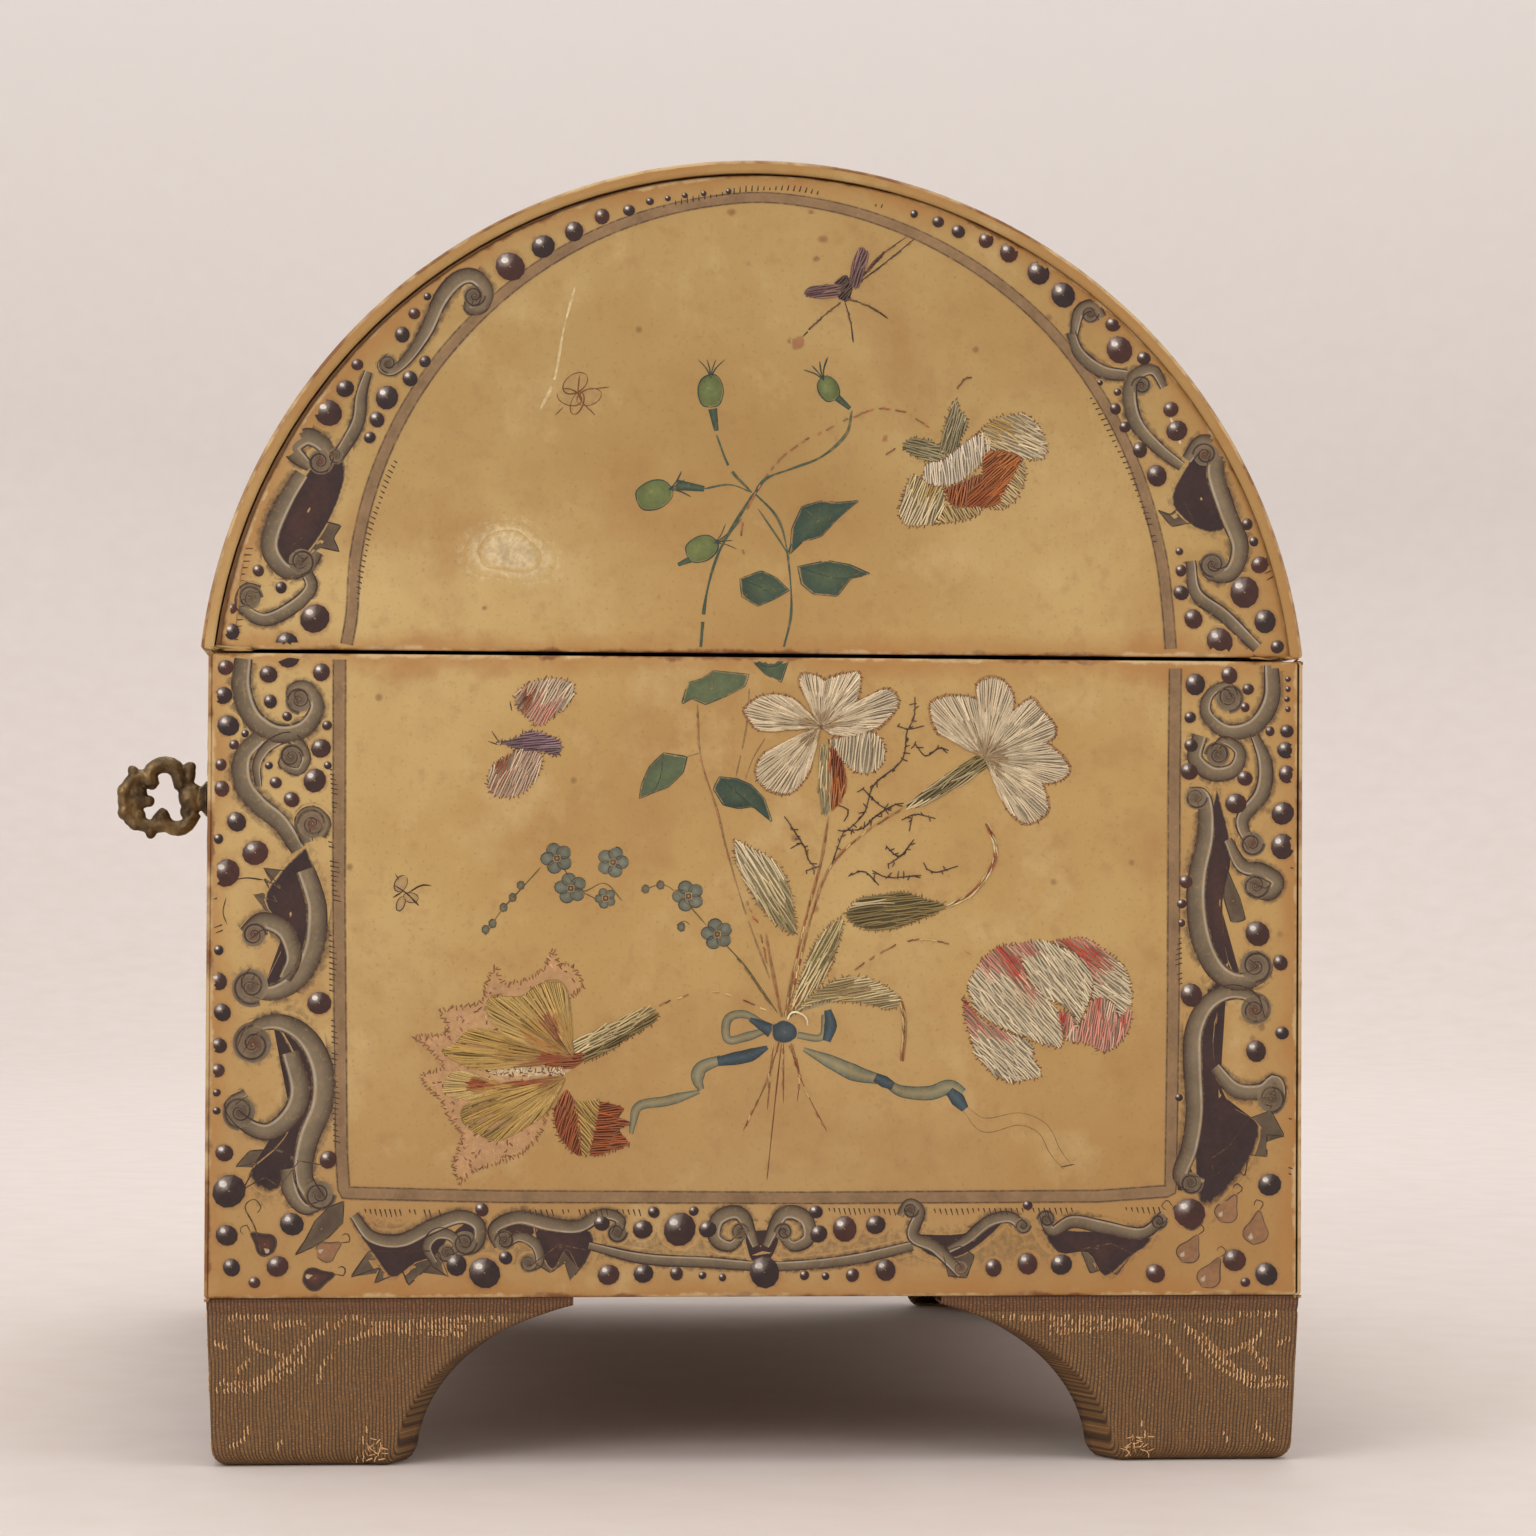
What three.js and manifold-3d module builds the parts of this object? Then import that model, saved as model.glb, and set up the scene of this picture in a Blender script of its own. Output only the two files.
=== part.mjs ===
// A domed casket covered in painted parchment, on four bracket feet, with a cast key in its lock.
// Millimetres, Z up, the keyhole side faces -Y, the long side runs along X.

import * as THREE from 'three';
import { mergeVertices } from 'three/addons/utils/BufferGeometryUtils.js';
import Module from 'manifold-3d';

// Overall sizes of the casket
const caseLength = 320;
const caseDepth = 213.4;
const footHeight = 32.5;
const caseHeight = 124;
const seamGap = 0.8;
const lidHeight = 96;
const frontOverhang = 1.5;

// Boards, skins and linings
const wallBoard = 7;
const bottomBoard = 6;
const domeBoard = 1.6;
const lidEndBoard = 6;
const endPanelInset = 0.8;
const parchment = 0.6;
const backSheet = 1;
const underTurnIn = 14;
const lidTurnIn = 9.2;
const glueGap = 0.3;
const lining = 0.8;
const liningDrop = 3;
const padThickness = 5;
const padRounding = 1.5;
const padCorner = 4;

// Rails inside the lid's lower edge
const railHeight = 12;
const lockRailWidth = 16;
const hingeRailWidth = 12;

// Bracket feet
const footLength = 70.5;
const footBase = 33.5;
const footThickness = 10;
const footInset = 0.4;
const footTaper = 1.2;
const footCorner = 3.6;
const footToeHeight = 2.9;
const footToeLean = 2.5;
const footTip = 1.6;
const footFabric = 0.8;
const footCurveShares = [[0.04, 0.4], [0.35, 0.79]];

// Butt hinges
const hingeWidth = 30;
const hingeSpacing = 180;
const leafThickness = 1;
const lidLeafDepth = 11;
const knuckleRadius = 2.2;
const hingePinRadius = 0.9;
const pinHeadRadius = 1.5;
const pinHeadLength = 0.9;
const leafScrewSpacing = 18;

// Screws
const screwHeadRadius = 1.9;
const screwHeadDepth = 0.9;
const screwShankRadius = 0.9;
const hingeScrewLength = 9;
const lockScrewLength = 6.2;

// Lock
const keyDrop = 26.5;
const lockWidth = 58;
const lockHeight = 39;
const lockPlate = 1.2;
const lockDepth = 9;
const lockCaseWidth = 46;
const lockCaseWall = 1;
const lockScrewSpacing = 52;
const boltThickness = 3;
const boltThrow = 6;
const boltFloor = 5.5;
const boltTop = 12.5;
const boltFront = 12;
const boltRiserWidth = 6;
const noseHeight = 3.8;
const talonClearance = 0.8;
const ledgeWidth = 4;
const ledgeHeight = 2;
const ledgeOffset = 9.8;
const springThickness = 0.8;
const springCentre = 8;
const springAngles = [-100, -10];

// Staple that the bolt enters
const stapleLength = 8;
const stapleWall = 1.2;
const stapleEyeWidth = 4;
const stapleEyeHeight = 4.8;
const stapleEyeDrop = 7.1;
const stapleBar = 1.4;
const staplePlateLength = 27;
const staplePlateThickness = 1.2;
const stapleScrewSpacing = 19;
const stapleScrewLength = 7;

// Key
const keyReach = 25.6;
const bowHeight = 18.6;
const bowReachShare = 0.5487;
const shankRadius = 2.3;
const bitRadius = 9;
const bitThickness = 2.6;
const bitLength = 6.2;
const wardWidth = 1.1;
const wardDepth = 2.4;
const collarRadius = 4.2;
const collarWaist = 3;
const collarNear = 2.6;
const collarFar = 6.4;
const keyTipClearance = 0.7;
const keyholeClearance = 0.4;

// Escutcheon
const escutcheonHeight = 36;
const escutcheonWidth = 25;
const escutcheonThickness = 1.2;
const escutcheonPinRadius = 0.7;
const escutcheonPinHead = 1.4;
const escutcheonPinDome = 0.7;
const escutcheonPinLength = 5.5;
const escutcheonPinShare = 0.36;

// Clearances and working values
const runningGap = 0.3;
const stapleSlotGap = 0.7;
const cutOverrun = 2;
const arcSteps = 24;
const smallArcSteps = 4;
const roundSides = 12;
const mergeReach = 1e-5;

// Levels and faces worked out from the sizes above
const rimZ = footHeight + caseHeight;
const lidZ = rimZ + seamGap;
const frontY = -caseDepth / 2;
const backY = caseDepth / 2;
const endX = caseLength / 2;
const boardFrontY = frontY + parchment;
const boardBackY = backY - backSheet;
const innerFrontY = boardFrontY + wallBoard;
const innerBackY = boardBackY - wallBoard;
const innerX = endX - parchment - wallBoard;
const boardLowZ = footHeight + parchment;
const boardHighZ = rimZ - parchment;
const floorZ = boardLowZ + bottomBoard;

const lidFrontY = frontY - frontOverhang;
const lidHalfDepth = (backY - lidFrontY) / 2;
const archCentreY = (backY + lidFrontY) / 2;
const lidRadius = (lidHalfDepth ** 2 + lidHeight ** 2) / (2 * lidHeight);
const archCentreZ = lidHeight - lidRadius;
const domeOuterRadius = lidRadius - parchment - glueGap;
const domeInnerRadius = domeOuterRadius - domeBoard;
const panelRadius = domeInnerRadius - glueGap;
const panelOuterX = endX - endPanelInset;
const panelInnerX = panelOuterX - parchment - lidEndBoard;

const keyZ = rimZ - keyDrop;
const bowSetOut = keyReach - bowReachShare * bowHeight;
const plateInY = innerFrontY + lockPlate;
const stapleFrontY = plateInY + stapleSlotGap;
const stapleDepth = 2 * stapleWall + stapleEyeWidth;
const boltTail = stapleLength / 2 + boltThrow + boltRiserWidth;
const talonDepth = bitRadius - boltFloor + talonClearance;
const talonFrom = -boltThrow - Math.sqrt(bitRadius ** 2 - boltFloor ** 2) - talonClearance;
const talonTo = -boltThrow + bitThickness / 2 + talonClearance;
const boltY = stapleFrontY + stapleWall + (stapleEyeWidth - boltThickness) / 2;
const caseLeafDepth = backSheet + wallBoard;
const hingeZ = rimZ + seamGap / 2;
const hingeY = backY + knuckleRadius + runningGap;
const casketY = (keyReach - (hingeY + knuckleRadius - backY)) / 2;

// Finishes
function finish(color, roughness, metalness) {
  return new THREE.MeshStandardMaterial({ color, roughness, metalness });
}

const parchmentSkin = finish(0xd8cab0, 0.6, 0);
const wood = finish(0xb18d60, 0.8, 0);
const galloon = finish(0x8d6c40, 0.9, 0);
const silk = finish(0xd9c7a3, 0.5, 0);
const brass = finish(0xae8b45, 0.35, 1);
const bronze = finish(0x6d5b33, 0.4, 1);
const iron = finish(0x6a6661, 0.5, 1);

// Solids for cutting and joining
const wasm = await Module();
wasm.setup();

function toSolid(geometry) {
  const bare = geometry.clone();
  bare.deleteAttribute('normal');
  bare.deleteAttribute('uv');
  const merged = mergeVertices(bare, mergeReach);
  const vertProperties = new Float32Array(merged.attributes.position.array);
  const triVerts = new Uint32Array(merged.index.array);
  return new wasm.Manifold(new wasm.Mesh({ numProp: 3, vertProperties, triVerts }));
}

function toGeometry(solid) {
  const mesh = solid.getMesh();
  const geometry = new THREE.BufferGeometry();
  geometry.setAttribute('position', new THREE.BufferAttribute(mesh.vertProperties, 3));
  geometry.setIndex(new THREE.BufferAttribute(mesh.triVerts, 1));
  geometry.computeVertexNormals();
  return geometry;
}

function join(first, ...others) {
  return toGeometry(others.reduce((whole, next) => whole.add(toSolid(next)), toSolid(first)));
}

function cut(first, ...others) {
  return toGeometry(others.reduce((rest, next) => rest.subtract(toSolid(next)), toSolid(first)));
}

const meet = (first, second) => toGeometry(toSolid(first).intersect(toSolid(second)));

// Prisms along X, with the outline drawn in YZ, and along Y, with the outline drawn in XZ
const xAxis = new THREE.Vector3(1, 0, 0);
const yAxis = new THREE.Vector3(0, 1, 0);
const zAxis = new THREE.Vector3(0, 0, 1);
const fromYZ = new THREE.Matrix4().makeBasis(yAxis, zAxis, xAxis);
const fromXZ = new THREE.Matrix4().makeBasis(xAxis, zAxis, yAxis.clone().negate());

function prism(outline, depth, curveSegments) {
  return new THREE.ExtrudeGeometry(outline, { depth, bevelEnabled: false, curveSegments });
}

function prismX(outline, from, to, curveSegments = smallArcSteps) {
  return prism(outline, to - from, curveSegments).applyMatrix4(fromYZ).translate(from, 0, 0);
}

function prismY(outline, from, to, curveSegments = smallArcSteps) {
  return prism(outline, to - from, curveSegments).applyMatrix4(fromXZ).translate(0, to, 0);
}

function block([x0, x1], [y0, y1], [z0, z1]) {
  const box = new THREE.BoxGeometry(x1 - x0, y1 - y0, z1 - z0);
  return box.translate((x0 + x1) / 2, (y0 + y1) / 2, (z0 + z1) / 2);
}

function polygon(points) {
  return new THREE.Shape(points.map(([across, up]) => new THREE.Vector2(across, up)));
}

function turned(profile, sides = roundSides) {
  return new THREE.LatheGeometry(profile.map(([radius, along]) => new THREE.Vector2(radius, along)), sides);
}

function ringPrismX(outer, inner, from, to) {
  const ring = new THREE.Shape().absarc(0, 0, outer, 0, 2 * Math.PI, false);
  ring.holes.push(new THREE.Path().absarc(0, 0, inner, 0, 2 * Math.PI, true));
  return prismX(ring, from, to, roundSides / 2);
}

// Assembly groups
const casket = new THREE.Group();
const caseGroup = new THREE.Group();
const lidGroup = new THREE.Group();
const keyGroup = new THREE.Group();
caseGroup.position.set(0, casketY, 0);
lidGroup.position.set(0, 0, lidZ);
keyGroup.position.set(0, frontY, keyZ);
casket.add(caseGroup);
caseGroup.add(lidGroup, keyGroup);

function place(group, name, geometry, material) {
  const mesh = new THREE.Mesh(geometry, material);
  mesh.name = name;
  group.add(mesh);
  return mesh;
}

const sides = [['left', -1], ['right', 1]];
const span = (half) => [-half, half];
const towards = (sign, near, far) => (sign > 0 ? [near, far] : [-far, -near]);

// Countersunk screw, head up, with its hole a running gap larger and open above its mouth
function screwProfile(length, gap) {
  return [
    [0, -length - gap], [screwShankRadius + gap, -length + screwHeadDepth - gap],
    [screwShankRadius + gap, -screwHeadDepth - gap], [screwHeadRadius + gap, -gap],
  ];
}

function screw(length) {
  return turned([...screwProfile(length, 0), [0, 0]]).rotateX(Math.PI / 2);
}

function screwHole(length) {
  const mouth = [[screwHeadRadius + runningGap, cutOverrun], [0, cutOverrun]];
  return turned([...screwProfile(length, runningGap), ...mouth]).rotateX(Math.PI / 2);
}

// Where the hinges, their leaves and their screws lie
const hingeCentres = sides.map(([side, sign]) => [side, (sign * hingeSpacing) / 2]);
const leafScrewOffsets = [['outer', leafScrewSpacing / 2], ['inner', -leafScrewSpacing / 2]];
const caseScrewY = (boardBackY + innerBackY) / 2;
const hingeRailOuterY = archCentreY + Math.sqrt(panelRadius ** 2 - archCentreZ ** 2);
const lidScrewY = hingeRailOuterY - (hingeRailOuterY - (backY - lidLeafDepth)) / 2;

function leafMortise(centre, depth, from, to) {
  const half = hingeWidth / 2 + runningGap;
  return block([centre - half, centre + half], [backY - depth - runningGap, backY + cutOverrun], [from, to]);
}

const caseMortises = hingeCentres.map(([, centre]) => (
  leafMortise(centre, caseLeafDepth, rimZ - leafThickness, rimZ + cutOverrun)
));
const lidMortises = hingeCentres.map(([, centre]) => (
  leafMortise(centre, lidLeafDepth, -cutOverrun, leafThickness)
));

const leafScrews = hingeCentres.flatMap(([side, centre]) => (
  leafScrewOffsets.map(([where, offset]) => [`${side}_${where}`, centre + Math.sign(centre) * offset])
));
const caseScrewHoles = leafScrews.map(([, x]) => screwHole(hingeScrewLength).translate(x, caseScrewY, rimZ));
const lidScrewHoles = leafScrews.map(([, x]) => (
  screwHole(hingeScrewLength).rotateX(Math.PI).translate(x, lidScrewY, 0)
));

// Keyhole: a round hole for the shank with a slot below it for the bit
function keyholeCut(from, to) {
  const radius = shankRadius + keyholeClearance;
  const round = prismY(new THREE.Shape().absarc(0, keyZ, radius, 0, 2 * Math.PI, false), from, to);
  const slotHalf = bitThickness / 2 + keyholeClearance;
  const slot = block(span(slotHalf), [from, to], [keyZ - bitRadius - keyholeClearance, keyZ]);
  return join(round, slot);
}

// Carcass of the case: five boards, the ends running past the long walls
const lockScrews = sides.map(([side, sign]) => [side, (sign * lockScrewSpacing) / 2]);
const lockScrewZ = rimZ - lockHeight / 2;
const lockScrewHoles = lockScrews.map(([, x]) => (
  screwHole(lockScrewLength).rotateX(-Math.PI / 2).translate(x, plateInY, lockScrewZ)
));
const escutcheonPins = [['upper', 1], ['lower', -1]].map(([side, sign]) => (
  [side, keyZ + sign * escutcheonPinShare * escutcheonHeight]
));
const escutcheonFaceY = frontY - escutcheonThickness;

function pinProfile(gap) {
  return [
    [0, -escutcheonPinLength - gap], [escutcheonPinRadius + gap, -escutcheonPinLength - gap],
    [escutcheonPinRadius + gap, gap], [escutcheonPinHead, gap],
    [escutcheonPinHead / 2, gap + escutcheonPinDome], [0, gap + escutcheonPinDome],
  ];
}

const pinHoleProfile = [
  [0, -escutcheonPinLength - glueGap], [escutcheonPinRadius + glueGap, -escutcheonPinLength - glueGap],
  [escutcheonPinRadius + glueGap, cutOverrun], [0, cutOverrun],
];
const escutcheonPinHoles = escutcheonPins.map(([, z]) => (
  turned(pinHoleProfile, 2 * smallArcSteps).rotateX(Math.PI).translate(0, escutcheonFaceY, z)
));

function buildCarcass() {
  place(caseGroup, 'bottom_board', block(span(innerX), [innerFrontY, innerBackY], [boardLowZ, floorZ]), wood);
  const front = block(span(innerX), [boardFrontY, innerFrontY], [boardLowZ, boardHighZ]);
  const keyhole = keyholeCut(boardFrontY - cutOverrun, innerFrontY + cutOverrun);
  place(caseGroup, 'front_board', cut(front, keyhole, ...lockScrewHoles, ...escutcheonPinHoles), wood);
  const back = block(span(innerX), [innerBackY, boardBackY], [boardLowZ, boardHighZ]);
  place(caseGroup, 'back_board', cut(back, ...caseMortises, ...caseScrewHoles), wood);
  for (const [side, sign] of sides) {
    const thickX = towards(sign, innerX, endX - parchment);
    const end = block(thickX, [boardFrontY, boardBackY], [boardLowZ, boardHighZ]);
    place(caseGroup, `${side}_end_board`, end, wood);
  }
}

// Parchment of the case: each skin is turned over the rim and under the bottom
function buildCaseSkins() {
  const faceZ = [footHeight, rimZ];
  const rimTurnZ = [boardHighZ, rimZ];
  const underTurnZ = [footHeight, boardLowZ];
  const turnX = span(endX - parchment);
  const keyhole = keyholeCut(frontY - cutOverrun, innerFrontY + cutOverrun);
  const front = join(
    block(span(endX), [frontY, boardFrontY], faceZ),
    block(turnX, [boardFrontY, innerFrontY], rimTurnZ),
    block(turnX, [boardFrontY, frontY + underTurnIn], underTurnZ),
  );
  place(caseGroup, 'front_parchment', cut(front, keyhole, ...escutcheonPinHoles), parchmentSkin);
  const back = join(
    block(span(endX), [boardBackY, backY], faceZ),
    block(turnX, [innerBackY, boardBackY], rimTurnZ),
    block(turnX, [backY - underTurnIn, boardBackY], underTurnZ),
  );
  place(caseGroup, 'back_parchment', cut(back, ...caseMortises), parchmentSkin);
  for (const [side, sign] of sides) {
    const end = join(
      block(towards(sign, endX - parchment, endX), [boardFrontY, boardBackY], faceZ),
      block(towards(sign, innerX, endX - parchment), [innerFrontY, innerBackY], rimTurnZ),
      block(
        towards(sign, endX - underTurnIn, endX - parchment),
        [frontY + underTurnIn, backY - underTurnIn],
        underTurnZ,
      ),
    );
    place(caseGroup, `${side}_end_parchment`, end, parchmentSkin);
  }
}

// Silk on the walls and a padded floor
const padShape = (halfX, halfY, corner) => {
  const outline = new THREE.Shape();
  outline.absarc(halfX - corner, halfY - corner, corner, 0, Math.PI / 2, false);
  outline.absarc(corner - halfX, halfY - corner, corner, Math.PI / 2, Math.PI, false);
  outline.absarc(corner - halfX, corner - halfY, corner, Math.PI, 1.5 * Math.PI, false);
  outline.absarc(halfX - corner, corner - halfY, corner, 1.5 * Math.PI, 2 * Math.PI, false);
  return outline;
};

function buildCaseLinings() {
  const liningZ = [floorZ, rimZ - liningDrop];
  const betweenX = span(innerX - lining);
  const lockRecess = block(
    span(lockWidth / 2 + runningGap),
    [innerFrontY - cutOverrun, innerFrontY + lockDepth],
    [rimZ - lockHeight - runningGap, rimZ],
  );
  const front = block(betweenX, [innerFrontY, innerFrontY + lining], liningZ);
  place(caseGroup, 'front_lining', cut(front, lockRecess), silk);
  place(caseGroup, 'back_lining', block(betweenX, [innerBackY - lining, innerBackY], liningZ), silk);
  for (const [side, sign] of sides) {
    const end = block(towards(sign, innerX - lining, innerX), [innerFrontY, innerBackY], liningZ);
    place(caseGroup, `${side}_end_lining`, end, silk);
  }
  const padHalfX = innerX - lining - runningGap;
  const padHalfY = (innerBackY - innerFrontY) / 2 - lining - runningGap;
  const pad = new THREE.ExtrudeGeometry(padShape(padHalfX - padRounding, padHalfY - padRounding, padCorner), {
    depth: padThickness - 2 * padRounding,
    bevelThickness: padRounding,
    bevelSize: padRounding,
    bevelSegments: 2,
    curveSegments: 2,
  });
  pad.translate(0, (innerFrontY + innerBackY) / 2, floorZ + padRounding);
  place(caseGroup, 'floor_pad', pad, silk);
}

// Bracket foot: two arms at a corner, each with a hollow curve from its toe to its tip
function footOutline(inset, top) {
  const [steep, flat] = footCurveShares;
  const toe = footBase + footToeLean - inset;
  const rise = footHeight - footTip - footToeHeight;
  const run = footLength - footBase - footToeLean;
  const low = footToeHeight + inset;
  const outline = new THREE.Shape();
  outline.moveTo(inset, top);
  outline.lineTo(footTaper + inset, footCorner + inset);
  outline.quadraticCurveTo(footTaper + inset, inset, footTaper + footCorner + inset, inset);
  outline.lineTo(footBase - inset, inset);
  outline.lineTo(toe, low);
  outline.bezierCurveTo(
    toe + steep[0] * run, low + steep[1] * rise,
    toe + flat[0] * run, low + flat[1] * rise,
    toe + run, low + rise,
  );
  outline.lineTo(toe + run, top);
  return outline;
}

function footCorners(inset, top) {
  const steps = 2 * smallArcSteps;
  const acrossX = prismY(footOutline(inset, top), 0, footLength, steps);
  const acrossY = prismX(footOutline(inset, top), 0, footLength, steps);
  return meet(acrossX, acrossY);
}

function buildFeet() {
  const inner = block(
    [footThickness, footLength + cutOverrun],
    [footThickness, footLength + cutOverrun],
    [-cutOverrun, footHeight + cutOverrun],
  );
  const core = cut(footCorners(footFabric + glueGap, footHeight), inner);
  const hollow = footCorners(footFabric, footHeight + cutOverrun);
  const cover = cut(footCorners(0, footHeight), inner, hollow);
  const cornerX = endX - footInset;
  const cornerY = caseDepth / 2 - footInset;
  const corners = [
    ['front_left', -cornerX, -cornerY, 0],
    ['front_right', cornerX, -cornerY, 1],
    ['back_right', cornerX, cornerY, 2],
    ['back_left', -cornerX, cornerY, 3],
  ];
  for (const [corner, x, y, quarterTurns] of corners) {
    for (const [kind, geometry, material] of [['core', core, wood], ['cover', cover, galloon]]) {
      const foot = place(caseGroup, `${corner}_foot_${kind}`, geometry, material);
      foot.position.set(x, y, 0);
      foot.rotation.z = (quarterTurns * Math.PI) / 2;
    }
  }
}

// Lock: plate with its top flange, cap, bolt and the spring that steadies the bolt
const eyeLowZ = rimZ - stapleEyeDrop - stapleEyeHeight;

function buildLock() {
  const halfPlate = lockWidth / 2;
  const lowZ = rimZ - lockHeight;
  const backOfCase = plateInY + lockDepth;
  const flangeDepth = [innerFrontY, backOfCase + lockCaseWall];
  const slot = block(
    span(stapleLength / 2 + stapleSlotGap),
    [stapleFrontY - stapleSlotGap / 2, stapleFrontY + stapleDepth + stapleSlotGap],
    [rimZ - lockPlate - cutOverrun, rimZ + cutOverrun],
  );
  const ledgeZ = [keyZ + boltFloor - runningGap - ledgeHeight, keyZ + boltFloor - runningGap];
  const ledges = sides.map(([, sign]) => (
    block(towards(sign, ledgeOffset, ledgeOffset + ledgeWidth), [innerFrontY, boltY + boltThickness], ledgeZ)
  ));
  const plate = join(
    block(span(halfPlate), [innerFrontY, plateInY], [lowZ, rimZ]),
    block(span(halfPlate), flangeDepth, [rimZ - lockPlate, rimZ]),
    ...ledges,
  );
  const keyhole = keyholeCut(innerFrontY - cutOverrun, plateInY + runningGap);
  place(caseGroup, 'lock_plate', cut(plate, keyhole, slot, ...lockScrewHoles), iron);

  const halfCase = lockCaseWidth / 2;
  const shell = block(
    span(halfCase),
    [plateInY, backOfCase + lockCaseWall],
    [lowZ, rimZ - lockPlate],
  );
  const hollow = block(
    span(halfCase - lockCaseWall),
    [plateInY - cutOverrun, backOfCase],
    [lowZ + lockCaseWall, rimZ],
  );
  place(caseGroup, 'lock_case', cut(shell, hollow), iron);

  const noseLowZ = eyeLowZ + (stapleEyeHeight - noseHeight) / 2;
  const riserX = -boltTail + boltRiserWidth;
  const bolt = polygon([
    [-boltTail, keyZ + boltFloor], [talonFrom, keyZ + boltFloor],
    [talonFrom, keyZ + boltFloor + talonDepth], [talonTo, keyZ + boltFloor + talonDepth],
    [talonTo, keyZ + boltFloor], [boltFront, keyZ + boltFloor],
    [boltFront, keyZ + boltTop], [riserX, keyZ + boltTop],
    [riserX, noseLowZ], [-stapleLength / 2 - runningGap, noseLowZ],
    [-stapleLength / 2 - runningGap, noseLowZ + noseHeight], [-boltTail, noseLowZ + noseHeight],
  ]);
  place(caseGroup, 'lock_bolt', prismY(bolt, boltY, boltY + boltThickness), iron);

  const springReach = halfCase - lockCaseWall - runningGap - springCentre;
  const [springStart, springEnd] = springAngles.map(THREE.MathUtils.degToRad);
  const springZ = keyZ + boltTop + runningGap + springReach;
  const spring = new THREE.Shape();
  spring.absarc(springCentre, springZ, springReach, springStart, springEnd, false);
  spring.absarc(springCentre, springZ, springReach - springThickness, springEnd, springStart, true);
  place(caseGroup, 'lock_spring', prismY(spring, boltY, boltY + boltThickness), iron);

  for (const [side, x] of lockScrews) {
    const lockScrew = place(caseGroup, `lock_${side}_screw`, screw(lockScrewLength), iron);
    lockScrew.position.set(x, plateInY, lockScrewZ);
    lockScrew.rotation.x = -Math.PI / 2;
  }
}

// Escutcheon: a small cast cartouche over the keyhole, held by two pins
const escutcheonShares = [
  [0, 0.5], [0.13, 0.41], [0.3, 0.44], [0.4, 0.3], [0.3, 0.16], [0.38, 0.03], [0.5, -0.1],
  [0.4, -0.24], [0.24, -0.24], [0.2, -0.38], [0, -0.5],
];

function buildEscutcheon() {
  const rightHalf = escutcheonShares.map(([across, up]) => (
    new THREE.Vector2(across * escutcheonWidth, keyZ + up * escutcheonHeight)
  ));
  const leftHalf = rightHalf.slice(0, -1).reverse().map((point) => new THREE.Vector2(-point.x, point.y));
  const outline = new THREE.Shape();
  outline.moveTo(rightHalf[0].x, rightHalf[0].y);
  outline.splineThru(rightHalf.slice(1));
  outline.splineThru(leftHalf);
  const plate = prismY(outline, escutcheonFaceY, frontY, 2);
  const keyhole = keyholeCut(escutcheonFaceY - cutOverrun, frontY + cutOverrun);
  place(caseGroup, 'escutcheon', cut(plate, keyhole, ...escutcheonPinHoles), brass);
  for (const [side, z] of escutcheonPins) {
    const pin = turned(pinProfile(glueGap), 2 * smallArcSteps);
    const mesh = place(caseGroup, `escutcheon_${side}_pin`, pin, brass);
    mesh.position.set(0, escutcheonFaceY, z);
    mesh.rotation.x = Math.PI;
  }
}

// Key: turned shank and collar, a bit cut for two wards, and a pierced bow of scrolls and shell lobes
const bowCurve = (shares) => new THREE.CatmullRomCurve3(shares.map(([along, up]) => (
  new THREE.Vector3(0, along * bowHeight - bowSetOut, up * bowHeight)
)));

const scrolls = [
  { widthShare: 0.1, shares: [[-0.13, 0.16], [-0.15, 0.31], [-0.05, 0.4], [0.06, 0.42], [0.16, 0.37],
    [0.24, 0.14]] },
  { widthShare: 0.09, shares: [[-0.02, -0.17], [0.05, -0.31], [0.17, -0.37], [0.28, -0.34], [0.4, -0.16]] },
  { widthShare: 0.085, shares: [[-0.12, 0.24], [-0.3, 0.27], [-0.42, 0.14], [-0.46, -0.04], [-0.4, -0.2],
    [-0.26, -0.31], [-0.1, -0.34], [0.06, -0.32]] },
];

const lobes = [
  { centreShare: [-0.34, 0.31], radiusShares: [0.08, 0.07, 0.11], leanDegrees: 35 },
  { centreShare: [-0.46, 0.07], radiusShares: [0.1, 0.09, 0.12], leanDegrees: 10 },
  { centreShare: [-0.45, -0.16], radiusShares: [0.1, 0.09, 0.11], leanDegrees: -20 },
  { centreShare: [-0.33, -0.3], radiusShares: [0.09, 0.1, 0.09], leanDegrees: -45 },
  { centreShare: [-0.13, -0.4], radiusShares: [0.08, 0.07, 0.1], leanDegrees: -15 },
  { centreShare: [-0.29, -0.03], radiusShares: [0.08, 0.18, 0.08], leanDegrees: 0 },
  { centreShare: [0.36, 0.01], radiusShares: [0.13, 0.17, 0.2], leanDegrees: 20 },
  { centreShare: [0.33, 0.27], radiusShares: [0.08, 0.07, 0.14], leanDegrees: -12 },
];

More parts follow.
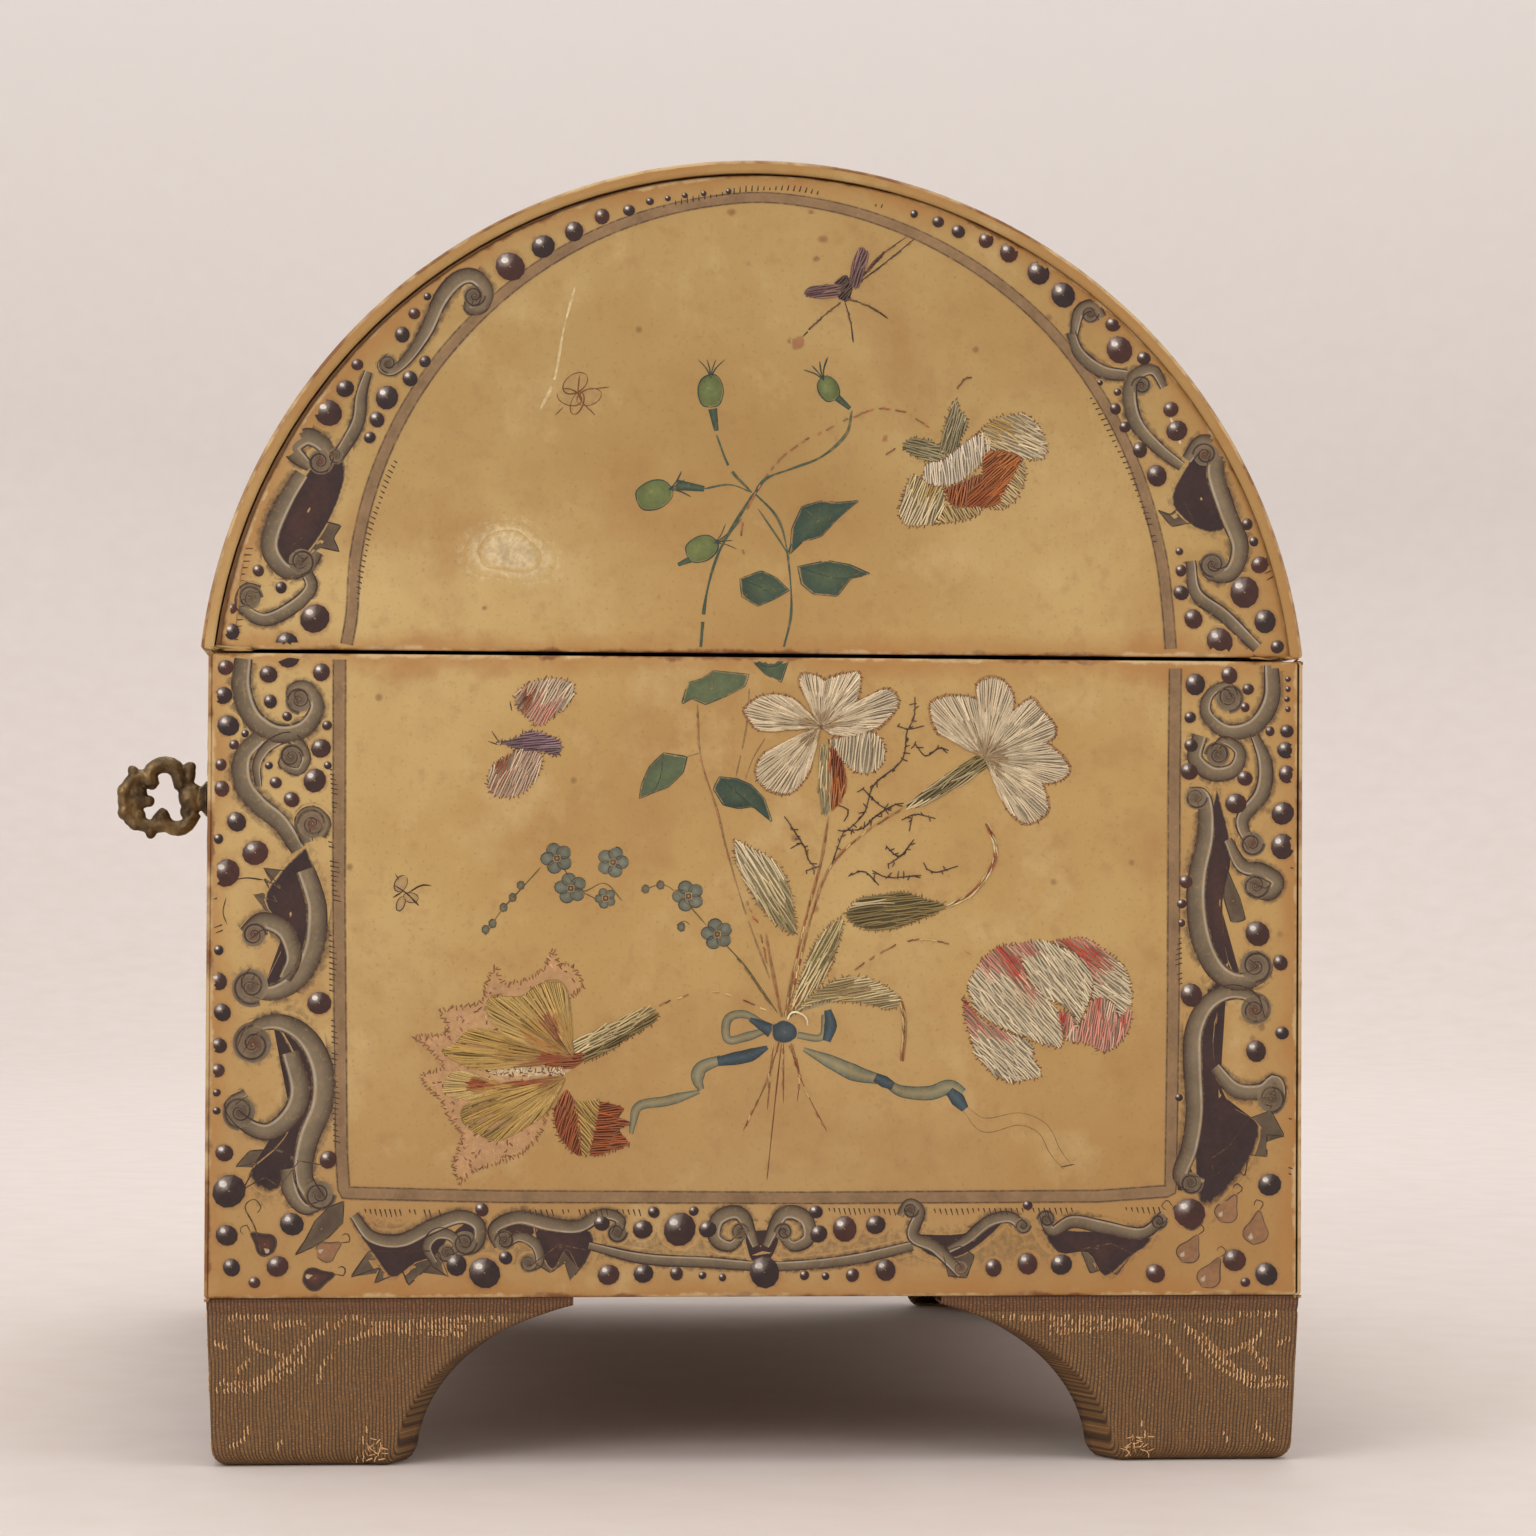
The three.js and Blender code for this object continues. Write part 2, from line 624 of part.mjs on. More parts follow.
function buildBow() {
  const tubes = scrolls.map(({ widthShare, shares }) => {
    const radius = widthShare * bowHeight;
    const section = new THREE.Shape().absarc(0, 0, radius, 0, 2 * Math.PI, false);
    return new THREE.ExtrudeGeometry(section, {
      extrudePath: bowCurve(shares),
      steps: 2 * shares.length,
      curveSegments: smallArcSteps,
    });
  });
  const swellings = lobes.map(({ centreShare: [along, up], radiusShares, leanDegrees }) => {
    const ball = new THREE.SphereGeometry(1, roundSides - 2, roundSides / 2);
    ball.scale(...radiusShares.map((share) => share * bowHeight));
    ball.rotateX(THREE.MathUtils.degToRad(leanDegrees));
    return ball.translate(0, along * bowHeight - bowSetOut, up * bowHeight);
  });
  return [...tubes, ...swellings];
}

function buildKey() {
  const tipY = plateInY + lockDepth - keyTipClearance - frontY;
  const bowEndY = -bowSetOut + bowHeight / 3;
  const collarMid = (collarNear + collarFar) / 2;
  const stem = turned([
    [0, bowEndY], [collarWaist, -collarFar], [collarRadius, -(collarMid + collarFar) / 2],
    [collarWaist, -collarMid], [collarRadius, -(collarMid + collarNear) / 2],
    [shankRadius, -collarNear], [shankRadius, tipY], [0, tipY],
  ]);
  const bitTo = tipY - keyTipClearance;
  const bitFrom = bitTo - bitLength;
  const wards = [1, 2].map((ward) => bitFrom + (ward * bitLength) / 3 - wardWidth / 2);
  const bit = polygon([
    [bitFrom, 0], [bitFrom, -bitRadius],
    ...wards.flatMap((start, index) => {
      const top = -bitRadius + wardDepth * (index + 1) / wards.length;
      return [[start, -bitRadius], [start, top], [start + wardWidth, top], [start + wardWidth, -bitRadius]];
    }),
    [bitTo, -bitRadius], [bitTo, 0],
  ]);
  const blade = prismX(bit, -bitThickness / 2, bitThickness / 2);
  place(keyGroup, 'key', join(stem, blade, ...buildBow()), bronze);
}

// Hinges: leaves let into the rim and the lid, the knuckles standing clear of the back
const knuckleLength = (hingeWidth - 2 * runningGap) / 3;
const knuckleStarts = [0, 1, 2].map((index) => -hingeWidth / 2 + index * (knuckleLength + runningGap));

function knuckle(start, leafFrom, leafTo, axisZ) {
  const end = start + knuckleLength;
  const boreRadius = hingePinRadius + runningGap;
  const barrel = ringPrismX(knuckleRadius, boreRadius, start, end).translate(0, hingeY, axisZ);
  const tongue = block([start, end], [backY - runningGap, hingeY], [leafFrom, leafTo]);
  const bore = new THREE.Shape().absarc(0, 0, boreRadius, 0, 2 * Math.PI, false);
  const drilled = prismX(bore, start - cutOverrun, end + cutOverrun, roundSides / 2);
  return cut(join(barrel, tongue), drilled.translate(0, hingeY, axisZ));
}

function leaf(depth, from, to, axisZ, starts) {
  const plate = block(span(hingeWidth / 2), [backY - depth, backY], [from, to]);
  return join(plate, ...starts.map((start) => knuckle(start, from, to, axisZ)));
}

function buildHinges() {
  const pinHalf = hingeWidth / 2;
  const pin = turned([
    [0, -pinHalf - pinHeadLength], [pinHeadRadius, -pinHalf - pinHeadLength / 2], [pinHeadRadius, -pinHalf],
    [hingePinRadius, -pinHalf], [hingePinRadius, pinHalf], [pinHeadRadius, pinHalf],
    [pinHeadRadius, pinHalf + pinHeadLength / 2], [0, pinHalf + pinHeadLength],
  ]).rotateZ(Math.PI / 2);
  const [first, middle, last] = knuckleStarts;
  const caseLeaf = leaf(caseLeafDepth, rimZ - leafThickness, rimZ, hingeZ, [first, last]);
  const lidLeaf = leaf(lidLeafDepth, 0, leafThickness, hingeZ - lidZ, [middle]);
  for (const [side, centre] of hingeCentres) {
    const leafHoles = caseScrewHoles.map((hole) => hole.clone().translate(-centre, 0, 0));
    place(caseGroup, `${side}_case_hinge_leaf`, cut(caseLeaf, ...leafHoles), brass).position.x = centre;
    const lidHoles = lidScrewHoles.map((hole) => hole.clone().translate(-centre, 0, 0));
    place(lidGroup, `${side}_lid_hinge_leaf`, cut(lidLeaf, ...lidHoles), brass).position.x = centre;
    place(caseGroup, `${side}_hinge_pin`, pin, brass).position.set(centre, hingeY, hingeZ);
  }
  for (const [where, x] of leafScrews) {
    const caseScrew = place(caseGroup, `${where}_case_hinge_screw`, screw(hingeScrewLength), brass);
    caseScrew.position.set(x, caseScrewY, rimZ);
    const lidScrew = place(lidGroup, `${where}_lid_hinge_screw`, screw(hingeScrewLength), brass);
    lidScrew.position.set(x, lidScrewY, 0);
    lidScrew.rotation.x = Math.PI;
  }
}

// Arch outlines of the lid, drawn in YZ above a level
const archAngle = (radius, level) => Math.asin((level - archCentreZ) / radius);

function archPanel(radius, level) {
  const start = archAngle(radius, level);
  return new THREE.Shape().absarc(archCentreY, archCentreZ, radius, start, Math.PI - start, false);
}

function archBand(outer, inner, level) {
  const band = archPanel(outer, level);
  const start = archAngle(inner, level);
  band.absarc(archCentreY, archCentreZ, inner, Math.PI - start, start, true);
  return band;
}

function railOutline(width, atFront) {
  const low = archAngle(panelRadius, parchment);
  const high = archAngle(panelRadius, railHeight);
  const mirror = (angle) => (atFront ? Math.PI - angle : angle);
  const outerY = archCentreY + panelRadius * Math.cos(mirror(low));
  const innerY = atFront ? outerY + width : outerY - width;
  const outline = new THREE.Shape();
  outline.absarc(archCentreY, archCentreZ, panelRadius, mirror(low), mirror(high), atFront);
  outline.lineTo(innerY, railHeight);
  outline.lineTo(innerY, parchment);
  return outline;
}

// Screws and mortise of the staple plate in the lock rail
const staplePlateY = [stapleFrontY, stapleFrontY + stapleDepth];
const staplePlateZ = [parchment, parchment + staplePlateThickness];
const stapleScrewY = (staplePlateY[0] + staplePlateY[1]) / 2;
const stapleScrews = sides.map(([side, sign]) => [side, (sign * stapleScrewSpacing) / 2]);
const stapleScrewHoles = stapleScrews.map(([, x]) => (
  screwHole(stapleScrewLength).rotateX(Math.PI).translate(x, stapleScrewY, staplePlateZ[0])
));

function buildLidShell() {
  const skin = prismX(archBand(lidRadius, lidRadius - parchment, 0), -endX, endX, arcSteps);
  const rims = sides.map(([, sign]) => (
    prismX(archBand(lidRadius, domeInnerRadius, 0), ...towards(sign, endX - parchment, endX), arcSteps)
  ));
  const hemX = span(endX - parchment / 2);
  const hems = [
    block(hemX, [lidFrontY + parchment / 2, lidFrontY + lidTurnIn], [0, parchment]),
    block(hemX, [backY - lidTurnIn, backY - parchment / 2], [0, parchment]),
  ];
  place(lidGroup, 'dome_parchment', cut(join(skin, ...rims, ...hems), ...lidMortises), parchmentSkin);
  const domeArch = archBand(domeOuterRadius, domeInnerRadius, parchment);
  const dome = prismX(domeArch, parchment - endX, endX - parchment, arcSteps);
  place(lidGroup, 'dome_board', cut(dome, ...lidMortises), wood);

  for (const [side, sign] of sides) {
    const skinX = towards(sign, panelOuterX - parchment, panelOuterX);
    const boardX = towards(sign, panelInnerX, panelOuterX - parchment);
    const liningX = towards(sign, panelInnerX - lining, panelInnerX);
    const hem = block(boardX, [lidFrontY + lidTurnIn, backY - lidTurnIn], [0, parchment]);
    const facing = prismX(archPanel(panelRadius, parchment), ...skinX, arcSteps);
    const board = prismX(archPanel(panelRadius, parchment), ...boardX, arcSteps);
    const hemEdge = block(skinX, [lidFrontY + lidTurnIn, backY - lidTurnIn], [0, parchment]);
    place(lidGroup, `lid_${side}_end_parchment`, join(facing, hemEdge, hem), parchmentSkin);
    place(lidGroup, `lid_${side}_end_board`, board, wood);
    const liningRadius = domeInnerRadius - 2 * glueGap - lining;
    const endLining = prismX(archPanel(liningRadius, railHeight + runningGap), ...liningX, arcSteps);
    place(lidGroup, `lid_${side}_end_lining`, endLining, silk);
  }
  const liningOuter = domeInnerRadius - glueGap;
  const domeLining = archBand(liningOuter, liningOuter - lining, railHeight + runningGap);
  const liningEnd = panelInnerX - runningGap;
  place(lidGroup, 'dome_lining', prismX(domeLining, -liningEnd, liningEnd, arcSteps), silk);
}

function buildRails() {
  const mortise = block(
    span(staplePlateLength / 2 + runningGap),
    [staplePlateY[0] - runningGap, staplePlateY[1] + runningGap],
    [-cutOverrun, staplePlateZ[1]],
  );
  const lockRail = prismX(railOutline(lockRailWidth, true), -panelInnerX, panelInnerX);
  place(lidGroup, 'lid_front_rail', cut(lockRail, mortise, ...stapleScrewHoles), wood);
  const hingeRail = prismX(railOutline(hingeRailWidth, false), -panelInnerX, panelInnerX);
  place(lidGroup, 'lid_back_rail', cut(hingeRail, ...lidMortises, ...lidScrewHoles), wood);
}

// Staple: a plate under the lock rail with a square loop that drops into the lock
function buildStaple() {
  const eyeLow = eyeLowZ - lidZ;
  const loopX = span(stapleLength / 2);
  const plate = block(span(staplePlateLength / 2), staplePlateY, staplePlateZ);
  const loop = block(loopX, staplePlateY, [eyeLow - stapleBar, staplePlateZ[1]]);
  const eye = block(
    span(stapleLength / 2 + cutOverrun),
    [staplePlateY[0] + stapleWall, staplePlateY[1] - stapleWall],
    [eyeLow, eyeLow + stapleEyeHeight],
  );
  const staple = cut(join(plate, loop), eye, ...stapleScrewHoles);
  place(lidGroup, 'lid_staple', staple, iron);
  for (const [side, x] of stapleScrews) {
    const stapleScrew = place(lidGroup, `staple_${side}_screw`, screw(stapleScrewLength), iron);
    stapleScrew.position.set(x, stapleScrewY, staplePlateZ[0]);
    stapleScrew.rotation.x = Math.PI;
  }
}

buildCarcass();
buildCaseSkins();
buildCaseLinings();
buildFeet();
buildLock();
buildEscutcheon();
buildKey();
buildHinges();
buildLidShell();
buildRails();
buildStaple();

export default casket;
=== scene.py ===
import math

import bpy
import numpy as np
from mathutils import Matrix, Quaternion, Vector


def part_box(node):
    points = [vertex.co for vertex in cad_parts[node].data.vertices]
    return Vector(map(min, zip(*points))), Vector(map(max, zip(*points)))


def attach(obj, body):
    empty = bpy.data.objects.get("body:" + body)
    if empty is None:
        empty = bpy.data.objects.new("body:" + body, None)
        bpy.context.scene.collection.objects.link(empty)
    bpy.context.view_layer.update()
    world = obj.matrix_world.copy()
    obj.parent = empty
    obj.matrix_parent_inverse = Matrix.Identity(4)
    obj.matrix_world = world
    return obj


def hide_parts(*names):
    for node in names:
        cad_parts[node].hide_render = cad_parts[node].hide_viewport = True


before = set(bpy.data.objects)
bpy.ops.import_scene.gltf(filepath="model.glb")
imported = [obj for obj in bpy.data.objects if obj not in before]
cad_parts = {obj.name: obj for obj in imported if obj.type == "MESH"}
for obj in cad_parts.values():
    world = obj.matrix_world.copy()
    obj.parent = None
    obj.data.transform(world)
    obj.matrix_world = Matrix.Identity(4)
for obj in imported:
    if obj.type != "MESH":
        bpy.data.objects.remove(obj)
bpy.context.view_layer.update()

# Studio
# A pale paper sweep all round the casket, soft light from above and from both sides, and a camera
# 0.9 m from the painted end, a little low and a little towards the keyhole side.
MM = 0.001
front_skin_low, front_skin_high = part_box("front_parchment")
back_skin_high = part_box("back_parchment")[1]
case_front, case_back = front_skin_low.y, back_skin_high.y
case_end, case_foot, case_rim = front_skin_high.x, front_skin_low.z, front_skin_high.z
casket_middle = (case_front + case_back) / 2

photo_side = 1536
photo_focal_length = 4635
sensor_side = 36
camera_target = Vector((case_end, casket_middle + 1.4 * MM, 135.0 * MM))
camera_distance = 0.9
camera_yaw, camera_pitch = math.radians(-5), math.radians(-1)
camera_roll = Quaternion((0, 0, 1), math.radians(0.28))

camera_data = bpy.data.cameras.new("camera")
camera_data.sensor_width = sensor_side
camera_data.lens = sensor_side * photo_focal_length / photo_side
camera_data.clip_start = 0.01
camera = bpy.data.objects.new("camera", camera_data)
bpy.context.collection.objects.link(camera)
towards_camera = Vector((math.cos(camera_pitch) * math.cos(camera_yaw),
                         math.cos(camera_pitch) * math.sin(camera_yaw), math.sin(camera_pitch)))
camera.location = camera_target + camera_distance * towards_camera
camera.rotation_euler = ((-towards_camera).to_track_quat("-Z", "Y") @ camera_roll).to_euler()
bpy.context.scene.camera = camera
bpy.context.scene.view_settings.view_transform = "Standard"


def linear(red, green, blue):
    """A colour as the eye names it, from 0 to 255, in scene light."""
    shares = np.array([red, green, blue]) / 255
    light = np.where(shares <= 0.04045, shares / 12.92, ((shares + 0.055) / 1.055) ** 2.4)
    return (*[float(x) for x in light], 1.0)


class Recipe:
    """The nodes of a material or a node group, added one by one and linked as they are made."""

    def __init__(self, tree):
        self.tree = tree

    def add(self, kind, inputs=None, **settings):
        made = self.tree.nodes.new(kind)
        for name, value in settings.items():
            setattr(made, name, value)
        return self.wire(made, inputs or {})

    def wire(self, node, inputs):
        for name, value in inputs.items():
            self.feed(node.inputs[name], value)
        return node

    def feed(self, socket, value):
        if isinstance(value, bpy.types.NodeSocket):
            self.tree.links.new(value, socket)
        else:
            socket.default_value = value

    def math(self, operation, *values):
        made = self.add("ShaderNodeMath", operation=operation)
        for socket, value in zip(made.inputs, values):
            self.feed(socket, value)
        return made.outputs[0]

    def spread(self, value, low, high, to_low=0.0, to_high=1.0):
        """The value's place between low and high, as a share or between two other values."""
        made = self.add("ShaderNodeMapRange", {"Value": value, "From Min": low, "From Max": high,
                                               "To Min": to_low, "To Max": to_high})
        return made.outputs["Result"]

    def mix(self, share, first, second, mode="MIX"):
        made = self.add("ShaderNodeMix", data_type="RGBA", blend_type=mode)
        self.feed(made.inputs[0], share)
        self.feed(made.inputs[6], first)
        self.feed(made.inputs[7], second)
        return made.outputs[2]

    def tint(self, tone, pattern, low, high, most, colour):
        """The tone, turned towards a colour as the pattern passes from low to high."""
        return self.mix(self.spread(pattern, low, high, 0, most), tone, colour)

    def noise(self, vector, scale, detail=3.0, roughness=0.5):
        made = self.add("ShaderNodeTexNoise", {"Vector": vector, "Scale": scale, "Detail": detail,
                                               "Roughness": roughness})
        return made.outputs["Fac"]

    def ramp(self, value, *stops):
        made = self.add("ShaderNodeValToRGB", {"Fac": value})
        elements = made.color_ramp.elements
        while len(elements) < len(stops):
            elements.new(0.5)
        for element, (position, colour) in zip(elements, stops):
            element.position = position
            element.color = colour
        return made.outputs["Color"]

    def bump(self, height, strength, distance):
        made = self.add("ShaderNodeBump", {"Height": height, "Strength": strength,
                                           "Distance": distance})
        return made.outputs["Normal"]


def new_material(name):
    """An empty material, its recipe, its shader and the place on the piece that its patterns follow."""
    material = bpy.data.materials.new(name)
    material.use_nodes = True
    recipe = Recipe(material.node_tree)
    shader = material.node_tree.nodes["Principled BSDF"]
    spot = recipe.add("ShaderNodeTexCoord").outputs["Object"]
    return material, recipe, shader, spot


sweep_radius, sweep_curve, sweep_height = 2.6, 1.1, 2.2
sweep_sides, sweep_steps = 96, 16
paper_colour = linear(224, 215, 210)


def make_sweep():
    """The paper: a flat floor that curves up into a low wall all round, painted paler higher up as painted
    light.
    """
    turn = [k * math.pi / 2 / sweep_steps for k in range(sweep_steps + 1)]
    flat = sweep_radius - sweep_curve
    profile = [(flat + sweep_curve * math.sin(a), sweep_curve * (1 - math.cos(a))) for a in turn]
    profile.append((sweep_radius, sweep_height))
    points, faces = [(0, 0, 0)], []
    for radius, height in profile:
        for side in range(sweep_sides):
            angle = 2 * math.pi * side / sweep_sides
            points.append((radius * math.cos(angle), radius * math.sin(angle), height))
    for side in range(sweep_sides):
        following = (side + 1) % sweep_sides
        faces.append((0, 1 + side, 1 + following))
        for ring in range(len(profile) - 1):
            low, high = 1 + ring * sweep_sides, 1 + (ring + 1) * sweep_sides
            faces.append((low + side, high + side, high + following, low + following))
    mesh = bpy.data.meshes.new("studio_sweep")
    mesh.from_pydata(points, [], faces)
    mesh.polygons.foreach_set("use_smooth", [True] * len(mesh.polygons))
    sweep = bpy.data.objects.new("studio_sweep", mesh)
    bpy.context.collection.objects.link(sweep)
    material, recipe, shader, spot = new_material("paper_sweep")
    tooth = recipe.noise(spot, 60)
    high_up = recipe.add("ShaderNodeSeparateXYZ", {"Vector": spot}).outputs["Z"]
    # Painted light: the paper's colour turns paler higher up the wall, as if more light fell there.
    pale = recipe.spread(high_up, 0.05, 0.9)
    shade = recipe.mix(recipe.spread(tooth, 0.3, 0.7), paper_colour, linear(220, 210, 204))
    shade = recipe.mix(pale, shade, linear(250, 246, 244))
    recipe.wire(shader, {"Base Color": shade, "Roughness": 0.9})
    mesh.materials.append(material)


def add_light(name, place, side, power, colour, target=(0, 0.01, 0.13)):
    data = bpy.data.lights.new(name, "AREA")
    data.shape = "SQUARE"
    data.size = side
    data.energy = power
    data.color = colour
    light = bpy.data.objects.new(name, data)
    light.location = place
    aim = Vector(target) - Vector(place)
    light.rotation_euler = aim.to_track_quat("-Z", "Y").to_euler()
    bpy.context.collection.objects.link(light)


make_sweep()
add_light("soft_overhead", (0.25, -0.1, 1.9), 1.8, 17, (1.0, 0.985, 0.97))
add_light("soft_left", (1.5, -1.25, 1.05), 1.0, 11, (1.0, 0.985, 0.97))
add_light("soft_right", (1.3, 1.5, 0.8), 0.9, 4.5, (1.0, 0.98, 0.96))
add_light("wall_wash", (-0.9, 0.0, 2.0), 1.0, 3.2, (1.0, 0.99, 0.98), (-2.4, 0.0, 0.5))
add_light("soft_back", (-1.6, 0.3, 1.3), 1.2, 8, (1.0, 0.985, 0.97))
world = bpy.data.worlds.new("studio_air")
world.use_nodes = True
Recipe(world.node_tree).wire(world.node_tree.nodes["Background"],
                             {"Color": (0.9, 0.87, 0.85, 1), "Strength": 0.5})
bpy.context.scene.world = world

# Wooden carcass
# Five softwood boards, glued and pegged, with an arched board, two end boards and two rails in the
# lid. Planed by hand and left bare, they show only underneath and at the lid's lower edge.
case_boards = ["bottom_board", "front_board", "back_board", "left_end_board", "right_end_board"]
foot_cores = [f"{corner}_foot_core" for corner in ("front_left", "front_right", "back_right", "back_left")]
lid_boards = ["dome_board", "lid_left_end_board", "lid_right_end_board", "lid_front_rail", "lid_back_rail"]


def make_wood():
    material, recipe, shader, spot = new_material("old_softwood")
    stretched = recipe.add("ShaderNodeMapping", {"Vector": spot, "Scale": (4, 30, 30)}).outputs[0]
    rings = recipe.noise(stretched, 5, 6, 0.6)
    fibre = recipe.noise(stretched, 60, 4, 0.7)
    tone = recipe.ramp(rings, (0.3, linear(128, 92, 56)), (0.5, linear(158, 120, 78)),
                       (0.7, linear(142, 102, 62)))
    dust = recipe.spread(recipe.noise(spot, 25, 5), 0.45, 0.75)
    tone = recipe.mix(dust, tone, recipe.mix(0.5, tone, linear(96, 78, 60)))
    tone = recipe.mix(recipe.math("MULTIPLY", fibre, 0.35), tone, linear(92, 62, 36))
    recipe.wire(shader, {"Base Color": tone, "Roughness": recipe.spread(fibre, 0.2, 0.8, 0.6, 0.85),
                         "Normal": recipe.bump(fibre, 0.5, 0.0006)})
    return material


wood = make_wood()
for node in case_boards + foot_cores + lid_boards:
    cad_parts[node].material_slots[0].material = wood

# Parchment covering
# Scraped calfskin, one sheet to each side, pasted on the boards, turned over the rim and under the
# bottom. It has dried in low waves, and handling has browned it along every edge.
skin_thickness, panel_thickness = 0.6, 0.5
skin_cell = 2.6
dome_cell = 1.6
corner_round = 0.6
rim_turn = 7.6
under_turn = 14
wave_fade = 9
lid_skin_low, lid_skin_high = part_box("dome_parchment")
lid_half_depth = (lid_skin_high.y - lid_skin_low.y) / 2
lid_height = lid_skin_high.z - lid_skin_low.z
lid_radius = (lid_half_depth ** 2 + lid_height ** 2) / (2 * lid_height)
arch_y = (lid_skin_low.y + lid_skin_high.y) / 2
arch_z = lid_skin_high.z - lid_radius
arch_start = math.asin((lid_skin_low.z - arch_z) / lid_radius)
dome_length = (math.pi - 2 * arch_start) * lid_radius / MM
case_length = 2 * case_end / MM
case_depth = (case_back - case_front) / MM
rim_height = case_rim / MM
foot_height = case_foot / MM
back_sheet = 1.0
panel_gap = 0.3
panel_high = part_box("lid_right_end_parchment")[1]
panel_x = panel_high.x
panel_radius = panel_high.z - arch_z
rim_width = lid_radius - panel_radius - panel_gap * MM


class Face:
    """One side of the casket. It puts (across, up, lift), in millimetres, at its place in the frame."""

    def __init__(self, body, extent, curve, phase, edge=None):
        self.body = body
        self.low_across, self.high_across, self.low_up, self.high_up = extent
        self.curve = curve
        self.phase = phase
        self.own_edge = edge

    def edge(self, across, up):
        """How far a spot lies from the side's nearest edge."""
        if self.own_edge:
            return self.own_edge(across, up)
        inside = np.minimum(np.minimum(across - self.low_across, self.high_across - across),
                            np.minimum(up - self.low_up, self.high_up - up))
        return np.maximum(inside, 0)

    def wave(self, across, up):
        """How far the dried sheet stands off its board there."""
        a, b, p = across, up, self.phase
        swell = (0.085 * np.sin(a / 21 + 1.7 * p) * np.cos(b / 27 - p)
                 + 0.05 * np.sin((a + 1.4 * b) / 13 + 2.3 * p) + 0.022 * np.sin((a - b) / 6.1 + p)
                 + 0.02 * np.sin(b / 4.7 + 3 * p) * np.sin(a / 8.3))
        near = np.clip(self.edge(across, up) / wave_fade, 0, 1)
        return swell * near * near * (3 - 2 * near)

    def place(self, across, up, lift):
        across, up, lift = np.broadcast_arrays(*[np.asarray(x, float) for x in (across, up, lift)])
        return self.curve(across, up, lift + self.wave(across, up)) * MM


def flat_side(origin, across_axis, up_axis):
    """The curve of a flat side: how (across, up, lift) lie from its origin, in millimetres."""
    origin, across_axis, up_axis = [np.array(x, float) for x in (origin, across_axis, up_axis)]
    out_axis = np.cross(across_axis, up_axis)

    def curve(across, up, lift):
        return (origin + across[..., None] * across_axis + up[..., None] * up_axis
                + lift[..., None] * out_axis)
    return curve


def dome_side(across, up, lift):
    """Along the lid, and up from its front edge over the arch to its back edge."""
    angle = arch_start + up / (lid_radius / MM)
    radius = lid_radius / MM + lift
    return np.stack([across, arch_y / MM - radius * np.cos(angle),
                     arch_z / MM + radius * np.sin(angle)], -1)


def arch_edge(across, up):
    """Distance from the rim of the lid's inset end panel."""
    reach = np.hypot(across, up - arch_z / MM)
    return np.clip(np.minimum(panel_radius / MM - reach, up - lid_skin_low.z / MM), 0, None)


middle = casket_middle / MM
half_length = case_length / 2
half_depth = case_depth / 2
right_end = Face("case", (-half_depth + skin_thickness, half_depth - back_sheet, foot_height, rim_height),
                 flat_side((half_length, middle, 0), (0, 1, 0), (0, 0, 1)), 0.6)
left_end = Face("case", (-half_depth + back_sheet, half_depth - skin_thickness, foot_height, rim_height),
                flat_side((-half_length, middle, 0), (0, -1, 0), (0, 0, 1)), 2.1)
front_side = Face("case", (-half_length, half_length, foot_height, rim_height),
                  flat_side((0, case_front / MM, 0), (1, 0, 0), (0, 0, 1)), 3.3)
back_side = Face("case", (-half_length, half_length, foot_height, rim_height),
                 flat_side((0, case_back / MM, 0), (-1, 0, 0), (0, 0, 1)), 4.4)
dome = Face("lid", (-half_length, half_length, 0, dome_length), dome_side, 5.2)
arch_extent = (-panel_radius / MM, panel_radius / MM, lid_skin_low.z / MM, panel_high.z / MM)
right_arch = Face("lid", arch_extent, flat_side((panel_x / MM, middle, 0), (0, 1, 0), (0, 0, 1)), 1.3,
                  arch_edge)
left_arch = Face("lid", arch_extent, flat_side((-panel_x / MM, middle, 0), (0, -1, 0), (0, 0, 1)), 0.2,
                 arch_edge)


def bare(points):
    """No paint yet on any of these points."""
    return np.zeros((np.asarray(points).reshape(-1, 3).shape[0], 4))


def add_piece(name, points, faces, material, body, attributes=None):
    """A mesh piece of the casket, riding on its body, with its values for the material's patterns."""
    mesh = bpy.data.meshes.new(name)
    mesh.from_pydata(np.asarray(points).reshape(-1, 3).tolist(), [], faces)
    mesh.polygons.foreach_set("use_smooth", [True] * len(mesh.polygons))
    for label, values in (attributes or {}).items():
        values = np.asarray(values, np.float32)
        kind, field = ("FLOAT_COLOR", "color") if values.ndim == 2 else ("FLOAT", "value")
        mesh.attributes.new(label, kind, "POINT").data.foreach_set(field, values.ravel())
    mesh.materials.append(material)
    mesh.validate()
    piece = bpy.data.objects.new(name, mesh)
    bpy.context.collection.objects.link(piece)
    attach(piece, body)
    return piece


def grid_faces(rows, columns, keep=None):
    """Quads of a sheet of points, their faces towards the viewer where rows run up and columns right."""
    faces = []
    for row in range(rows - 1):
        for column in range(columns - 1):
            if keep is None or keep(row, column):
                a = row * columns + column
                faces.append((a, a + 1, a + columns + 1, a + columns))
    return faces


def thicken(piece, thickness):
    """Gives a sheet its thickness, inwards, so that it is a closed body."""
    wall = piece.modifiers.new("thickness", "SOLIDIFY")
    wall.thickness = thickness
    wall.offset = -1


def new_group(name, tree, given, made):
    """An empty node group and its recipe, with the kinds of what it is given and what it makes."""
    group = bpy.data.node_groups.new(name, tree)
    for way, sockets in (("INPUT", given), ("OUTPUT", made)):
        for label, kind in sockets.items():
            group.interface.new_socket(label, in_out=way, socket_type=f"NodeSocket{kind}")
    return group, Recipe(group)


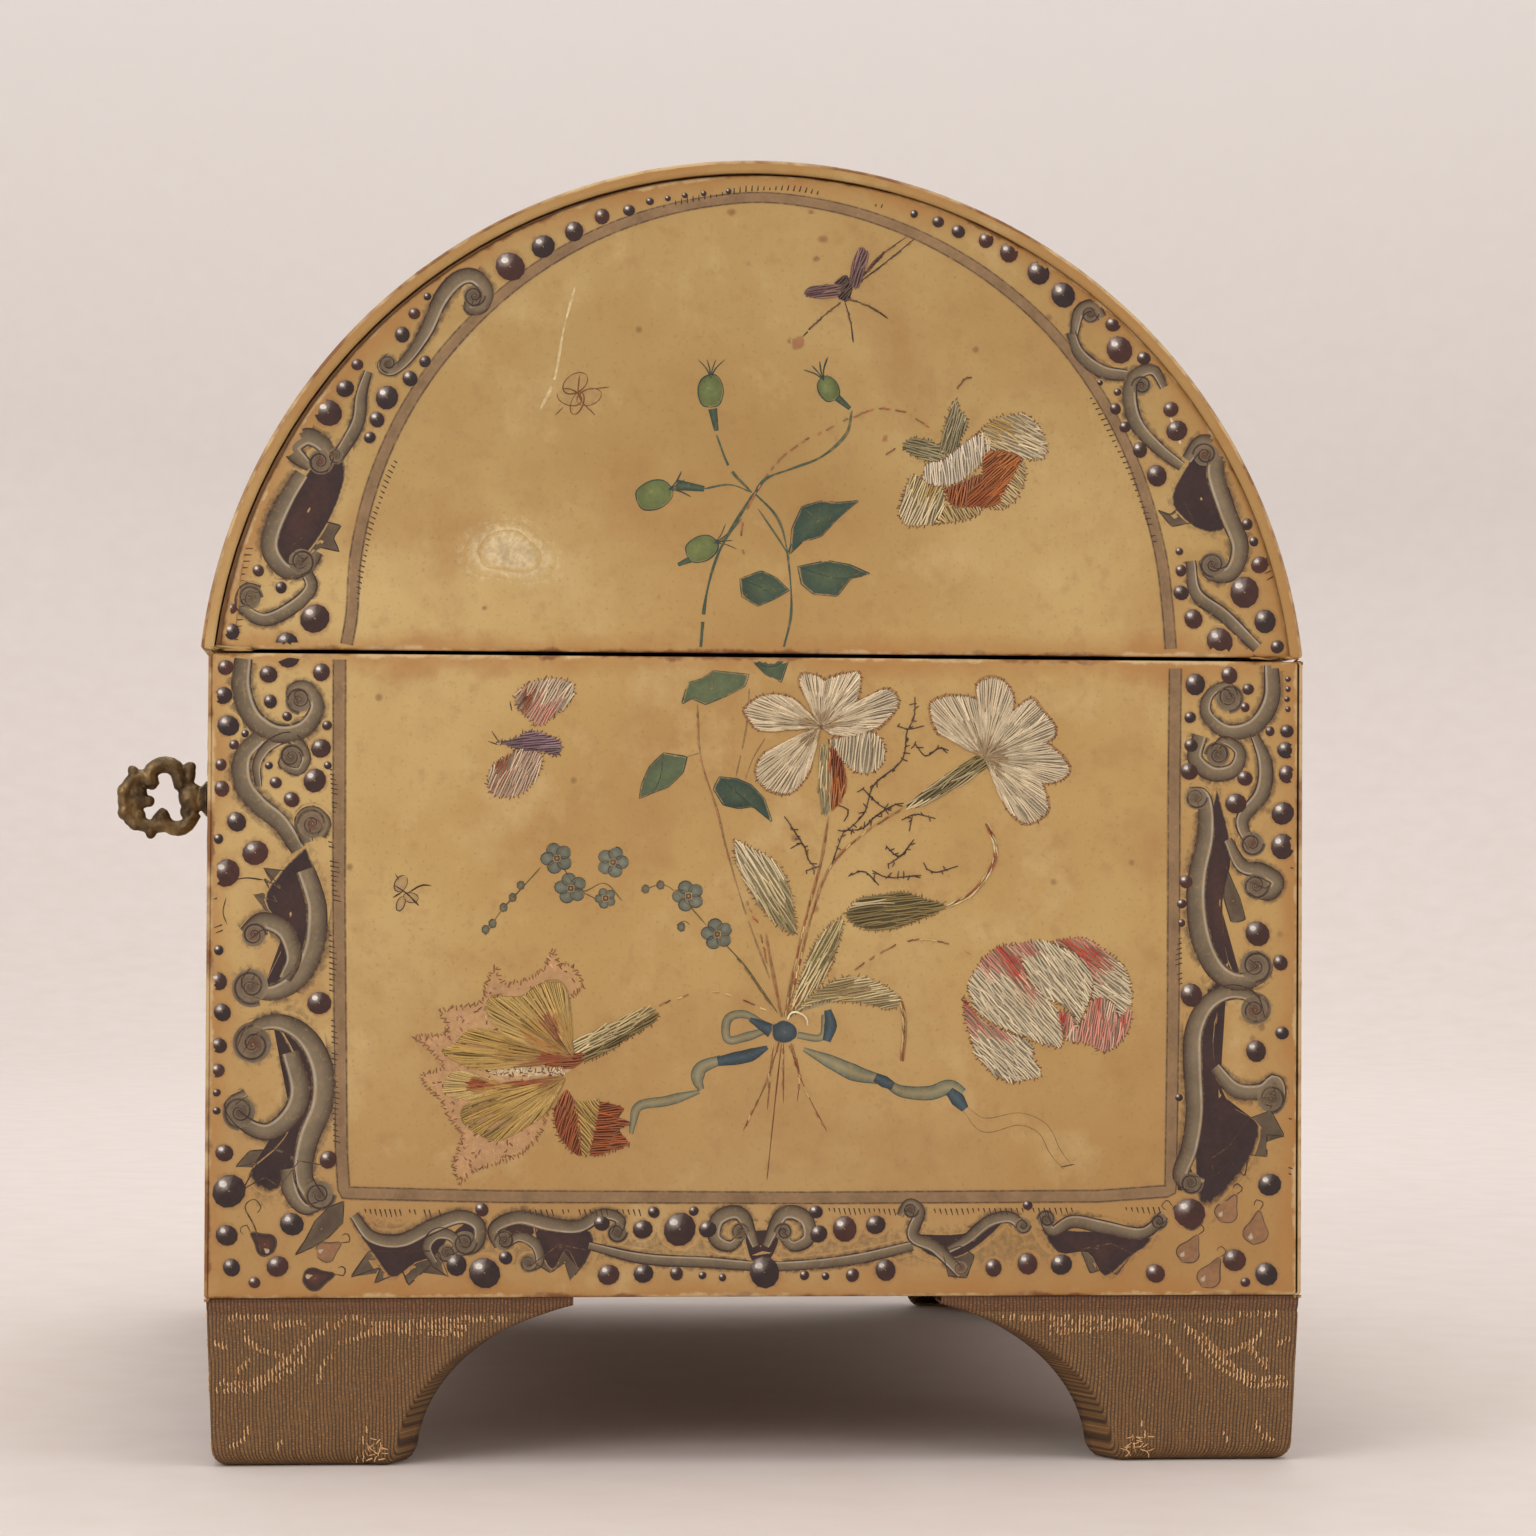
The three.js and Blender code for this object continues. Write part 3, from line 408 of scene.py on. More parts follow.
def make_hide_tone():
    """Node group: the colour, height and gloss of old parchment, browner towards its edges."""
    group, recipe = new_group("old_hide", "ShaderNodeTree", {"Spot": "Vector", "Edge": "Float"},
                              {"Colour": "Color", "Height": "Float", "Roughness": "Float"})
    given = recipe.add("NodeGroupInput")
    spot, edge = given.outputs["Spot"], given.outputs["Edge"]
    cloud = recipe.noise(spot, 11, 4, 0.55)
    patch = recipe.noise(spot, 42, 5, 0.62)
    grain = recipe.noise(spot, 260, 4, 0.6)
    pores = recipe.noise(spot, 1300, 2, 0.5)
    tone = recipe.ramp(cloud, (0.3, linear(171, 131, 75)), (0.5, linear(189, 155, 96)),
                       (0.68, linear(204, 176, 118)))
    # By height: browner towards the bottom of the case, and greyer and darker on the lid from its lower edge
    # up.
    low_down = recipe.add("ShaderNodeSeparateXYZ", {"Vector": spot}).outputs["Z"]
    height_with_cloud = recipe.math("ADD", low_down, recipe.spread(cloud, 0.3, 0.7, 0.02, -0.02))
    tone = recipe.tint(tone, height_with_cloud, 0.1, 0.045, 0.5, linear(158, 112, 62))
    tone = recipe.tint(tone, height_with_cloud, 0.155, 0.2, 0.34, linear(146, 118, 66))
    tone = recipe.tint(tone, patch, 0.52, 0.75, 0.55, linear(160, 116, 66))
    tone = recipe.tint(tone, patch, 0.44, 0.25, 0.5, linear(216, 192, 140))
    tone = recipe.tint(tone, grain, 0.55, 0.8, 0.45, linear(160, 120, 74))
    tone = recipe.tint(tone, pores, 0.6, 0.75, 0.3, linear(134, 96, 58))
    fleck = recipe.add("ShaderNodeTexVoronoi", {"Vector": spot, "Scale": 75}).outputs["Distance"]
    tone = recipe.tint(tone, fleck, 0.07, 0.03, 0.55, linear(104, 70, 44))
    ragged = recipe.math("ADD", edge, recipe.spread(patch, 0.3, 0.7, 2.2, -2.2))
    stain = recipe.spread(ragged, 4.5, 0.3, 0, 0.62)
    tone = recipe.mix(stain, tone, linear(172, 120, 63))
    rubbed = recipe.math("ADD", edge, recipe.spread(grain, 0.35, 0.65, 0.5, -0.5))
    worn_edge = recipe.mix(recipe.spread(patch, 0.45, 0.55), linear(118, 72, 38), linear(206, 180, 134))
    tone = recipe.tint(tone, rubbed, 0.75, 0.2, 0.8, worn_edge)
    height = recipe.math("ADD", recipe.math("MULTIPLY", patch, 0.6), recipe.math("MULTIPLY", grain, 0.4))
    height = recipe.math("ADD", height, recipe.math("MULTIPLY", pores, 0.08))
    recipe.add("NodeGroupOutput", {"Colour": tone, "Height": height,
                                   "Roughness": recipe.spread(patch, 0.3, 0.7, 0.42, 0.6)})
    return group


hide_tone = make_hide_tone()


def make_parchment():
    """Old hide, and over it the coats of paint that a piece's own points carry."""
    material, recipe, shader, spot = new_material("parchment")
    edge = recipe.add("ShaderNodeAttribute", attribute_name="edge").outputs["Fac"]
    hide = recipe.add("ShaderNodeGroup", {"Spot": spot, "Edge": edge}, node_tree=hide_tone)
    paint = recipe.add("ShaderNodeAttribute", attribute_name="paint")
    brush = recipe.noise(spot, 900, 3, 0.65)
    cloudy = recipe.noise(spot, 210, 2, 0.5)
    shade = recipe.spread(recipe.math("ADD", brush, cloudy), 0.7, 1.3, 0.72, 1.22)
    coat = recipe.mix(1.0, paint.outputs["Color"], shade, "MULTIPLY")
    ragged = recipe.math("ADD", paint.outputs["Alpha"], recipe.spread(brush, 0.3, 0.7, -0.22, 0.22))
    cover = recipe.math("MULTIPLY", recipe.spread(ragged, 0.08, 0.75),
                        recipe.spread(paint.outputs["Alpha"], 0, 0.1))
    recipe.wire(shader, {"Base Color": recipe.mix(cover, hide.outputs["Colour"], coat),
                         "Roughness": hide.outputs["Roughness"], "Specular IOR Level": 0.4,
                         "Normal": recipe.bump(hide.outputs["Height"], 0.35, 0.0006)})
    return material


parchment = make_parchment()


def lines_between(low, high, cell, extra=()):
    """Grid lines from low to high about a cell apart, crowded at both ends, with some lines added."""
    close = [0.12 * corner_round, 0.45 * corner_round, corner_round, 2.4 * corner_round]
    inner = np.linspace(low + close[-1], high - close[-1], max(2, int((high - low) / cell)))
    ends = [low + c for c in [0] + close[:-1]] + [high - c for c in [0] + close[:-1]]
    added = np.array(sorted(extra))
    kept = [x for x in inner if added.size == 0 or np.min(np.abs(added - x)) > cell / 3]
    return np.array(sorted(set([*kept, *ends, *extra])))


def rounding(distance):
    """How far a rounded corner has fallen away at a distance from the edge."""
    short = np.clip(corner_round - distance, 0, corner_round)
    return corner_round - np.sqrt(corner_round ** 2 - short ** 2)


def make_side_skin(name, face, node, across_extra=(), up_extra=(), hole=None, hem_gap=None):
    """One sheet of a case side: its face, the turn over the rim and the turn under the bottom."""
    across = lines_between(face.low_across, face.high_across, skin_cell, across_extra)
    up = lines_between(face.low_up, face.high_up, skin_cell, up_extra)
    under = [-under_turn, -under_turn * 0.6, -under_turn * 0.25, -2 * corner_round]
    over = [-2 * corner_round, -rim_turn * 0.4, -rim_turn * 0.7, -rim_turn]
    profile = [(face.low_up, depth) for depth in under]
    profile += [(v, -rounding(min(v - face.low_up, face.high_up - v))) for v in up]
    profile += [(face.high_up, depth) for depth in over]
    rows = np.array(profile)
    a = np.broadcast_to(across, (len(rows), len(across)))
    v = np.broadcast_to(rows[:, :1], a.shape)
    side = np.minimum(a - face.low_across, face.high_across - a)
    hem = np.minimum(side, -rows[:, 1:])
    flat = np.zeros(len(rows), bool)
    flat[len(under):len(rows) - len(over)] = True
    lift = np.where(flat[:, None], rows[:, 1:], -hem) - np.where(flat[:, None], rounding(side), 0)
    edge = np.where(flat[:, None], face.edge(a, v), 0.4 + 0.15 * np.abs(rows[:, 1:]))

    def keep(row, column):
        spot = ((across[column] + across[column + 1]) / 2, (rows[row, 0] + rows[row + 1, 0]) / 2)
        on_hem = not (flat[row] and flat[row + 1])
        if hole and flat[row] and hole[0] < spot[0] < hole[1] and hole[2] < spot[1] < hole[3]:
            return False
        beside_rim = on_hem or spot[1] > face.high_up - gap_depth
        if hem_gap and beside_rim and spot[1] > face.high_up - gap_hem:
            return not any(low < spot[0] < high for low, high in hem_gap)
        return True
    points = face.place(a, v, lift)
    skin = add_piece(name, points, grid_faces(*a.shape, keep), parchment, face.body,
                     {"edge": edge.ravel(), "paint": bare(points)})
    thicken(skin, skin_thickness * MM)
    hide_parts(node)


keyhole_half = 3.1
keyhole_bottom, keyhole_top = 119.9, 133.1
hinge_place, hinge_half = 90, 15.3
hinge_gap = [(sign * hinge_place - hinge_half, sign * hinge_place + hinge_half) for sign in (-1, 1)]
gap_line, gap_depth, gap_hem = 1.2, 1.3, 2
make_side_skin("skin_right_end", right_end, "right_end_parchment")
make_side_skin("skin_left_end", left_end, "left_end_parchment")
make_side_skin("skin_front", front_side, "front_parchment", (-keyhole_half, keyhole_half),
               (keyhole_bottom, keyhole_top), (-keyhole_half, keyhole_half, keyhole_bottom, keyhole_top))
make_side_skin("skin_back", back_side, "back_parchment", [x for pair in hinge_gap for x in pair],
               (rim_height - gap_line,), None, hinge_gap)


def make_dome_skin():
    """The lid's sheet: over the arch, round its two long edges and down over the ends."""
    across = lines_between(-half_length, half_length, skin_cell * 1.5,
                           [x for pair in hinge_gap for x in pair])
    rim = rim_width / MM
    out = [0.35 * rim, 0.7 * rim, rim]
    columns = [(-half_length, -d) for d in reversed(out)]
    columns += [(x, -rounding(half_length - abs(x))) for x in across]
    columns += [(half_length, -d) for d in out]
    columns = np.array(columns)
    up = lines_between(0, dome_length, dome_cell, (dome_length - gap_line,))
    hem = [-9.0, -6.0, -3.0, -1.4]
    hem_end = case_end - 0.3 * MM
    rows = [(0.0, d) for d in hem] + [(v, 0.0) for v in up] + [(dome_length, d) for d in reversed(hem)]
    rows = np.array(rows)
    a = np.broadcast_to(columns[:, 0], (len(rows), len(columns)))
    v = np.broadcast_to(rows[:, :1], a.shape)
    near = np.minimum(v, dome_length - v)
    on_rim = np.zeros(len(columns), bool)
    on_rim[:len(out)] = on_rim[-len(out):] = True
    lift = columns[:, 1] - rounding(near) * ~on_rim
    edge = np.where(on_rim, 1.0 + 0.8 * np.abs(columns[:, 1]), dome.edge(a, v))
    points = dome.place(a, v, lift)
    for row, (place, depth) in enumerate(rows):
        if depth < 0:
            inward = 1 if place == 0 else -1
            points[row, :, 1] += inward * (-depth) * MM
            points[row, :, 2] = lid_skin_low.z
            points[row, :, 0] = np.clip(points[row, :, 0], -hem_end, hem_end)
            edge[row] = 1.0
    hinge_side = dome_length - gap_depth

    def keep(row, column):
        spot = (columns[column, 0] + columns[column + 1, 0]) / 2
        high = (rows[row, 0] + rows[row + 1, 0]) / 2 > hinge_side
        return not (high and any(low < spot < top for low, top in hinge_gap))
    skin = add_piece("skin_dome", points, grid_faces(*a.shape, keep), parchment, "lid",
                     {"edge": edge.ravel(), "paint": bare(points)})
    thicken(skin, skin_thickness * MM)
    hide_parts("dome_parchment")


make_dome_skin()


def fan_faces(rings, count):
    """Faces between rings of points, and from the last ring to one point in its middle."""
    faces = []
    for a in range(0, (rings - 1) * count, count):
        for k in range(count):
            n = (k + 1) % count
            faces.append((a + k, a + n, a + count + n, a + count + k))
    last = (rings - 1) * count
    return faces + [(last + k, last + (k + 1) % count, last + count) for k in range(count)]


def make_arch_skin(name, face, node):
    """The inset panel of a lid end, a half-round sheet pasted on its board."""
    rings, sides, reach, turn_down = 34, 120, 60, 2.0
    heart_height, heart_edge = 38, 40.0
    low, centre, radius = lid_skin_low.z / MM, arch_z / MM, panel_radius / MM
    start = math.asin((low - centre) / radius)
    angles = [start + (math.pi - 2 * start) * k / sides for k in range(sides + 1)]
    outline = [(radius * math.cos(angle), centre + radius * math.sin(angle)) for angle in angles]
    base = np.linspace(outline[-1][0], outline[0][0], 2 * rings + 1)[1:-1]
    outline = np.array(outline + [(x, low) for x in base])
    heart = np.array([0, low + heart_height])
    shares = np.r_[1 - np.array([0, 0.12, 0.45, 1.0, 2.4]) * corner_round / reach,
                   np.linspace(0.955, 0.04, rings)]
    points = [face.place(outline[:, 0], outline[:, 1], -turn_down)]
    edges = [np.full(len(outline), 0.1)]
    for share in shares:
        across, up = (heart + share * (outline - heart)).T
        points.append(face.place(across, up, -rounding((1 - share) * reach)))
        edges.append(face.edge(across, up))
    points = np.concatenate(points + [face.place(heart[0:1], heart[1:2], 0)])
    edges = np.concatenate(edges + [[heart_edge]])
    skin = add_piece(name, points, fan_faces(len(shares) + 1, len(outline)), parchment, "lid",
                     {"edge": edges, "paint": bare(points)})
    thicken(skin, panel_thickness * MM)
    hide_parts(node)


make_arch_skin("skin_lid_right_end", right_arch, "lid_right_end_parchment")
make_arch_skin("skin_lid_left_end", left_arch, "lid_left_end_parchment")

# Painted border
# Size and water colour on the parchment: a grey band round each field, and outside it grey scrollwork
# with dark hollows, ink outlines, pen ticks and round jewels shaded like beads. The places of the
# strokes are pixels of the photograph, and each side repeats the painter's stock of scrolls.
end_left_pixel, end_right_pixel = 205.5, 1303.0
left_scale, right_scale = 5.194, 5.089
rim_left_pixel, rim_right_pixel = 653.0, 664.7
pixel_size = 1 / 5.14
clear_edge, pen_step = 0.7, 0.7
scroll_swell = 1.22
hollow_swell = 1.5
border_pull, pull_from, pull_over = 3.0, 74, 14
hand = np.random.default_rng(11)

ink = linear(62, 42, 32)
umber = linear(80, 62, 48)
scroll_grey = linear(98, 84, 66)
scroll_pale = linear(124, 110, 88)
scroll_light = linear(172, 166, 154)
hollow_dark = linear(52, 36, 36)
hollow_red = linear(98, 58, 42)
band_grey = linear(140, 112, 80)
halo_brown = linear(150, 108, 66)
bead_light = linear(226, 220, 214)
strip_wash = [(-1.0, scroll_grey, 0.0), (-0.55, scroll_grey, 0.3), (0.5, umber, 0.26), (1.0, umber, 0.0)]


def photo_spot(points):
    """Places on the end that the photograph shows, from pixels to millimetres across and up."""
    x, y = np.asarray(points, float)[..., :2].T
    share = (x - end_left_pixel) / (end_right_pixel - end_left_pixel)
    near = share * right_scale
    across = near / ((1 - share) * left_scale + near)
    scale = left_scale + share * (right_scale - left_scale)
    rim = rim_left_pixel + share * (rim_right_pixel - rim_left_pixel)
    return np.stack([case_depth * (across - 0.5), rim_height - (y - rim) / scale], -1)


def lid_spot(points):
    """Places on the lid's end, drawn in where the real arch is fuller than a half round."""
    spots = photo_spot(points)
    from_centre = spots - (0, arch_z / MM)
    reach = np.maximum(np.hypot(*from_centre.T), 1)
    turn = np.arctan2(from_centre[:, 1], from_centre[:, 0])
    fuller = np.clip(np.sin(2 * turn), 0, 1) * (from_centre[:, 0] > 0)
    pull = border_pull * fuller * np.clip((reach - pull_from) / pull_over, 0, 1)
    return spots - from_centre * (pull / reach)[:, None]


def smooth_path(points, steps):
    """A smooth curve through points, as many places as asked between each two."""
    points = np.asarray(points, float)
    ends = np.concatenate([[2 * points[0] - points[1]], points, [2 * points[-1] - points[-2]]])
    t = np.arange(steps)[:, None] / steps
    parts = []
    for a, b, c, d in zip(ends, ends[1:], ends[2:], ends[3:]):
        parts.append(0.5 * (2 * b + (c - a) * t + (2 * a - 5 * b + 4 * c - d) * t ** 2
                            + (3 * b - a - 3 * c + d) * t ** 3))
    return np.concatenate(parts + [points[-1:]])


def walk(points, step, smooth=True):
    """Even steps along a path: the places, the directions to its left and the share walked."""
    line = smooth_path(points, 8) if smooth and len(points) > 2 else np.asarray(points, float)
    lengths = np.r_[0, np.cumsum(np.linalg.norm(np.diff(line, axis=0), axis=1))]
    count = max(2, int(round(lengths[-1] / step)) + 1)
    at = np.linspace(0, lengths[-1], count)
    places = np.stack([np.interp(at, lengths, line[:, k]) for k in range(line.shape[1])], 1)
    ahead = np.gradient(places, axis=0)
    ahead /= np.maximum(np.linalg.norm(ahead, axis=1, keepdims=True), 1e-9)
    return places, np.stack([-ahead[:, 1], ahead[:, 0]], 1), at / max(lengths[-1], 1e-9)


def bend(points):
    """Which side a path curls to: 1 to its left, -1 to its right."""
    steps = np.diff(np.asarray(points, float), axis=0)
    turn = np.sum(steps[:-1, 0] * steps[1:, 1] - steps[:-1, 1] * steps[1:, 0])
    return 1 if turn >= 0 else -1


class Painter:
    """Coats of paint on one side of the casket. Its map takes the painter's places to that side."""

    def __init__(self, face, to_face, fine=1.0):
        self.face, self.fine = face, fine
        self.onto(to_face)
        self.spots, self.lifts, self.colours, self.faces, self.count = [], [], [], [], 0

    def onto(self, to_face, scale=1.0):
        """The same painter, working from another map."""
        self.to_face, self.scale = to_face, scale * pixel_size

    def coat(self, spots, lift, colours, ring=False):
        """A grid of spots with its colours and covers, closed into a ring or left open."""
        rows, columns = spots.shape[:2]
        index = np.arange(rows * columns).reshape(rows, columns) + self.count
        across = np.concatenate([index, index[:, :1]], 1) if ring else index
        quads = np.stack([across[:-1, :-1], across[:-1, 1:], across[1:, 1:], across[1:, :-1]], -1)
        quads = quads.reshape(-1, 4)
        flat = spots.reshape(-1, 2)
        corner = flat[quads - self.count]
        one, other = corner[:, 2] - corner[:, 0], corner[:, 3] - corner[:, 1]
        turned = one[:, 0] * other[:, 1] - one[:, 1] * other[:, 0] < 0
        quads[turned] = quads[turned][:, ::-1]
        self.faces.append(quads)
        self.spots.append(flat)
        self.lifts.append(np.full(len(flat), lift) + np.linspace(0, 0.006, len(flat)))
        self.colours.append(np.broadcast_to(colours, (rows, columns, 4)).reshape(-1, 4))
        self.count += len(flat)

    def ribbon(self, path, widths, lanes, lift, step=0.6, smooth=True):
        """A brush stroke. Its lanes are (share across, colour, cover) from its left side to its right."""
        places, left, share = walk(self.to_face(path), step / self.fine, smooth)
        width = np.interp(share, np.linspace(0, 1, len(widths)), widths) * self.scale / 2
        offsets = np.array([lane[0] for lane in lanes])
        spots = places[:, None] + left[:, None] * offsets[None, :, None] * width[:, None, None]
        self.coat(spots, lift, np.array([[*colour[:3], cover] for _, colour, cover in lanes]))

    def line(self, path, width=1.5, colour=ink, cover=0.9, lift=0.06, gap=0.16, smooth=True):
        """A pen line that swells, thins and skips."""
        places, left, share = walk(self.to_face(path), pen_step / self.fine, smooth)
        swell = 0.75 + 0.3 * np.sin(share * len(share) / 3.1 + places[0, 0]) * np.sin(share * len(share) / 7)
        swell *= np.clip(np.minimum(share, 1 - share) * len(share) / 2 + 0.35, 0, 1)
        start = 0
        while start < len(places) - 1:
            run = int(hand.integers(8, 30))
            stop = min(len(places), start + run)
            half = (swell[start:stop, None] * width * self.scale / 2)[..., None]
            offsets = np.array([1, -1])[None, :, None]
            spots = places[start:stop, None] + left[start:stop, None] * offsets * half
            if stop - start > 1:
                self.coat(spots, lift, (*colour[:3], cover * hand.uniform(0.7, 1)))
            start = stop - 1 + (2 if hand.random() < gap * 2 else 0)

    def patch(self, outline, centre, inner, outer, cover, lift, feather=0.85, smooth=True, rings=4):
        """A filled shape about its centre, fading out towards its outline."""
        edge = self.to_face(outline)
        edge = np.concatenate([edge, edge[:1]])
        if smooth:
            edge = smooth_path(edge, max(2, round(4 * self.fine)))[:-1]
        else:
            edge = walk(edge, 0.8, False)[0][:-1]
        heart = self.to_face([centre])[0]
        shares = np.r_[np.linspace(0.04, feather, rings), 1.0]
        spots = heart + shares[:, None, None] * (edge - heart)[None]
        blend = np.clip(shares / feather, 0, 1)[:, None]
        colours = np.array(inner[:3]) * (1 - blend) + np.array(outer[:3]) * blend
        covers = np.where(shares < 1, cover, 0)[:, None]
        self.coat(spots, lift, np.concatenate([colours, covers], 1)[:, None], ring=True)

    def bead(self, x, y, radius, tint=0.0):
        """A jewel, dark below and with a white light at its upper left, in a soft brown shade."""
        middle_spot = self.to_face([(x, y)])[0]
        radius = radius * self.scale
        sides = round(12 * self.fine)
        turn = np.linspace(0, 2 * math.pi, sides, endpoint=False) + hand.uniform(0, 0.4)
        wobble = 1 + 0.05 * np.sin(2 * turn + hand.uniform(0, 6))
        circle = np.stack([np.cos(turn), np.sin(turn)], -1)
        shares = np.array([0.05, 0.4, 0.7, 0.97])
        unit = shares[:, None, None] * circle
        lamp = unit @ np.array([-0.55, 0.72])
        dark = np.array(linear(42 + 30 * tint, 30 + 8 * tint, 30)[:3])
        soft = np.array(linear(98, 74, 66)[:3])
        glow = np.array(linear(214, 206, 196)[:3])
        rise = np.clip((lamp - 0.1) / 0.75, 0, 1)[..., None]
        spark = np.exp(-(np.linalg.norm(unit - np.array([-0.38, 0.46]), axis=-1) / 0.29) ** 2)[..., None]
        colour = dark * (1 - 0.55 * rise) + soft * 0.55 * rise
        colour = colour * (1 - spark) + glow * spark
        colours = np.concatenate([colour, np.full((*colour.shape[:2], 1), 0.97)], -1)
        self.coat(middle_spot + unit * radius * wobble[None, :, None], 0.075, colours, ring=True)
        fleck = np.array([0.02, 0.24])[:, None, None] * (circle * (1, 0.8)) + (-0.36, 0.42)
        halo = np.array([0.9, 1.32])[:, None, None] * circle
        for shape, lift, tone, covers in ((fleck, 0.08, bead_light, (0.95, 0.6)),
                                          (halo, 0.018, halo_brown, (0.55, 0.0))):
            colours = np.array([[[*tone[:3], cover]] for cover in covers])
            self.coat(middle_spot + shape * radius, lift, colours, ring=True)

    def scroll(self, path, widths):
        """A grey scroll, lit along its inner side, with a pen line down each edge."""
        widths = [w * scroll_swell for w in widths]
        side = bend(self.to_face(path))
        wash = np.array(scroll_pale) * (1 - 0.25 * hand.random())
        lanes = [(-1.0, umber, 0.85), (-0.88, umber, 0.85), (-0.6, scroll_grey, 0.8), (0.0, wash, 0.74),
                 (0.5, scroll_pale, 0.7), (0.72, scroll_light, 0.5), (0.88, scroll_grey, 0.75),
                 (1.0, umber, 0.8)]
        lanes = lanes if side > 0 else [(-share, colour, cover) for share, colour, cover in reversed(lanes)]
        shade = [(-1.0, umber, 0.0), (-0.62, umber, 0.5), (0.62, umber, 0.5), (1.0, umber, 0.0)]
        self.ribbon(path, [w * 1.9 for w in widths], shade, 0.006, 1.2)
        self.ribbon(path, widths, lanes[::-1], 0.034)
        places, left, share = walk(self.to_face(path), 0.8)
        half = np.interp(share, np.linspace(0, 1, len(widths)), widths) * self.scale / 2
        for edge in (-0.98, 0.98):
            self.pen(places + left * (half * edge)[:, None])

    def curl(self, x, y, radius, start=0, sense=1, tone=None):
        """The rolled end of a scroll: a grey disc with a darker heart and a spiral pen line."""
        turn = np.linspace(0, 2 * math.pi, 13)[:-1]
        disc = [(x + radius * math.cos(a), y + radius * math.sin(a)) for a in turn]
        wide = [(x + 1.35 * radius * math.cos(a), y + 1.35 * radius * math.sin(a)) for a in turn]
        self.patch(wide, (x, y), umber, umber, 0.45, 0.007, 0.6, False, 2)
        self.patch(disc, (x, y), tone or umber, scroll_pale, 0.88, 0.04, 0.98, False, 3)
        angles = math.radians(start) + sense * np.linspace(0, 3.3 * math.pi, 22)
        reach = radius * np.linspace(1.02, 0.2, 22)
        spiral = np.stack([x + reach * np.cos(angles), y + reach * np.sin(angles)], 1)
        self.ribbon(spiral, (radius * 0.4, radius * 0.2), [(-1.0, scroll_pale, 0.85), (0.0, umber, 0.9),
                                                          (1.0, scroll_pale, 0.85)], 0.046)
        self.line(spiral, 1.8, lift=0.062)

    def pen(self, places):
        """A pen line through places that are already on this side."""
        kept = self.to_face
        self.to_face = np.asarray
        self.line(places, 1.6, smooth=False)
        self.to_face = kept

    def ticks(self, path, size, pitch, lean=0.0, side=1, cover=0.85):
        """A row of short pen ticks along a path, growing and shrinking in groups."""
        places, left, share = walk(self.to_face(path), pitch * self.scale)
        for k, (place, out) in enumerate(zip(places, left)):
            if (k // 9) % 4 == 3 or hand.random() < 0.06:
                continue
            length = size * self.scale * (0.45 + 0.55 * abs(math.sin(k * math.pi / 9)))
            ahead = np.array([out[1], -out[0]])
            tip = place + side * out * length + ahead * lean * length
            half = ahead * 0.75 * self.scale
            spots = np.array([[place - half, place + half], [tip - half * 0.5, tip + half * 0.5]])
            self.coat(spots, 0.05, (*ink[:3], cover))

    def finish(self, name):
        """The coats as one thin film on this side of the casket."""
        spots, lifts = np.concatenate(self.spots), np.concatenate(self.lifts)
        points = self.face.place(spots[:, 0], spots[:, 1], lifts)
        edge = self.face.edge(spots[:, 0], spots[:, 1])
        faces = np.concatenate(self.faces)
        faces = faces[np.min(edge[faces], axis=1) > clear_edge]
        add_piece(name, points, faces.tolist(), parchment, self.face.body,
                  {"paint": np.concatenate(self.colours), "edge": edge})


left_beads = [
    (223, 668, 8), (221, 696, 9), (226, 726, 11), (232, 745, 5), (243, 734, 4), (219, 765, 6), (220, 789, 8),
    (235, 822, 10), (217, 839, 5), (254, 853, 13), (225, 873, 14), (266, 675, 9), (268, 702, 7),
    (285, 717, 5), (286, 658, 11), (319, 673, 9), (325, 726, 5), (319, 749, 10), (326, 766, 4),
    (313, 781, 12), (290, 800, 8), (274, 783, 6), (267, 766, 4), (218, 950, 5), (218, 981, 9), (222, 1012, 9),
    (219, 1045, 8), (218, 1070, 7), (217, 1092, 4), (217, 1110, 4), (225, 1152, 9), (230, 1190, 17),
    (228, 1234, 11), (233, 1266, 9), (256, 1281, 6), (319, 1003, 12), (329, 1159, 9), (279, 1265, 11),
    (293, 1223, 12)]
bottom_beads = [
    (483, 1209, 7), (458, 1264, 11), (486, 1272, 16), (507, 1257, 7), (603, 1223, 8), (644, 1229, 10),
    (681, 1229, 17), (709, 1229, 9), (695, 1211, 5), (655, 1212, 6), (610, 1274, 11), (645, 1273, 10),
    (678, 1273, 7), (704, 1275, 4), (724, 1277, 4), (766, 1272, 16), (806, 1275, 5), (827, 1276, 4),
    (854, 1275, 7), (887, 1270, 11), (817, 1212, 7), (820, 1234, 9), (846, 1229, 13), (877, 1225, 10),
    (995, 1268, 9), (1029, 1264, 11), (1063, 1265, 11), (1029, 1206, 5)]
right_beads = [
    (1157, 1274, 10), (1191, 1214, 16), (1236, 1261, 12), (1268, 1275, 12), (1271, 1186, 12), (1247, 1283, 5),
    (1195, 687, 11), (1229, 678, 9), (1248, 692, 6), (1245, 710, 5), (1190, 720, 6), (1191, 748, 7),
    (1189, 774, 9), (1287, 734, 7), (1270, 734, 5), (1286, 753, 9), (1287, 777, 9), (1283, 816, 12),
    (1283, 849, 13), (1245, 781, 8), (1236, 806, 11), (1186, 884, 7), (1182, 906, 5), (1182, 925, 4),
    (1258, 936, 13), (1281, 965, 8), (1192, 997, 12), (1257, 1053, 11), (1283, 1035, 7), (1180, 1099, 4),
    (1288, 682, 3), (1288, 692, 3), (1287, 702, 3), (1288, 712, 3)]
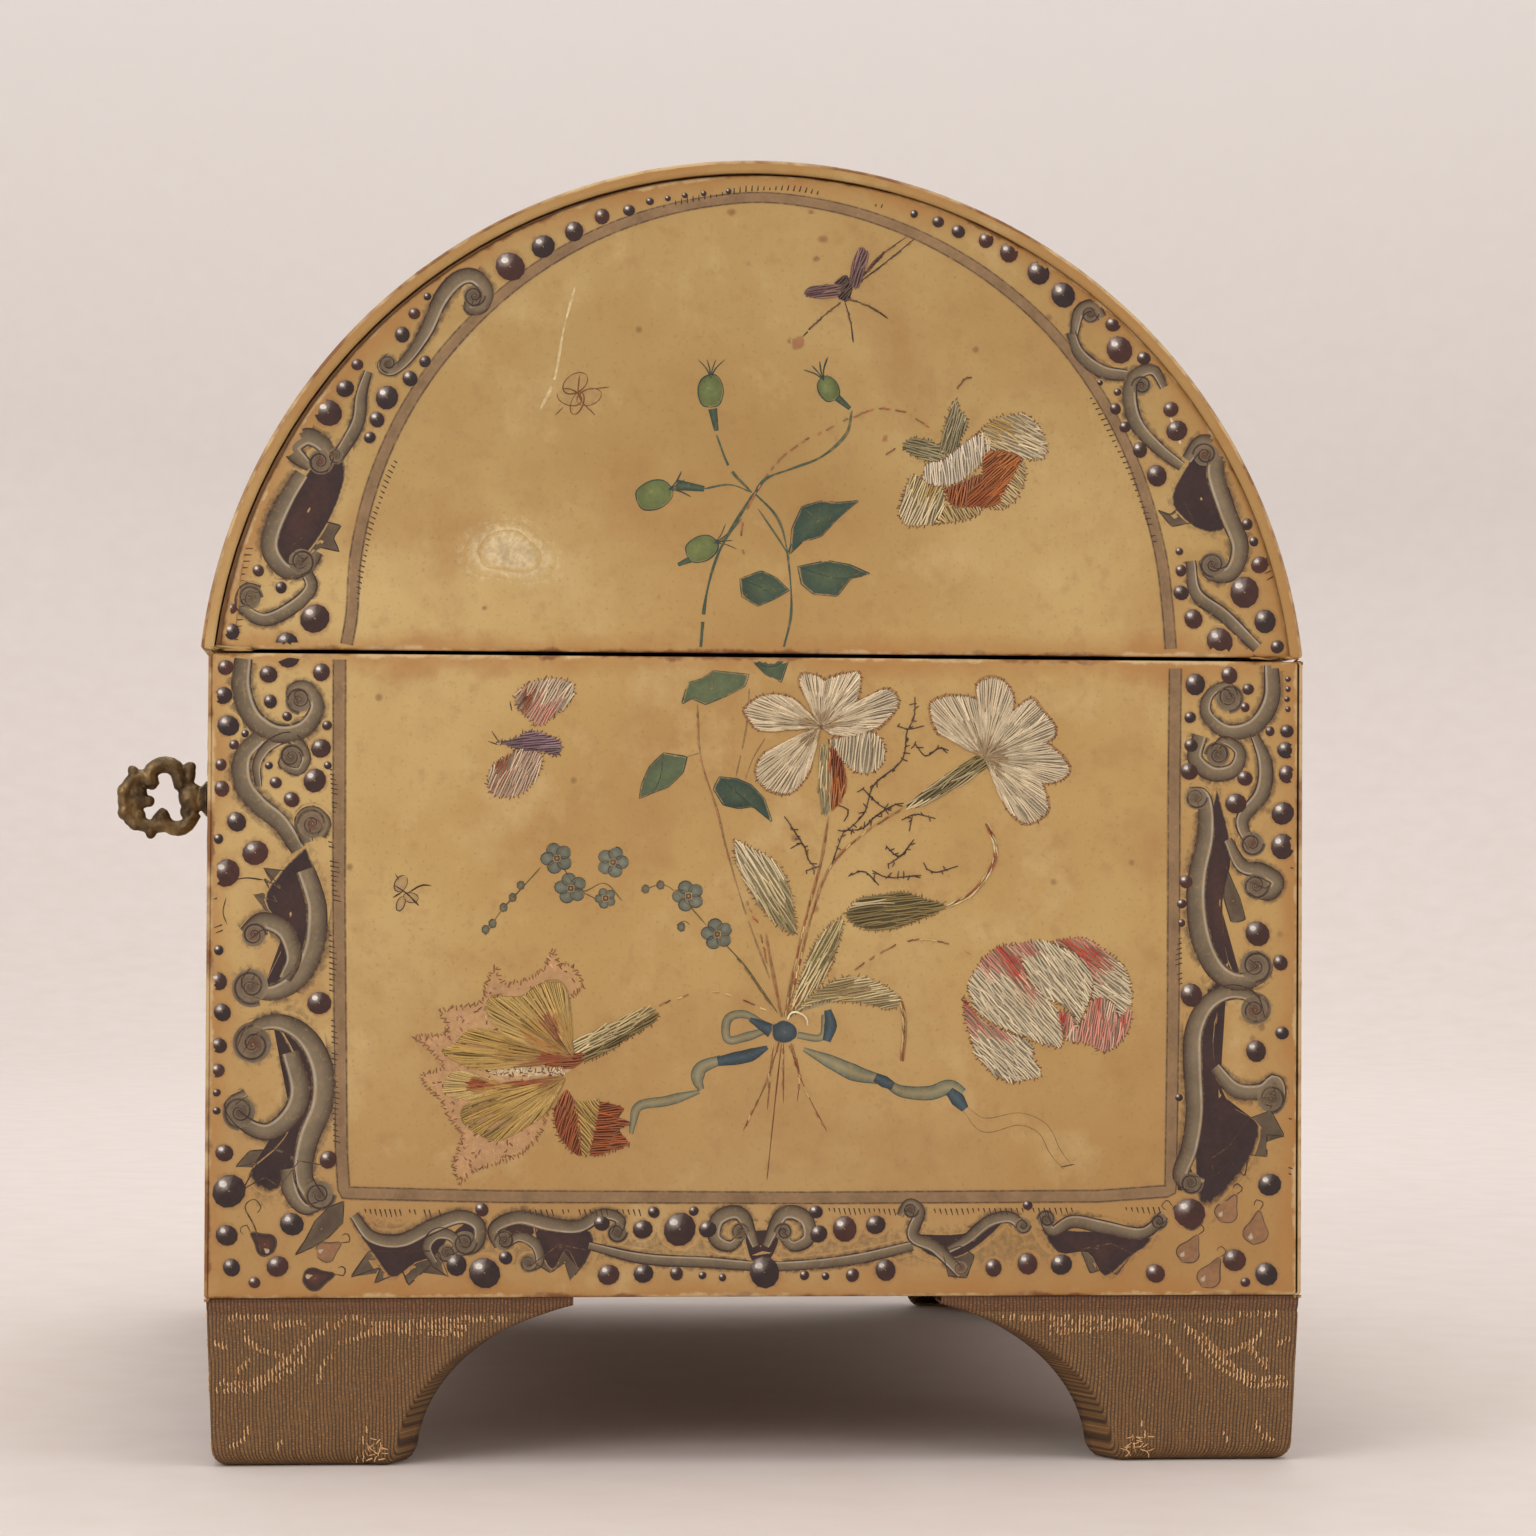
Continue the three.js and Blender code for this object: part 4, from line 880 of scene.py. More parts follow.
lid_beads = [
    (506, 267, 15), (539, 247, 12), (570, 232, 10), (598, 217, 8), (625, 211, 6), (646, 202, 4),
    (398, 335, 8), (410, 314, 6), (423, 297, 4), (341, 389, 9), (353, 365, 6), (324, 413, 14), (383, 398, 12),
    (406, 379, 8), (421, 362, 6), (373, 420, 8), (366, 438, 6), (312, 619, 15), (284, 643, 11), (229, 632, 8),
    (229, 609, 5), (255, 571, 6), (278, 588, 6), (914, 207, 4), (939, 214, 6), (960, 223, 7), (989, 231, 8),
    (1013, 243, 10), (1044, 263, 12), (1070, 285, 13), (1122, 315, 8), (1129, 341, 14), (1154, 350, 7),
    (1110, 374, 3), (1128, 384, 4), (1126, 401, 6), (1136, 420, 6), (1151, 444, 8), (1168, 471, 11),
    (1182, 403, 8), (1188, 425, 11), (1257, 523, 6), (1263, 541, 5), (1268, 565, 9), (1252, 593, 16),
    (1271, 623, 12), (1282, 649, 7), (1189, 550, 4), (1190, 570, 6), (1189, 593, 8), (1200, 620, 10),
    (1225, 643, 14), (664, 199, 3), (681, 196, 3), (700, 194, 3), (725, 192, 3)]
left_scrolls = [
    ((14, 16, 15, 14, 10, 5), (241, 656), (239, 689), (250, 718), (275, 734), (302, 729), (315, 707),
     (304, 687), (288, 691), (293, 707)),
    ((13, 16, 15, 12), (257, 738), (241, 756), (241, 783), (257, 805), (279, 823), (297, 850)),
    ((15, 16, 17, 17, 15, 11, 6), (304, 870), (312, 892), (316, 912), (313, 948), (297, 979), (270, 993),
     (246, 984), (253, 970)),
    ((5, 8, 9, 7, 4), (257, 787), (255, 765), (266, 747), (288, 738), (304, 756), (297, 772), (279, 765),
     (284, 756)),
    ((10, 12, 9, 6), (306, 843), (300, 822), (311, 812), (325, 823), (320, 837)),
    ((12, 15, 14, 10), (244, 934), (262, 921), (284, 931), (293, 957), (284, 979)),
    ((6, 12, 17, 19, 18, 16, 14), (239, 1051), (253, 1028), (279, 1022), (306, 1037), (322, 1069),
     (322, 1104), (308, 1140), (304, 1176), (320, 1203)),
    ((14, 17, 15, 11, 6), (290, 1052), (300, 1090), (290, 1116), (268, 1131), (244, 1122), (230, 1104),
     (246, 1092)),
    ((12, 13, 10, 6), (288, 1168), (292, 1192), (306, 1208), (322, 1204))]
bottom_scrolls = [
    ((7, 11, 12, 11, 8), (355, 1214), (373, 1236), (402, 1240), (432, 1226), (462, 1216), (480, 1225),
     (478, 1244), (462, 1250)),
    ((5, 8, 10, 7, 4), (436, 1262), (428, 1246), (438, 1233), (454, 1236), (458, 1248), (447, 1252)),
    ((7, 11, 12, 11, 9, 7), (500, 1246), (495, 1228), (520, 1217), (552, 1224), (580, 1226), (604, 1214),
     (622, 1220), (616, 1236)),
    ((5, 8, 9, 7, 4), (506, 1246), (520, 1236), (537, 1244), (541, 1262), (529, 1268)),
    ((6, 9, 9, 8, 8, 9, 8), (590, 1245), (645, 1258), (710, 1262), (775, 1266), (850, 1260), (914, 1246)),
    ((6, 11, 12, 10, 6), (757, 1246), (742, 1214), (720, 1218), (716, 1238), (732, 1246), (744, 1234)),
    ((6, 11, 12, 10, 6), (767, 1246), (784, 1214), (806, 1218), (810, 1238), (794, 1246), (782, 1234)),
    ((5, 9, 10, 10, 8), (901, 1216), (910, 1203), (921, 1212), (914, 1236), (937, 1248), (963, 1274)),
    ((6, 9, 10, 8), (950, 1250), (968, 1240), (990, 1222), (1012, 1218), (1026, 1230)),
    ((7, 10, 11, 10, 8), (1044, 1212), (1053, 1232), (1074, 1222), (1106, 1228), (1144, 1234), (1166, 1216))]
right_scrolls = [
    ((12, 14, 14, 11, 8, 5), (1271, 668), (1271, 703), (1254, 729), (1227, 734), (1206, 716), (1210, 696),
     (1227, 688), (1236, 700)),
    ((12, 13, 12, 9, 5), (1200, 738), (1195, 761), (1213, 776), (1234, 772), (1240, 754), (1224, 743),
     (1213, 754)),
    ((6, 12, 13, 11, 8), (1253, 734), (1265, 765), (1262, 796), (1242, 823), (1253, 850)),
    ((10, 14, 15, 16, 17, 16, 14, 9), (1189, 796), (1204, 800), (1206, 837), (1198, 877), (1197, 912),
     (1204, 948), (1220, 975), (1244, 984), (1267, 970), (1253, 957)),
    ((7, 11, 12, 11, 8), (1228, 842), (1242, 868), (1262, 873), (1278, 884), (1268, 897), (1247, 888)),
    ((7, 12, 15, 16, 15, 14, 12), (1262, 1022), (1253, 1000), (1231, 994), (1208, 1006), (1195, 1033),
     (1194, 1069), (1196, 1113), (1191, 1149), (1182, 1178), (1204, 1187)),
    ((9, 13, 13, 10, 6), (1216, 1069), (1236, 1091), (1262, 1093), (1276, 1082), (1282, 1097), (1274, 1113))]
lid_scrolls = [
    ((6, 9, 12, 13, 12, 11, 9, 7, 5), (465, 300), (464, 310), (478, 308), (483, 292), (470, 277), (453, 280),
     (436, 300), (422, 331), (404, 358), (387, 372), (376, 366), (386, 356)),
    ((6, 10, 11, 9), (364, 372), (357, 395), (354, 422), (340, 448), (330, 462)),
    ((7, 12, 15, 15, 14, 13, 11, 8), (306, 468), (288, 449), (304, 437), (323, 450), (318, 472)),
    ((12, 14, 15, 14, 12, 9), (298, 474), (282, 500), (268, 532), (268, 554), (284, 572), (304, 567),
     (314, 552)),
    ((9, 11, 11, 9, 6), (303, 572), (308, 588), (292, 606), (262, 620), (238, 606), (242, 588), (257, 590)),
    ((6, 9, 10, 7), (1082, 326), (1087, 302), (1101, 296), (1111, 308)),
    ((7, 10, 11, 9), (1079, 322), (1088, 344), (1111, 362), (1137, 367)),
    ((6, 10, 12, 12, 10, 8), (1175, 380), (1164, 362), (1146, 367), (1140, 386), (1147, 416), (1169, 442),
     (1193, 462)),
    ((9, 13, 15, 15, 15, 13, 9), (1198, 455), (1213, 437), (1230, 447), (1226, 469), (1237, 509), (1249, 545),
     (1240, 572), (1220, 574), (1213, 558)),
    ((8, 11, 11, 9), (1200, 560), (1204, 594), (1231, 617), (1262, 650))]
left_hollows = [
    ((300, 868), (312, 905), (300, 945), (272, 965), (286, 930), (272, 905), (284, 884)),
    ((276, 1040), (302, 1050), (311, 1091), (300, 1136), (279, 1165), (262, 1152), (286, 1128), (300, 1090))]
bottom_hollows = [
    ((376, 1240), (410, 1244), (436, 1234), (430, 1252), (414, 1258), (398, 1268), (386, 1254)),
    ((466, 1226), (476, 1232), (470, 1240), (458, 1234)),
    ((543, 1230), (583, 1236), (576, 1262), (566, 1248), (556, 1262), (546, 1244)),
    ((505, 1230), (520, 1224), (532, 1230), (516, 1238)),
    ((750, 1236), (774, 1236), (768, 1256), (756, 1256)),
    ((926, 1236), (962, 1236), (990, 1226), (978, 1240), (958, 1252), (938, 1250)),
    ((1060, 1236), (1104, 1238), (1136, 1242), (1120, 1256), (1104, 1268), (1092, 1252), (1072, 1252))]
right_hollows = [
    ((1218, 826), (1228, 870), (1222, 905), (1226, 945), (1238, 968), (1214, 948), (1207, 912), (1210, 870)),
    ((1226, 1008), (1216, 1060), (1226, 1100), (1248, 1118), (1236, 1150), (1208, 1172), (1204, 1110),
     (1202, 1040)),
    ((1172, 1166), (1188, 1170), (1188, 1186), (1174, 1184))]
lid_hollows = [
    ((326, 464), (330, 488), (318, 520), (300, 545), (284, 556), (280, 532), (294, 500), (310, 478)),
    ((1208, 462), (1222, 476), (1230, 512), (1218, 520), (1202, 512), (1192, 494))]
left_fringes = [
    ((262, 868), (282, 890), (262, 878), (276, 902), (252, 894), (268, 914), (290, 900), (292, 872)),
    ((250, 1150), (236, 1166), (258, 1162), (244, 1188), (266, 1176), (280, 1186), (300, 1160), (280, 1148)),
    ((345, 1200), (330, 1206), (316, 1220), (306, 1240), (296, 1254), (314, 1246), (330, 1236), (344, 1222))]
bottom_fringes = [
    ((370, 1250), (352, 1276), (382, 1266), (376, 1282), (404, 1270), (410, 1284), (432, 1264), (450, 1276),
     (440, 1250)),
    ((536, 1262), (552, 1272), (566, 1262), (572, 1280), (586, 1262), (592, 1250), (560, 1244)),
    ((944, 1252), (950, 1276), (968, 1278), (976, 1256), (962, 1246)),
    ((1082, 1250), (1092, 1274), (1108, 1268), (1118, 1276), (1134, 1254), (1112, 1244))]
right_fringes = [
    ((1212, 1160), (1216, 1178), (1232, 1162), (1246, 1178), (1250, 1156), (1268, 1158), (1268, 1136),
     (1286, 1138), (1272, 1112), (1250, 1120), (1230, 1148)),
    ((1226, 868), (1240, 900), (1246, 922), (1232, 926), (1224, 900))]
lid_fringes = [
    ((286, 548), (300, 560), (318, 548), (336, 552), (330, 538), (338, 526), (322, 522), (304, 534)),
    ((1196, 500), (1180, 512), (1168, 506), (1182, 524), (1204, 520))]
left_curls = [
    (297, 700, 13, 90, 1, 0), (289, 757, 12, 0, -1, 0), (311, 824, 15, 180, 1, 1), (253, 935, 12, 0, -1, 1),
    (250, 986, 18, 60, 1, 0), (253, 1044, 19, -90, -1, 1), (240, 1111, 16, 90, 1, 0),
    (320, 1194, 15, 0, 1, 0)]
bottom_curls = [
    (466, 1242, 12, 0, 1, 0), (448, 1252, 9, 180, -1, 0), (506, 1240, 10, 180, 1, 0), (530, 1262, 9, 0, 1, 0),
    (618, 1232, 10, 0, 1, 0), (741, 1232, 9, 0, -1, 0), (785, 1232, 9, 180, 1, 0), (912, 1210, 8, 0, 1, 0),
    (1024, 1226, 8, 0, 1, 0), (1048, 1220, 9, 180, 1, 0), (962, 1268, 7, 0, 1, 1), (1160, 1222, 8, 0, 1, 0)]
right_curls = [
    (1229, 700, 14, 90, -1, 0), (1218, 757, 12, 180, 1, 0), (1252, 846, 12, 0, 1, 1),
    (1196, 800, 11, 0, 1, 0), (1256, 968, 16, 90, -1, 0), (1256, 888, 13, 0, 1, 0),
    (1256, 1012, 15, -90, 1, 1), (1272, 1100, 14, 90, -1, 0), (1192, 1184, 11, 0, 1, 0)]
lid_curls = [
    (384, 364, 9, 90, 1, 0), (470, 296, 11, 0, 1, 0), (316, 462, 12, 0, 1, 1), (298, 562, 13, 90, -1, 0),
    (246, 598, 12, 0, -1, 0), (332, 456, 8, 0, 1, 0), (1098, 304, 9, 0, 1, 0), (1152, 378, 10, 180, 1, 0),
    (1216, 450, 12, 180, 1, 1), (1222, 564, 13, 90, 1, 0)]
pale_drop = linear(142, 104, 72)
left_drops = [((266, 1243), 20, 12, 140), ((317, 1277), 22, 12, 12), ((328, 1250), 18, 11, 30, pale_drop)]
right_drops = [
    ((1228, 1212), 20, 12, 60, pale_drop), ((1257, 1232), 22, 13, 80, pale_drop), ((1192, 1218), 22, 13, 150),
    ((1190, 1252), 20, 12, 60, pale_drop), ((1211, 1276), 22, 12, 60, pale_drop)]
left_tendrils = [
    ((262, 1250), (256, 1226), (246, 1206), (255, 1198), (262, 1206), (258, 1212)),
    ((225, 898), (222, 912), (226, 924)), ((232, 880), (246, 878), (262, 880)), ((300, 1160), (322, 1164))]
case_ticks = [
    ((328, 770), (331, 812), 7, 4.5, 0.3, 1), ((327, 842), (332, 900), 9, 5.0, 0.3, 1),
    ((328, 935), (329, 990), 8, 5.5, 0.3, 1), ((331, 1020), (334, 1140), 7, 5.5, 0.3, 1),
    ((216, 898), (222, 930), 8, 5.5, 0.2, -1), ((214, 1120), (216, 1140), 5, 4.5, 0.2, -1),
    ((366, 1208), (440, 1209), 8, 5.0, 0.3, -1), ((520, 1209), (640, 1209), 7, 5.5, 0.3, -1),
    ((830, 1208), (895, 1209), 7, 5.0, 0.3, -1), ((930, 1209), (1160, 1208), 7, 5.5, 0.3, -1),
    ((1182, 940), (1183, 985), 7, 5.0, 0.3, -1), ((1291, 870), (1292, 1020), 7, 6.0, 0.3, 1),
    ((1290, 1120), (1290, 1175), 7, 6.0, 0.3, 1)]
bottom_wash_path = [(366, 1230), (460, 1242), (600, 1246), (760, 1244), (920, 1246), (1050, 1242),
                    (1150, 1236)]
left_border = (left_beads, left_scrolls, left_hollows, left_fringes, left_curls)
bottom_border = (bottom_beads, bottom_scrolls, bottom_hollows, bottom_fringes, bottom_curls)
right_border = (right_beads, right_scrolls, right_hollows, right_fringes, right_curls)
lid_border = (lid_beads, lid_scrolls, lid_hollows, lid_fringes, lid_curls)
band_case_path = [(337, 655), (338, 900), (342, 1150), (345, 1192), (500, 1196), (800, 1198), (1100, 1197),
                  (1172, 1192), (1174, 1000), (1174, 800), (1175, 666)]
band_arch_centre, band_arch_radii = (758, 614), (409, 411, 416, 420, 415)
band_lid_start, band_lid_stop = (344, 645), (1174, 656)
band_lanes = [(-1.0, band_grey, 0.35), (-0.8, ink, 0.7), (-0.62, band_grey, 0.75), (0.0, band_grey, 0.85),
              (0.62, band_grey, 0.7), (0.8, ink, 0.65), (1.0, band_grey, 0.3)]


def arch_band():
    """The grey band of a lid's end, a round arch on short upright legs."""
    turn = np.linspace(math.pi, 0, 25)
    radii = np.interp(np.linspace(0, 1, 25), np.linspace(0, 1, len(band_arch_radii)), band_arch_radii)
    arch = np.array(band_arch_centre) + radii[:, None] * np.stack([np.cos(turn), -np.sin(turn)], 1)
    return np.concatenate([[band_lid_start], arch, [band_lid_stop]])


def straight(*corners):
    """Places along straight runs between corners, close enough for a brush to follow."""
    return np.concatenate([np.linspace(a, b, 12, endpoint=False) for a, b in zip(corners, corners[1:])]
                          + [np.array(corners[-1:], float)])


def hollows_and_fringes(painter, hollows, fringes):
    """The torn leaves of the scrollwork, and over them the dark hollows with their red glow."""
    for outline in fringes:
        heart = np.mean(outline, axis=0)
        painter.patch(outline, heart, umber, scroll_grey, 0.9, 0.013, 0.97, smooth=False, rings=3)
        painter.line([*outline, outline[0]], 1.5, lift=0.056, smooth=False)
    for outline in hollows:
        heart = np.mean(outline, axis=0)
        outline = heart + hollow_swell * (np.array(outline) - heart)
        wide = heart + 1.22 * (outline - heart)
        red = hand.uniform(0.1, 0.8)
        core = np.array(hollow_dark) * (1 - red * 0.45) + np.array(hollow_red) * red * 0.45
        painter.patch(wide, heart, hollow_red, umber, 0.6, 0.009, 0.6)
        painter.patch(outline, heart, core, hollow_dark, 0.95, 0.018, 0.9)


def leaning(lean):
    """The ways ahead and aside of a shape that leans, in the picture."""
    turn = math.radians(lean)
    return np.array([math.cos(turn), -math.sin(turn)]), np.array([math.sin(turn), math.cos(turn)])


def drop(painter, place, length, width, lean, tone=hollow_dark):
    """A tear-shaped jewel with a curling pen tail."""
    ahead, aside = leaning(lean)
    shape = [(-1, 0), (-0.6, 0.8), (0, 1), (0.6, 0.6), (1.5, 0), (0.6, -0.5), (0, -0.9), (-0.6, -0.8)]
    outline = [np.array(place) + ahead * a * length / 1.6 + aside * b * width for a, b in shape]
    painter.patch(outline, place, hollow_red if tone is hollow_dark else tone, tone, 0.95, 0.05, 0.9)
    painter.line([*outline, outline[0]], 1.5, umber)
    light = np.array(place) - ahead * length * 0.3 - aside * width * 0.3
    painter.patch([light + 0.22 * (p - np.array(place)) for p in outline], light, scroll_light, scroll_light,
                  0.8, 0.058, 0.5)
    tip = outline[4]
    tail = ((0, 0), (8, 3), (10, -5), (4, -6))
    painter.line([tip + ahead * a + aside * b for a, b in tail], 1.4)


def paint_set(painter, beads, scrolls, hollows, fringes, curls, drops=(), tendrils=()):
    """One strip of the border, from the hollows and fringes at the back to the beads in front."""
    hollows_and_fringes(painter, hollows, fringes)
    for widths, *path in scrolls:
        painter.scroll(path, widths)
    for x, y, radius, start, sense, red in curls:
        painter.curl(x, y, radius, start, sense, hollow_red if red else None)
    for place, length, width, lean, *tone in drops:
        drop(painter, place, length, width, lean, *tone)
    for path in tendrils:
        painter.line(path, 1.5)
    for x, y, radius in beads:
        painter.bead(x, y, radius, hand.uniform(0, 1))


def paint_case_end(face, to_face, bottoms=(), fine=1.0):
    """The band, the two upright strips and the strip along the bottom, which a long side has twice."""
    painter = Painter(face, to_face, fine)
    painter.ribbon(straight(*band_case_path), (15, 14, 15), band_lanes, 0.03, 1.0, smooth=False)
    paint_set(painter, *left_border, left_drops, left_tendrils)
    for place, scale in bottoms or ((to_face, 1.0),):
        painter.onto(place, scale)
        painter.ribbon(bottom_wash_path, (34, 56, 44, 56, 44, 56, 34), strip_wash, 0.004, 1.0)
        paint_set(painter, *bottom_border)
    painter.onto(to_face)
    paint_set(painter, *right_border, right_drops)
    for start, stop, size, pitch, lean, side in case_ticks:
        painter.ticks(straight(start, stop), size, pitch, lean, side)
    return painter


def paint_lid_end(face, to_face, fine=1.0):
    """The arched band, the border outside it and the pen line along the rim."""
    painter = Painter(face, to_face, fine)
    painter.ribbon(arch_band(), (14, 14, 12, 13, 14), band_lanes, 0.03, 1.0)
    paint_set(painter, *lid_border)
    outer_arc = [(232, 640), (240, 560), (262, 480), (300, 400), (352, 325), (420, 262), (500, 215),
                 (590, 186), (680, 176), (775, 175), (870, 181), (960, 200), (1040, 236), (1110, 286),
                 (1170, 350), (1222, 424), (1262, 510), (1284, 590)]
    painter.line(outer_arc, 1.8, halo_brown, 0.8, 0.05, 0.3)
    painter.ticks(outer_arc, 7, 6.5, 0.2, -1, 0.7)
    painter.ticks([(356, 600), (372, 520), (408, 428)], 6, 5.5, 0.2, 1)
    painter.ticks([(660, 208), (770, 190), (880, 202)], 6, 6.0, 0.2, 1)
    painter.ticks([(1100, 390), (1140, 470), (1162, 540)], 6, 6.0, 0.2, 1)
    return painter


case_painting = paint_case_end(right_end, photo_spot)
lid_painting = paint_lid_end(right_arch, lid_spot)

# Silk flowers
# A tied spray worked in floss silks through the parchment: long and short stitch for the petals, satin
# stitch for the leaves, couched and running threads for stems, twigs and outlines. Roses, small blue
# flowers, insects and the bow are painted. A thread is a short raised path, made round further down.
thread_pitch, thread_radius = 0.44, 0.168
petal_lift, seed_length, thorn_length = 0.24, 0.8, 7
white_silk, white_shade = linear(222, 206, 172), linear(160, 136, 100)
cream_silk, olive_silk = linear(214, 196, 150), linear(128, 112, 66)
ochre_silk, ochre_shade = linear(186, 148, 74), linear(140, 104, 48)
rust_silk, orange_silk = linear(146, 72, 32), linear(184, 112, 50)
red_silk, pink_silk = linear(186, 66, 48), linear(212, 142, 122)
stem_silk, outline_silk = linear(152, 108, 64), linear(116, 68, 38)
twig_silk, gold_silk = linear(58, 36, 34), linear(206, 176, 116)
blue_wash, blue_dark = linear(102, 108, 92), linear(50, 64, 72)
leaf_wash, leaf_dark = linear(104, 116, 78), linear(38, 62, 56)
bud_green, violet_wash = linear(96, 108, 62), linear(104, 74, 78)


def inside_scan(outline, turn, pitch):
    """Lines across a closed outline at an angle, as pairs of ends, from one side to the other."""
    spin = np.array([[math.cos(turn), math.sin(turn)], [-math.sin(turn), math.cos(turn)]])
    edge = outline @ spin.T
    following = np.roll(edge, -1, 0)
    pairs = []
    for height in np.arange(edge[:, 1].min() + pitch / 2, edge[:, 1].max(), pitch):
        crossing = (edge[:, 1] <= height) != (following[:, 1] <= height)
        if crossing.sum() < 2:
            continue
        a, b = edge[crossing], following[crossing]
        across = np.sort(a[:, 0] + (height - a[:, 1]) / (b[:, 1] - a[:, 1]) * (b[:, 0] - a[:, 0]))
        for start, stop in zip(across[::2], across[1::2]):
            pairs.append((np.array([start, height]) @ spin, np.array([stop, height]) @ spin))
    return pairs


class Needle:
    """Threads on one side of the casket, each a short path of places, lifts and one colour."""

    def __init__(self, face, to_face, scale=1.0, pitch=thread_pitch):
        self.face, self.to_face, self.scale = face, to_face, scale * pixel_size
        self.pitch, self.thickness = pitch, pitch / thread_pitch
        self.threads = []

    def stitch(self, start, stop, colour, radius=thread_radius, lift=0.2, sag=0.0, jitter=0.2):
        """One stitch between two places, rising out of the skin and diving back."""
        start, stop = np.asarray(start), np.asarray(stop)
        length = np.linalg.norm(stop - start)
        steps = 4 if length > 2.2 else 2
        share = np.linspace(0, 1, steps + 1)
        aside = np.array([start[1] - stop[1], stop[0] - start[0]]) / max(length, 1e-6)
        curve = (sag * length * 4 * share * (1 - share))[:, None] * aside
        height = lift * np.sqrt(np.sin(share * math.pi).clip(0)) - 0.03
        tone = np.array(colour[:3]) * (1 + hand.normal(0, jitter))
        places = start + share[:, None] * (stop - start) + curve
        self.threads.append((places, height, np.clip(tone, 0, 1), radius * self.thickness))

    def tone(self, places, tones, share, accents):
        """The colour for a stitch: its tone by its share, then what accents lie over its middle."""
        stops = np.array([t[0] for t in tones])
        colours = np.array([t[1][:3] for t in tones])
        colour = np.array([np.interp(share, stops, colours[:, k]) for k in range(3)])
        for centre, reach, accent in accents:
            off = (places - self.to_face([centre])[0]) / (np.array(reach) * self.scale)
            strength = np.clip(1.5 - np.linalg.norm(off) * 1.25 + hand.normal(0, 0.12), 0, 1)
            colour = colour * (1 - strength) + np.array(accent[:3]) * strength
        return colour

    def toned(self, start, stop, share, tones, accents):
        """A stitch in the colour of its place."""
        colour = self.tone((start + stop) / 2, tones, share, accents)
        self.stitch(start, stop, colour, lift=petal_lift * hand.uniform(0.8, 1.15),
                    sag=hand.normal(0, 0.03))

    def fan(self, outline, base, tones, accents=(), rows=3):
        """Long and short stitches running from an outer edge in towards a base."""
        edge, _, _ = walk(self.to_face(outline), self.pitch)
        heart = self.to_face([base])[0]
        for row in range(rows):
            high = 1 - row / rows
            thin = 1 if row == 0 else max(1, int(round(1 / max(high, 0.25))))
            for k in range(row % 2, len(edge), thin):
                top = min(1.0, high + hand.uniform(-0.02, 0.1 if row else 0.0))
                low = max(0.03, high - 1 / rows - hand.uniform(0.04, 0.2))
                start, stop = heart + top * (edge[k] - heart), heart + low * (edge[k] - heart)
                self.toned(start, stop, (top + low) / 2, tones, accents)

    def satin(self, outline, angle, tones, accents=(), length=4.0):
        """Stitches side by side at one angle, long ones broken in long and short ones."""
        edge = smooth_path(np.concatenate([self.to_face(outline), self.to_face(outline[:1])]), 5)
        aim = self.to_face([(0, 0), (math.cos(math.radians(angle)), -math.sin(math.radians(angle)))])
        ahead = aim[1] - aim[0]
        turn = math.atan2(ahead[1], ahead[0])
        for start, stop in inside_scan(edge, turn, self.pitch):
            total = np.linalg.norm(stop - start)
            if total < 0.4:
                continue
            aside = np.array([start[1] - stop[1], stop[0] - start[0]]) / total
            cuts = [0.0]
            while cuts[-1] < total:
                cuts.append(cuts[-1] + length * hand.uniform(0.6, 1.3))
            cuts[-1] = total
            for a, b in zip(cuts, cuts[1:]):
                if b - a < 0.3:
                    continue
                lean = aside * hand.normal(0, 0.16)
                one = start + (stop - start) * max(0, a - 0.5) / total - lean
                two = start + (stop - start) * min(total, b + 0.3) / total + lean
                self.toned(one, two, ((a + b) / 2) / total, tones, accents)

    def seed(self, outline, colours, count):
        """Tiny scattered stitches inside an outline."""
        edge = self.to_face(outline)
        low, high = edge.min(0), edge.max(0)
        following = np.roll(edge, -1, 0)
        for _ in range(int(count * (self.scale / pixel_size) ** 2 / self.thickness)):
            spot = low + hand.random(2) * (high - low)
            above = (edge[:, 1] <= spot[1]) != (following[:, 1] <= spot[1])
            a, b = edge[above], following[above]
            crossings = a[:, 0] + (spot[1] - a[:, 1]) / (b[:, 1] - a[:, 1]) * (b[:, 0] - a[:, 0])
            if np.sum(crossings < spot[0]) % 2 == 1:
                turn = hand.uniform(0, math.pi)
                half = np.array([math.cos(turn), math.sin(turn)]) * seed_length * hand.uniform(0.3, 0.6)
                colour = colours[int(hand.integers(len(colours)))]
                self.stitch(spot - half, spot + half, colour, 0.12, 0.14)

    def border(self, outline, colour=outline_silk, pitch=0.72, length=0.9, closed=False):
        """Tiny slanted stitches along an edge."""
        path = self.to_face(outline)
        path = np.concatenate([path, path[:1]]) if closed else path
        places, left, _ = walk(path, pitch * self.thickness)
        for k, (place, out) in enumerate(zip(places, left)):
            ahead = np.array([out[1], -out[0]])
            aim = (out * (1 if k % 2 else 0.5) + ahead * hand.uniform(-0.4, 0.9)) * length / 2
            spot = place + hand.normal(0, 0.12, 2)
            self.stitch(spot - aim, spot + aim, colour, 0.1, 0.13, jitter=0.25)

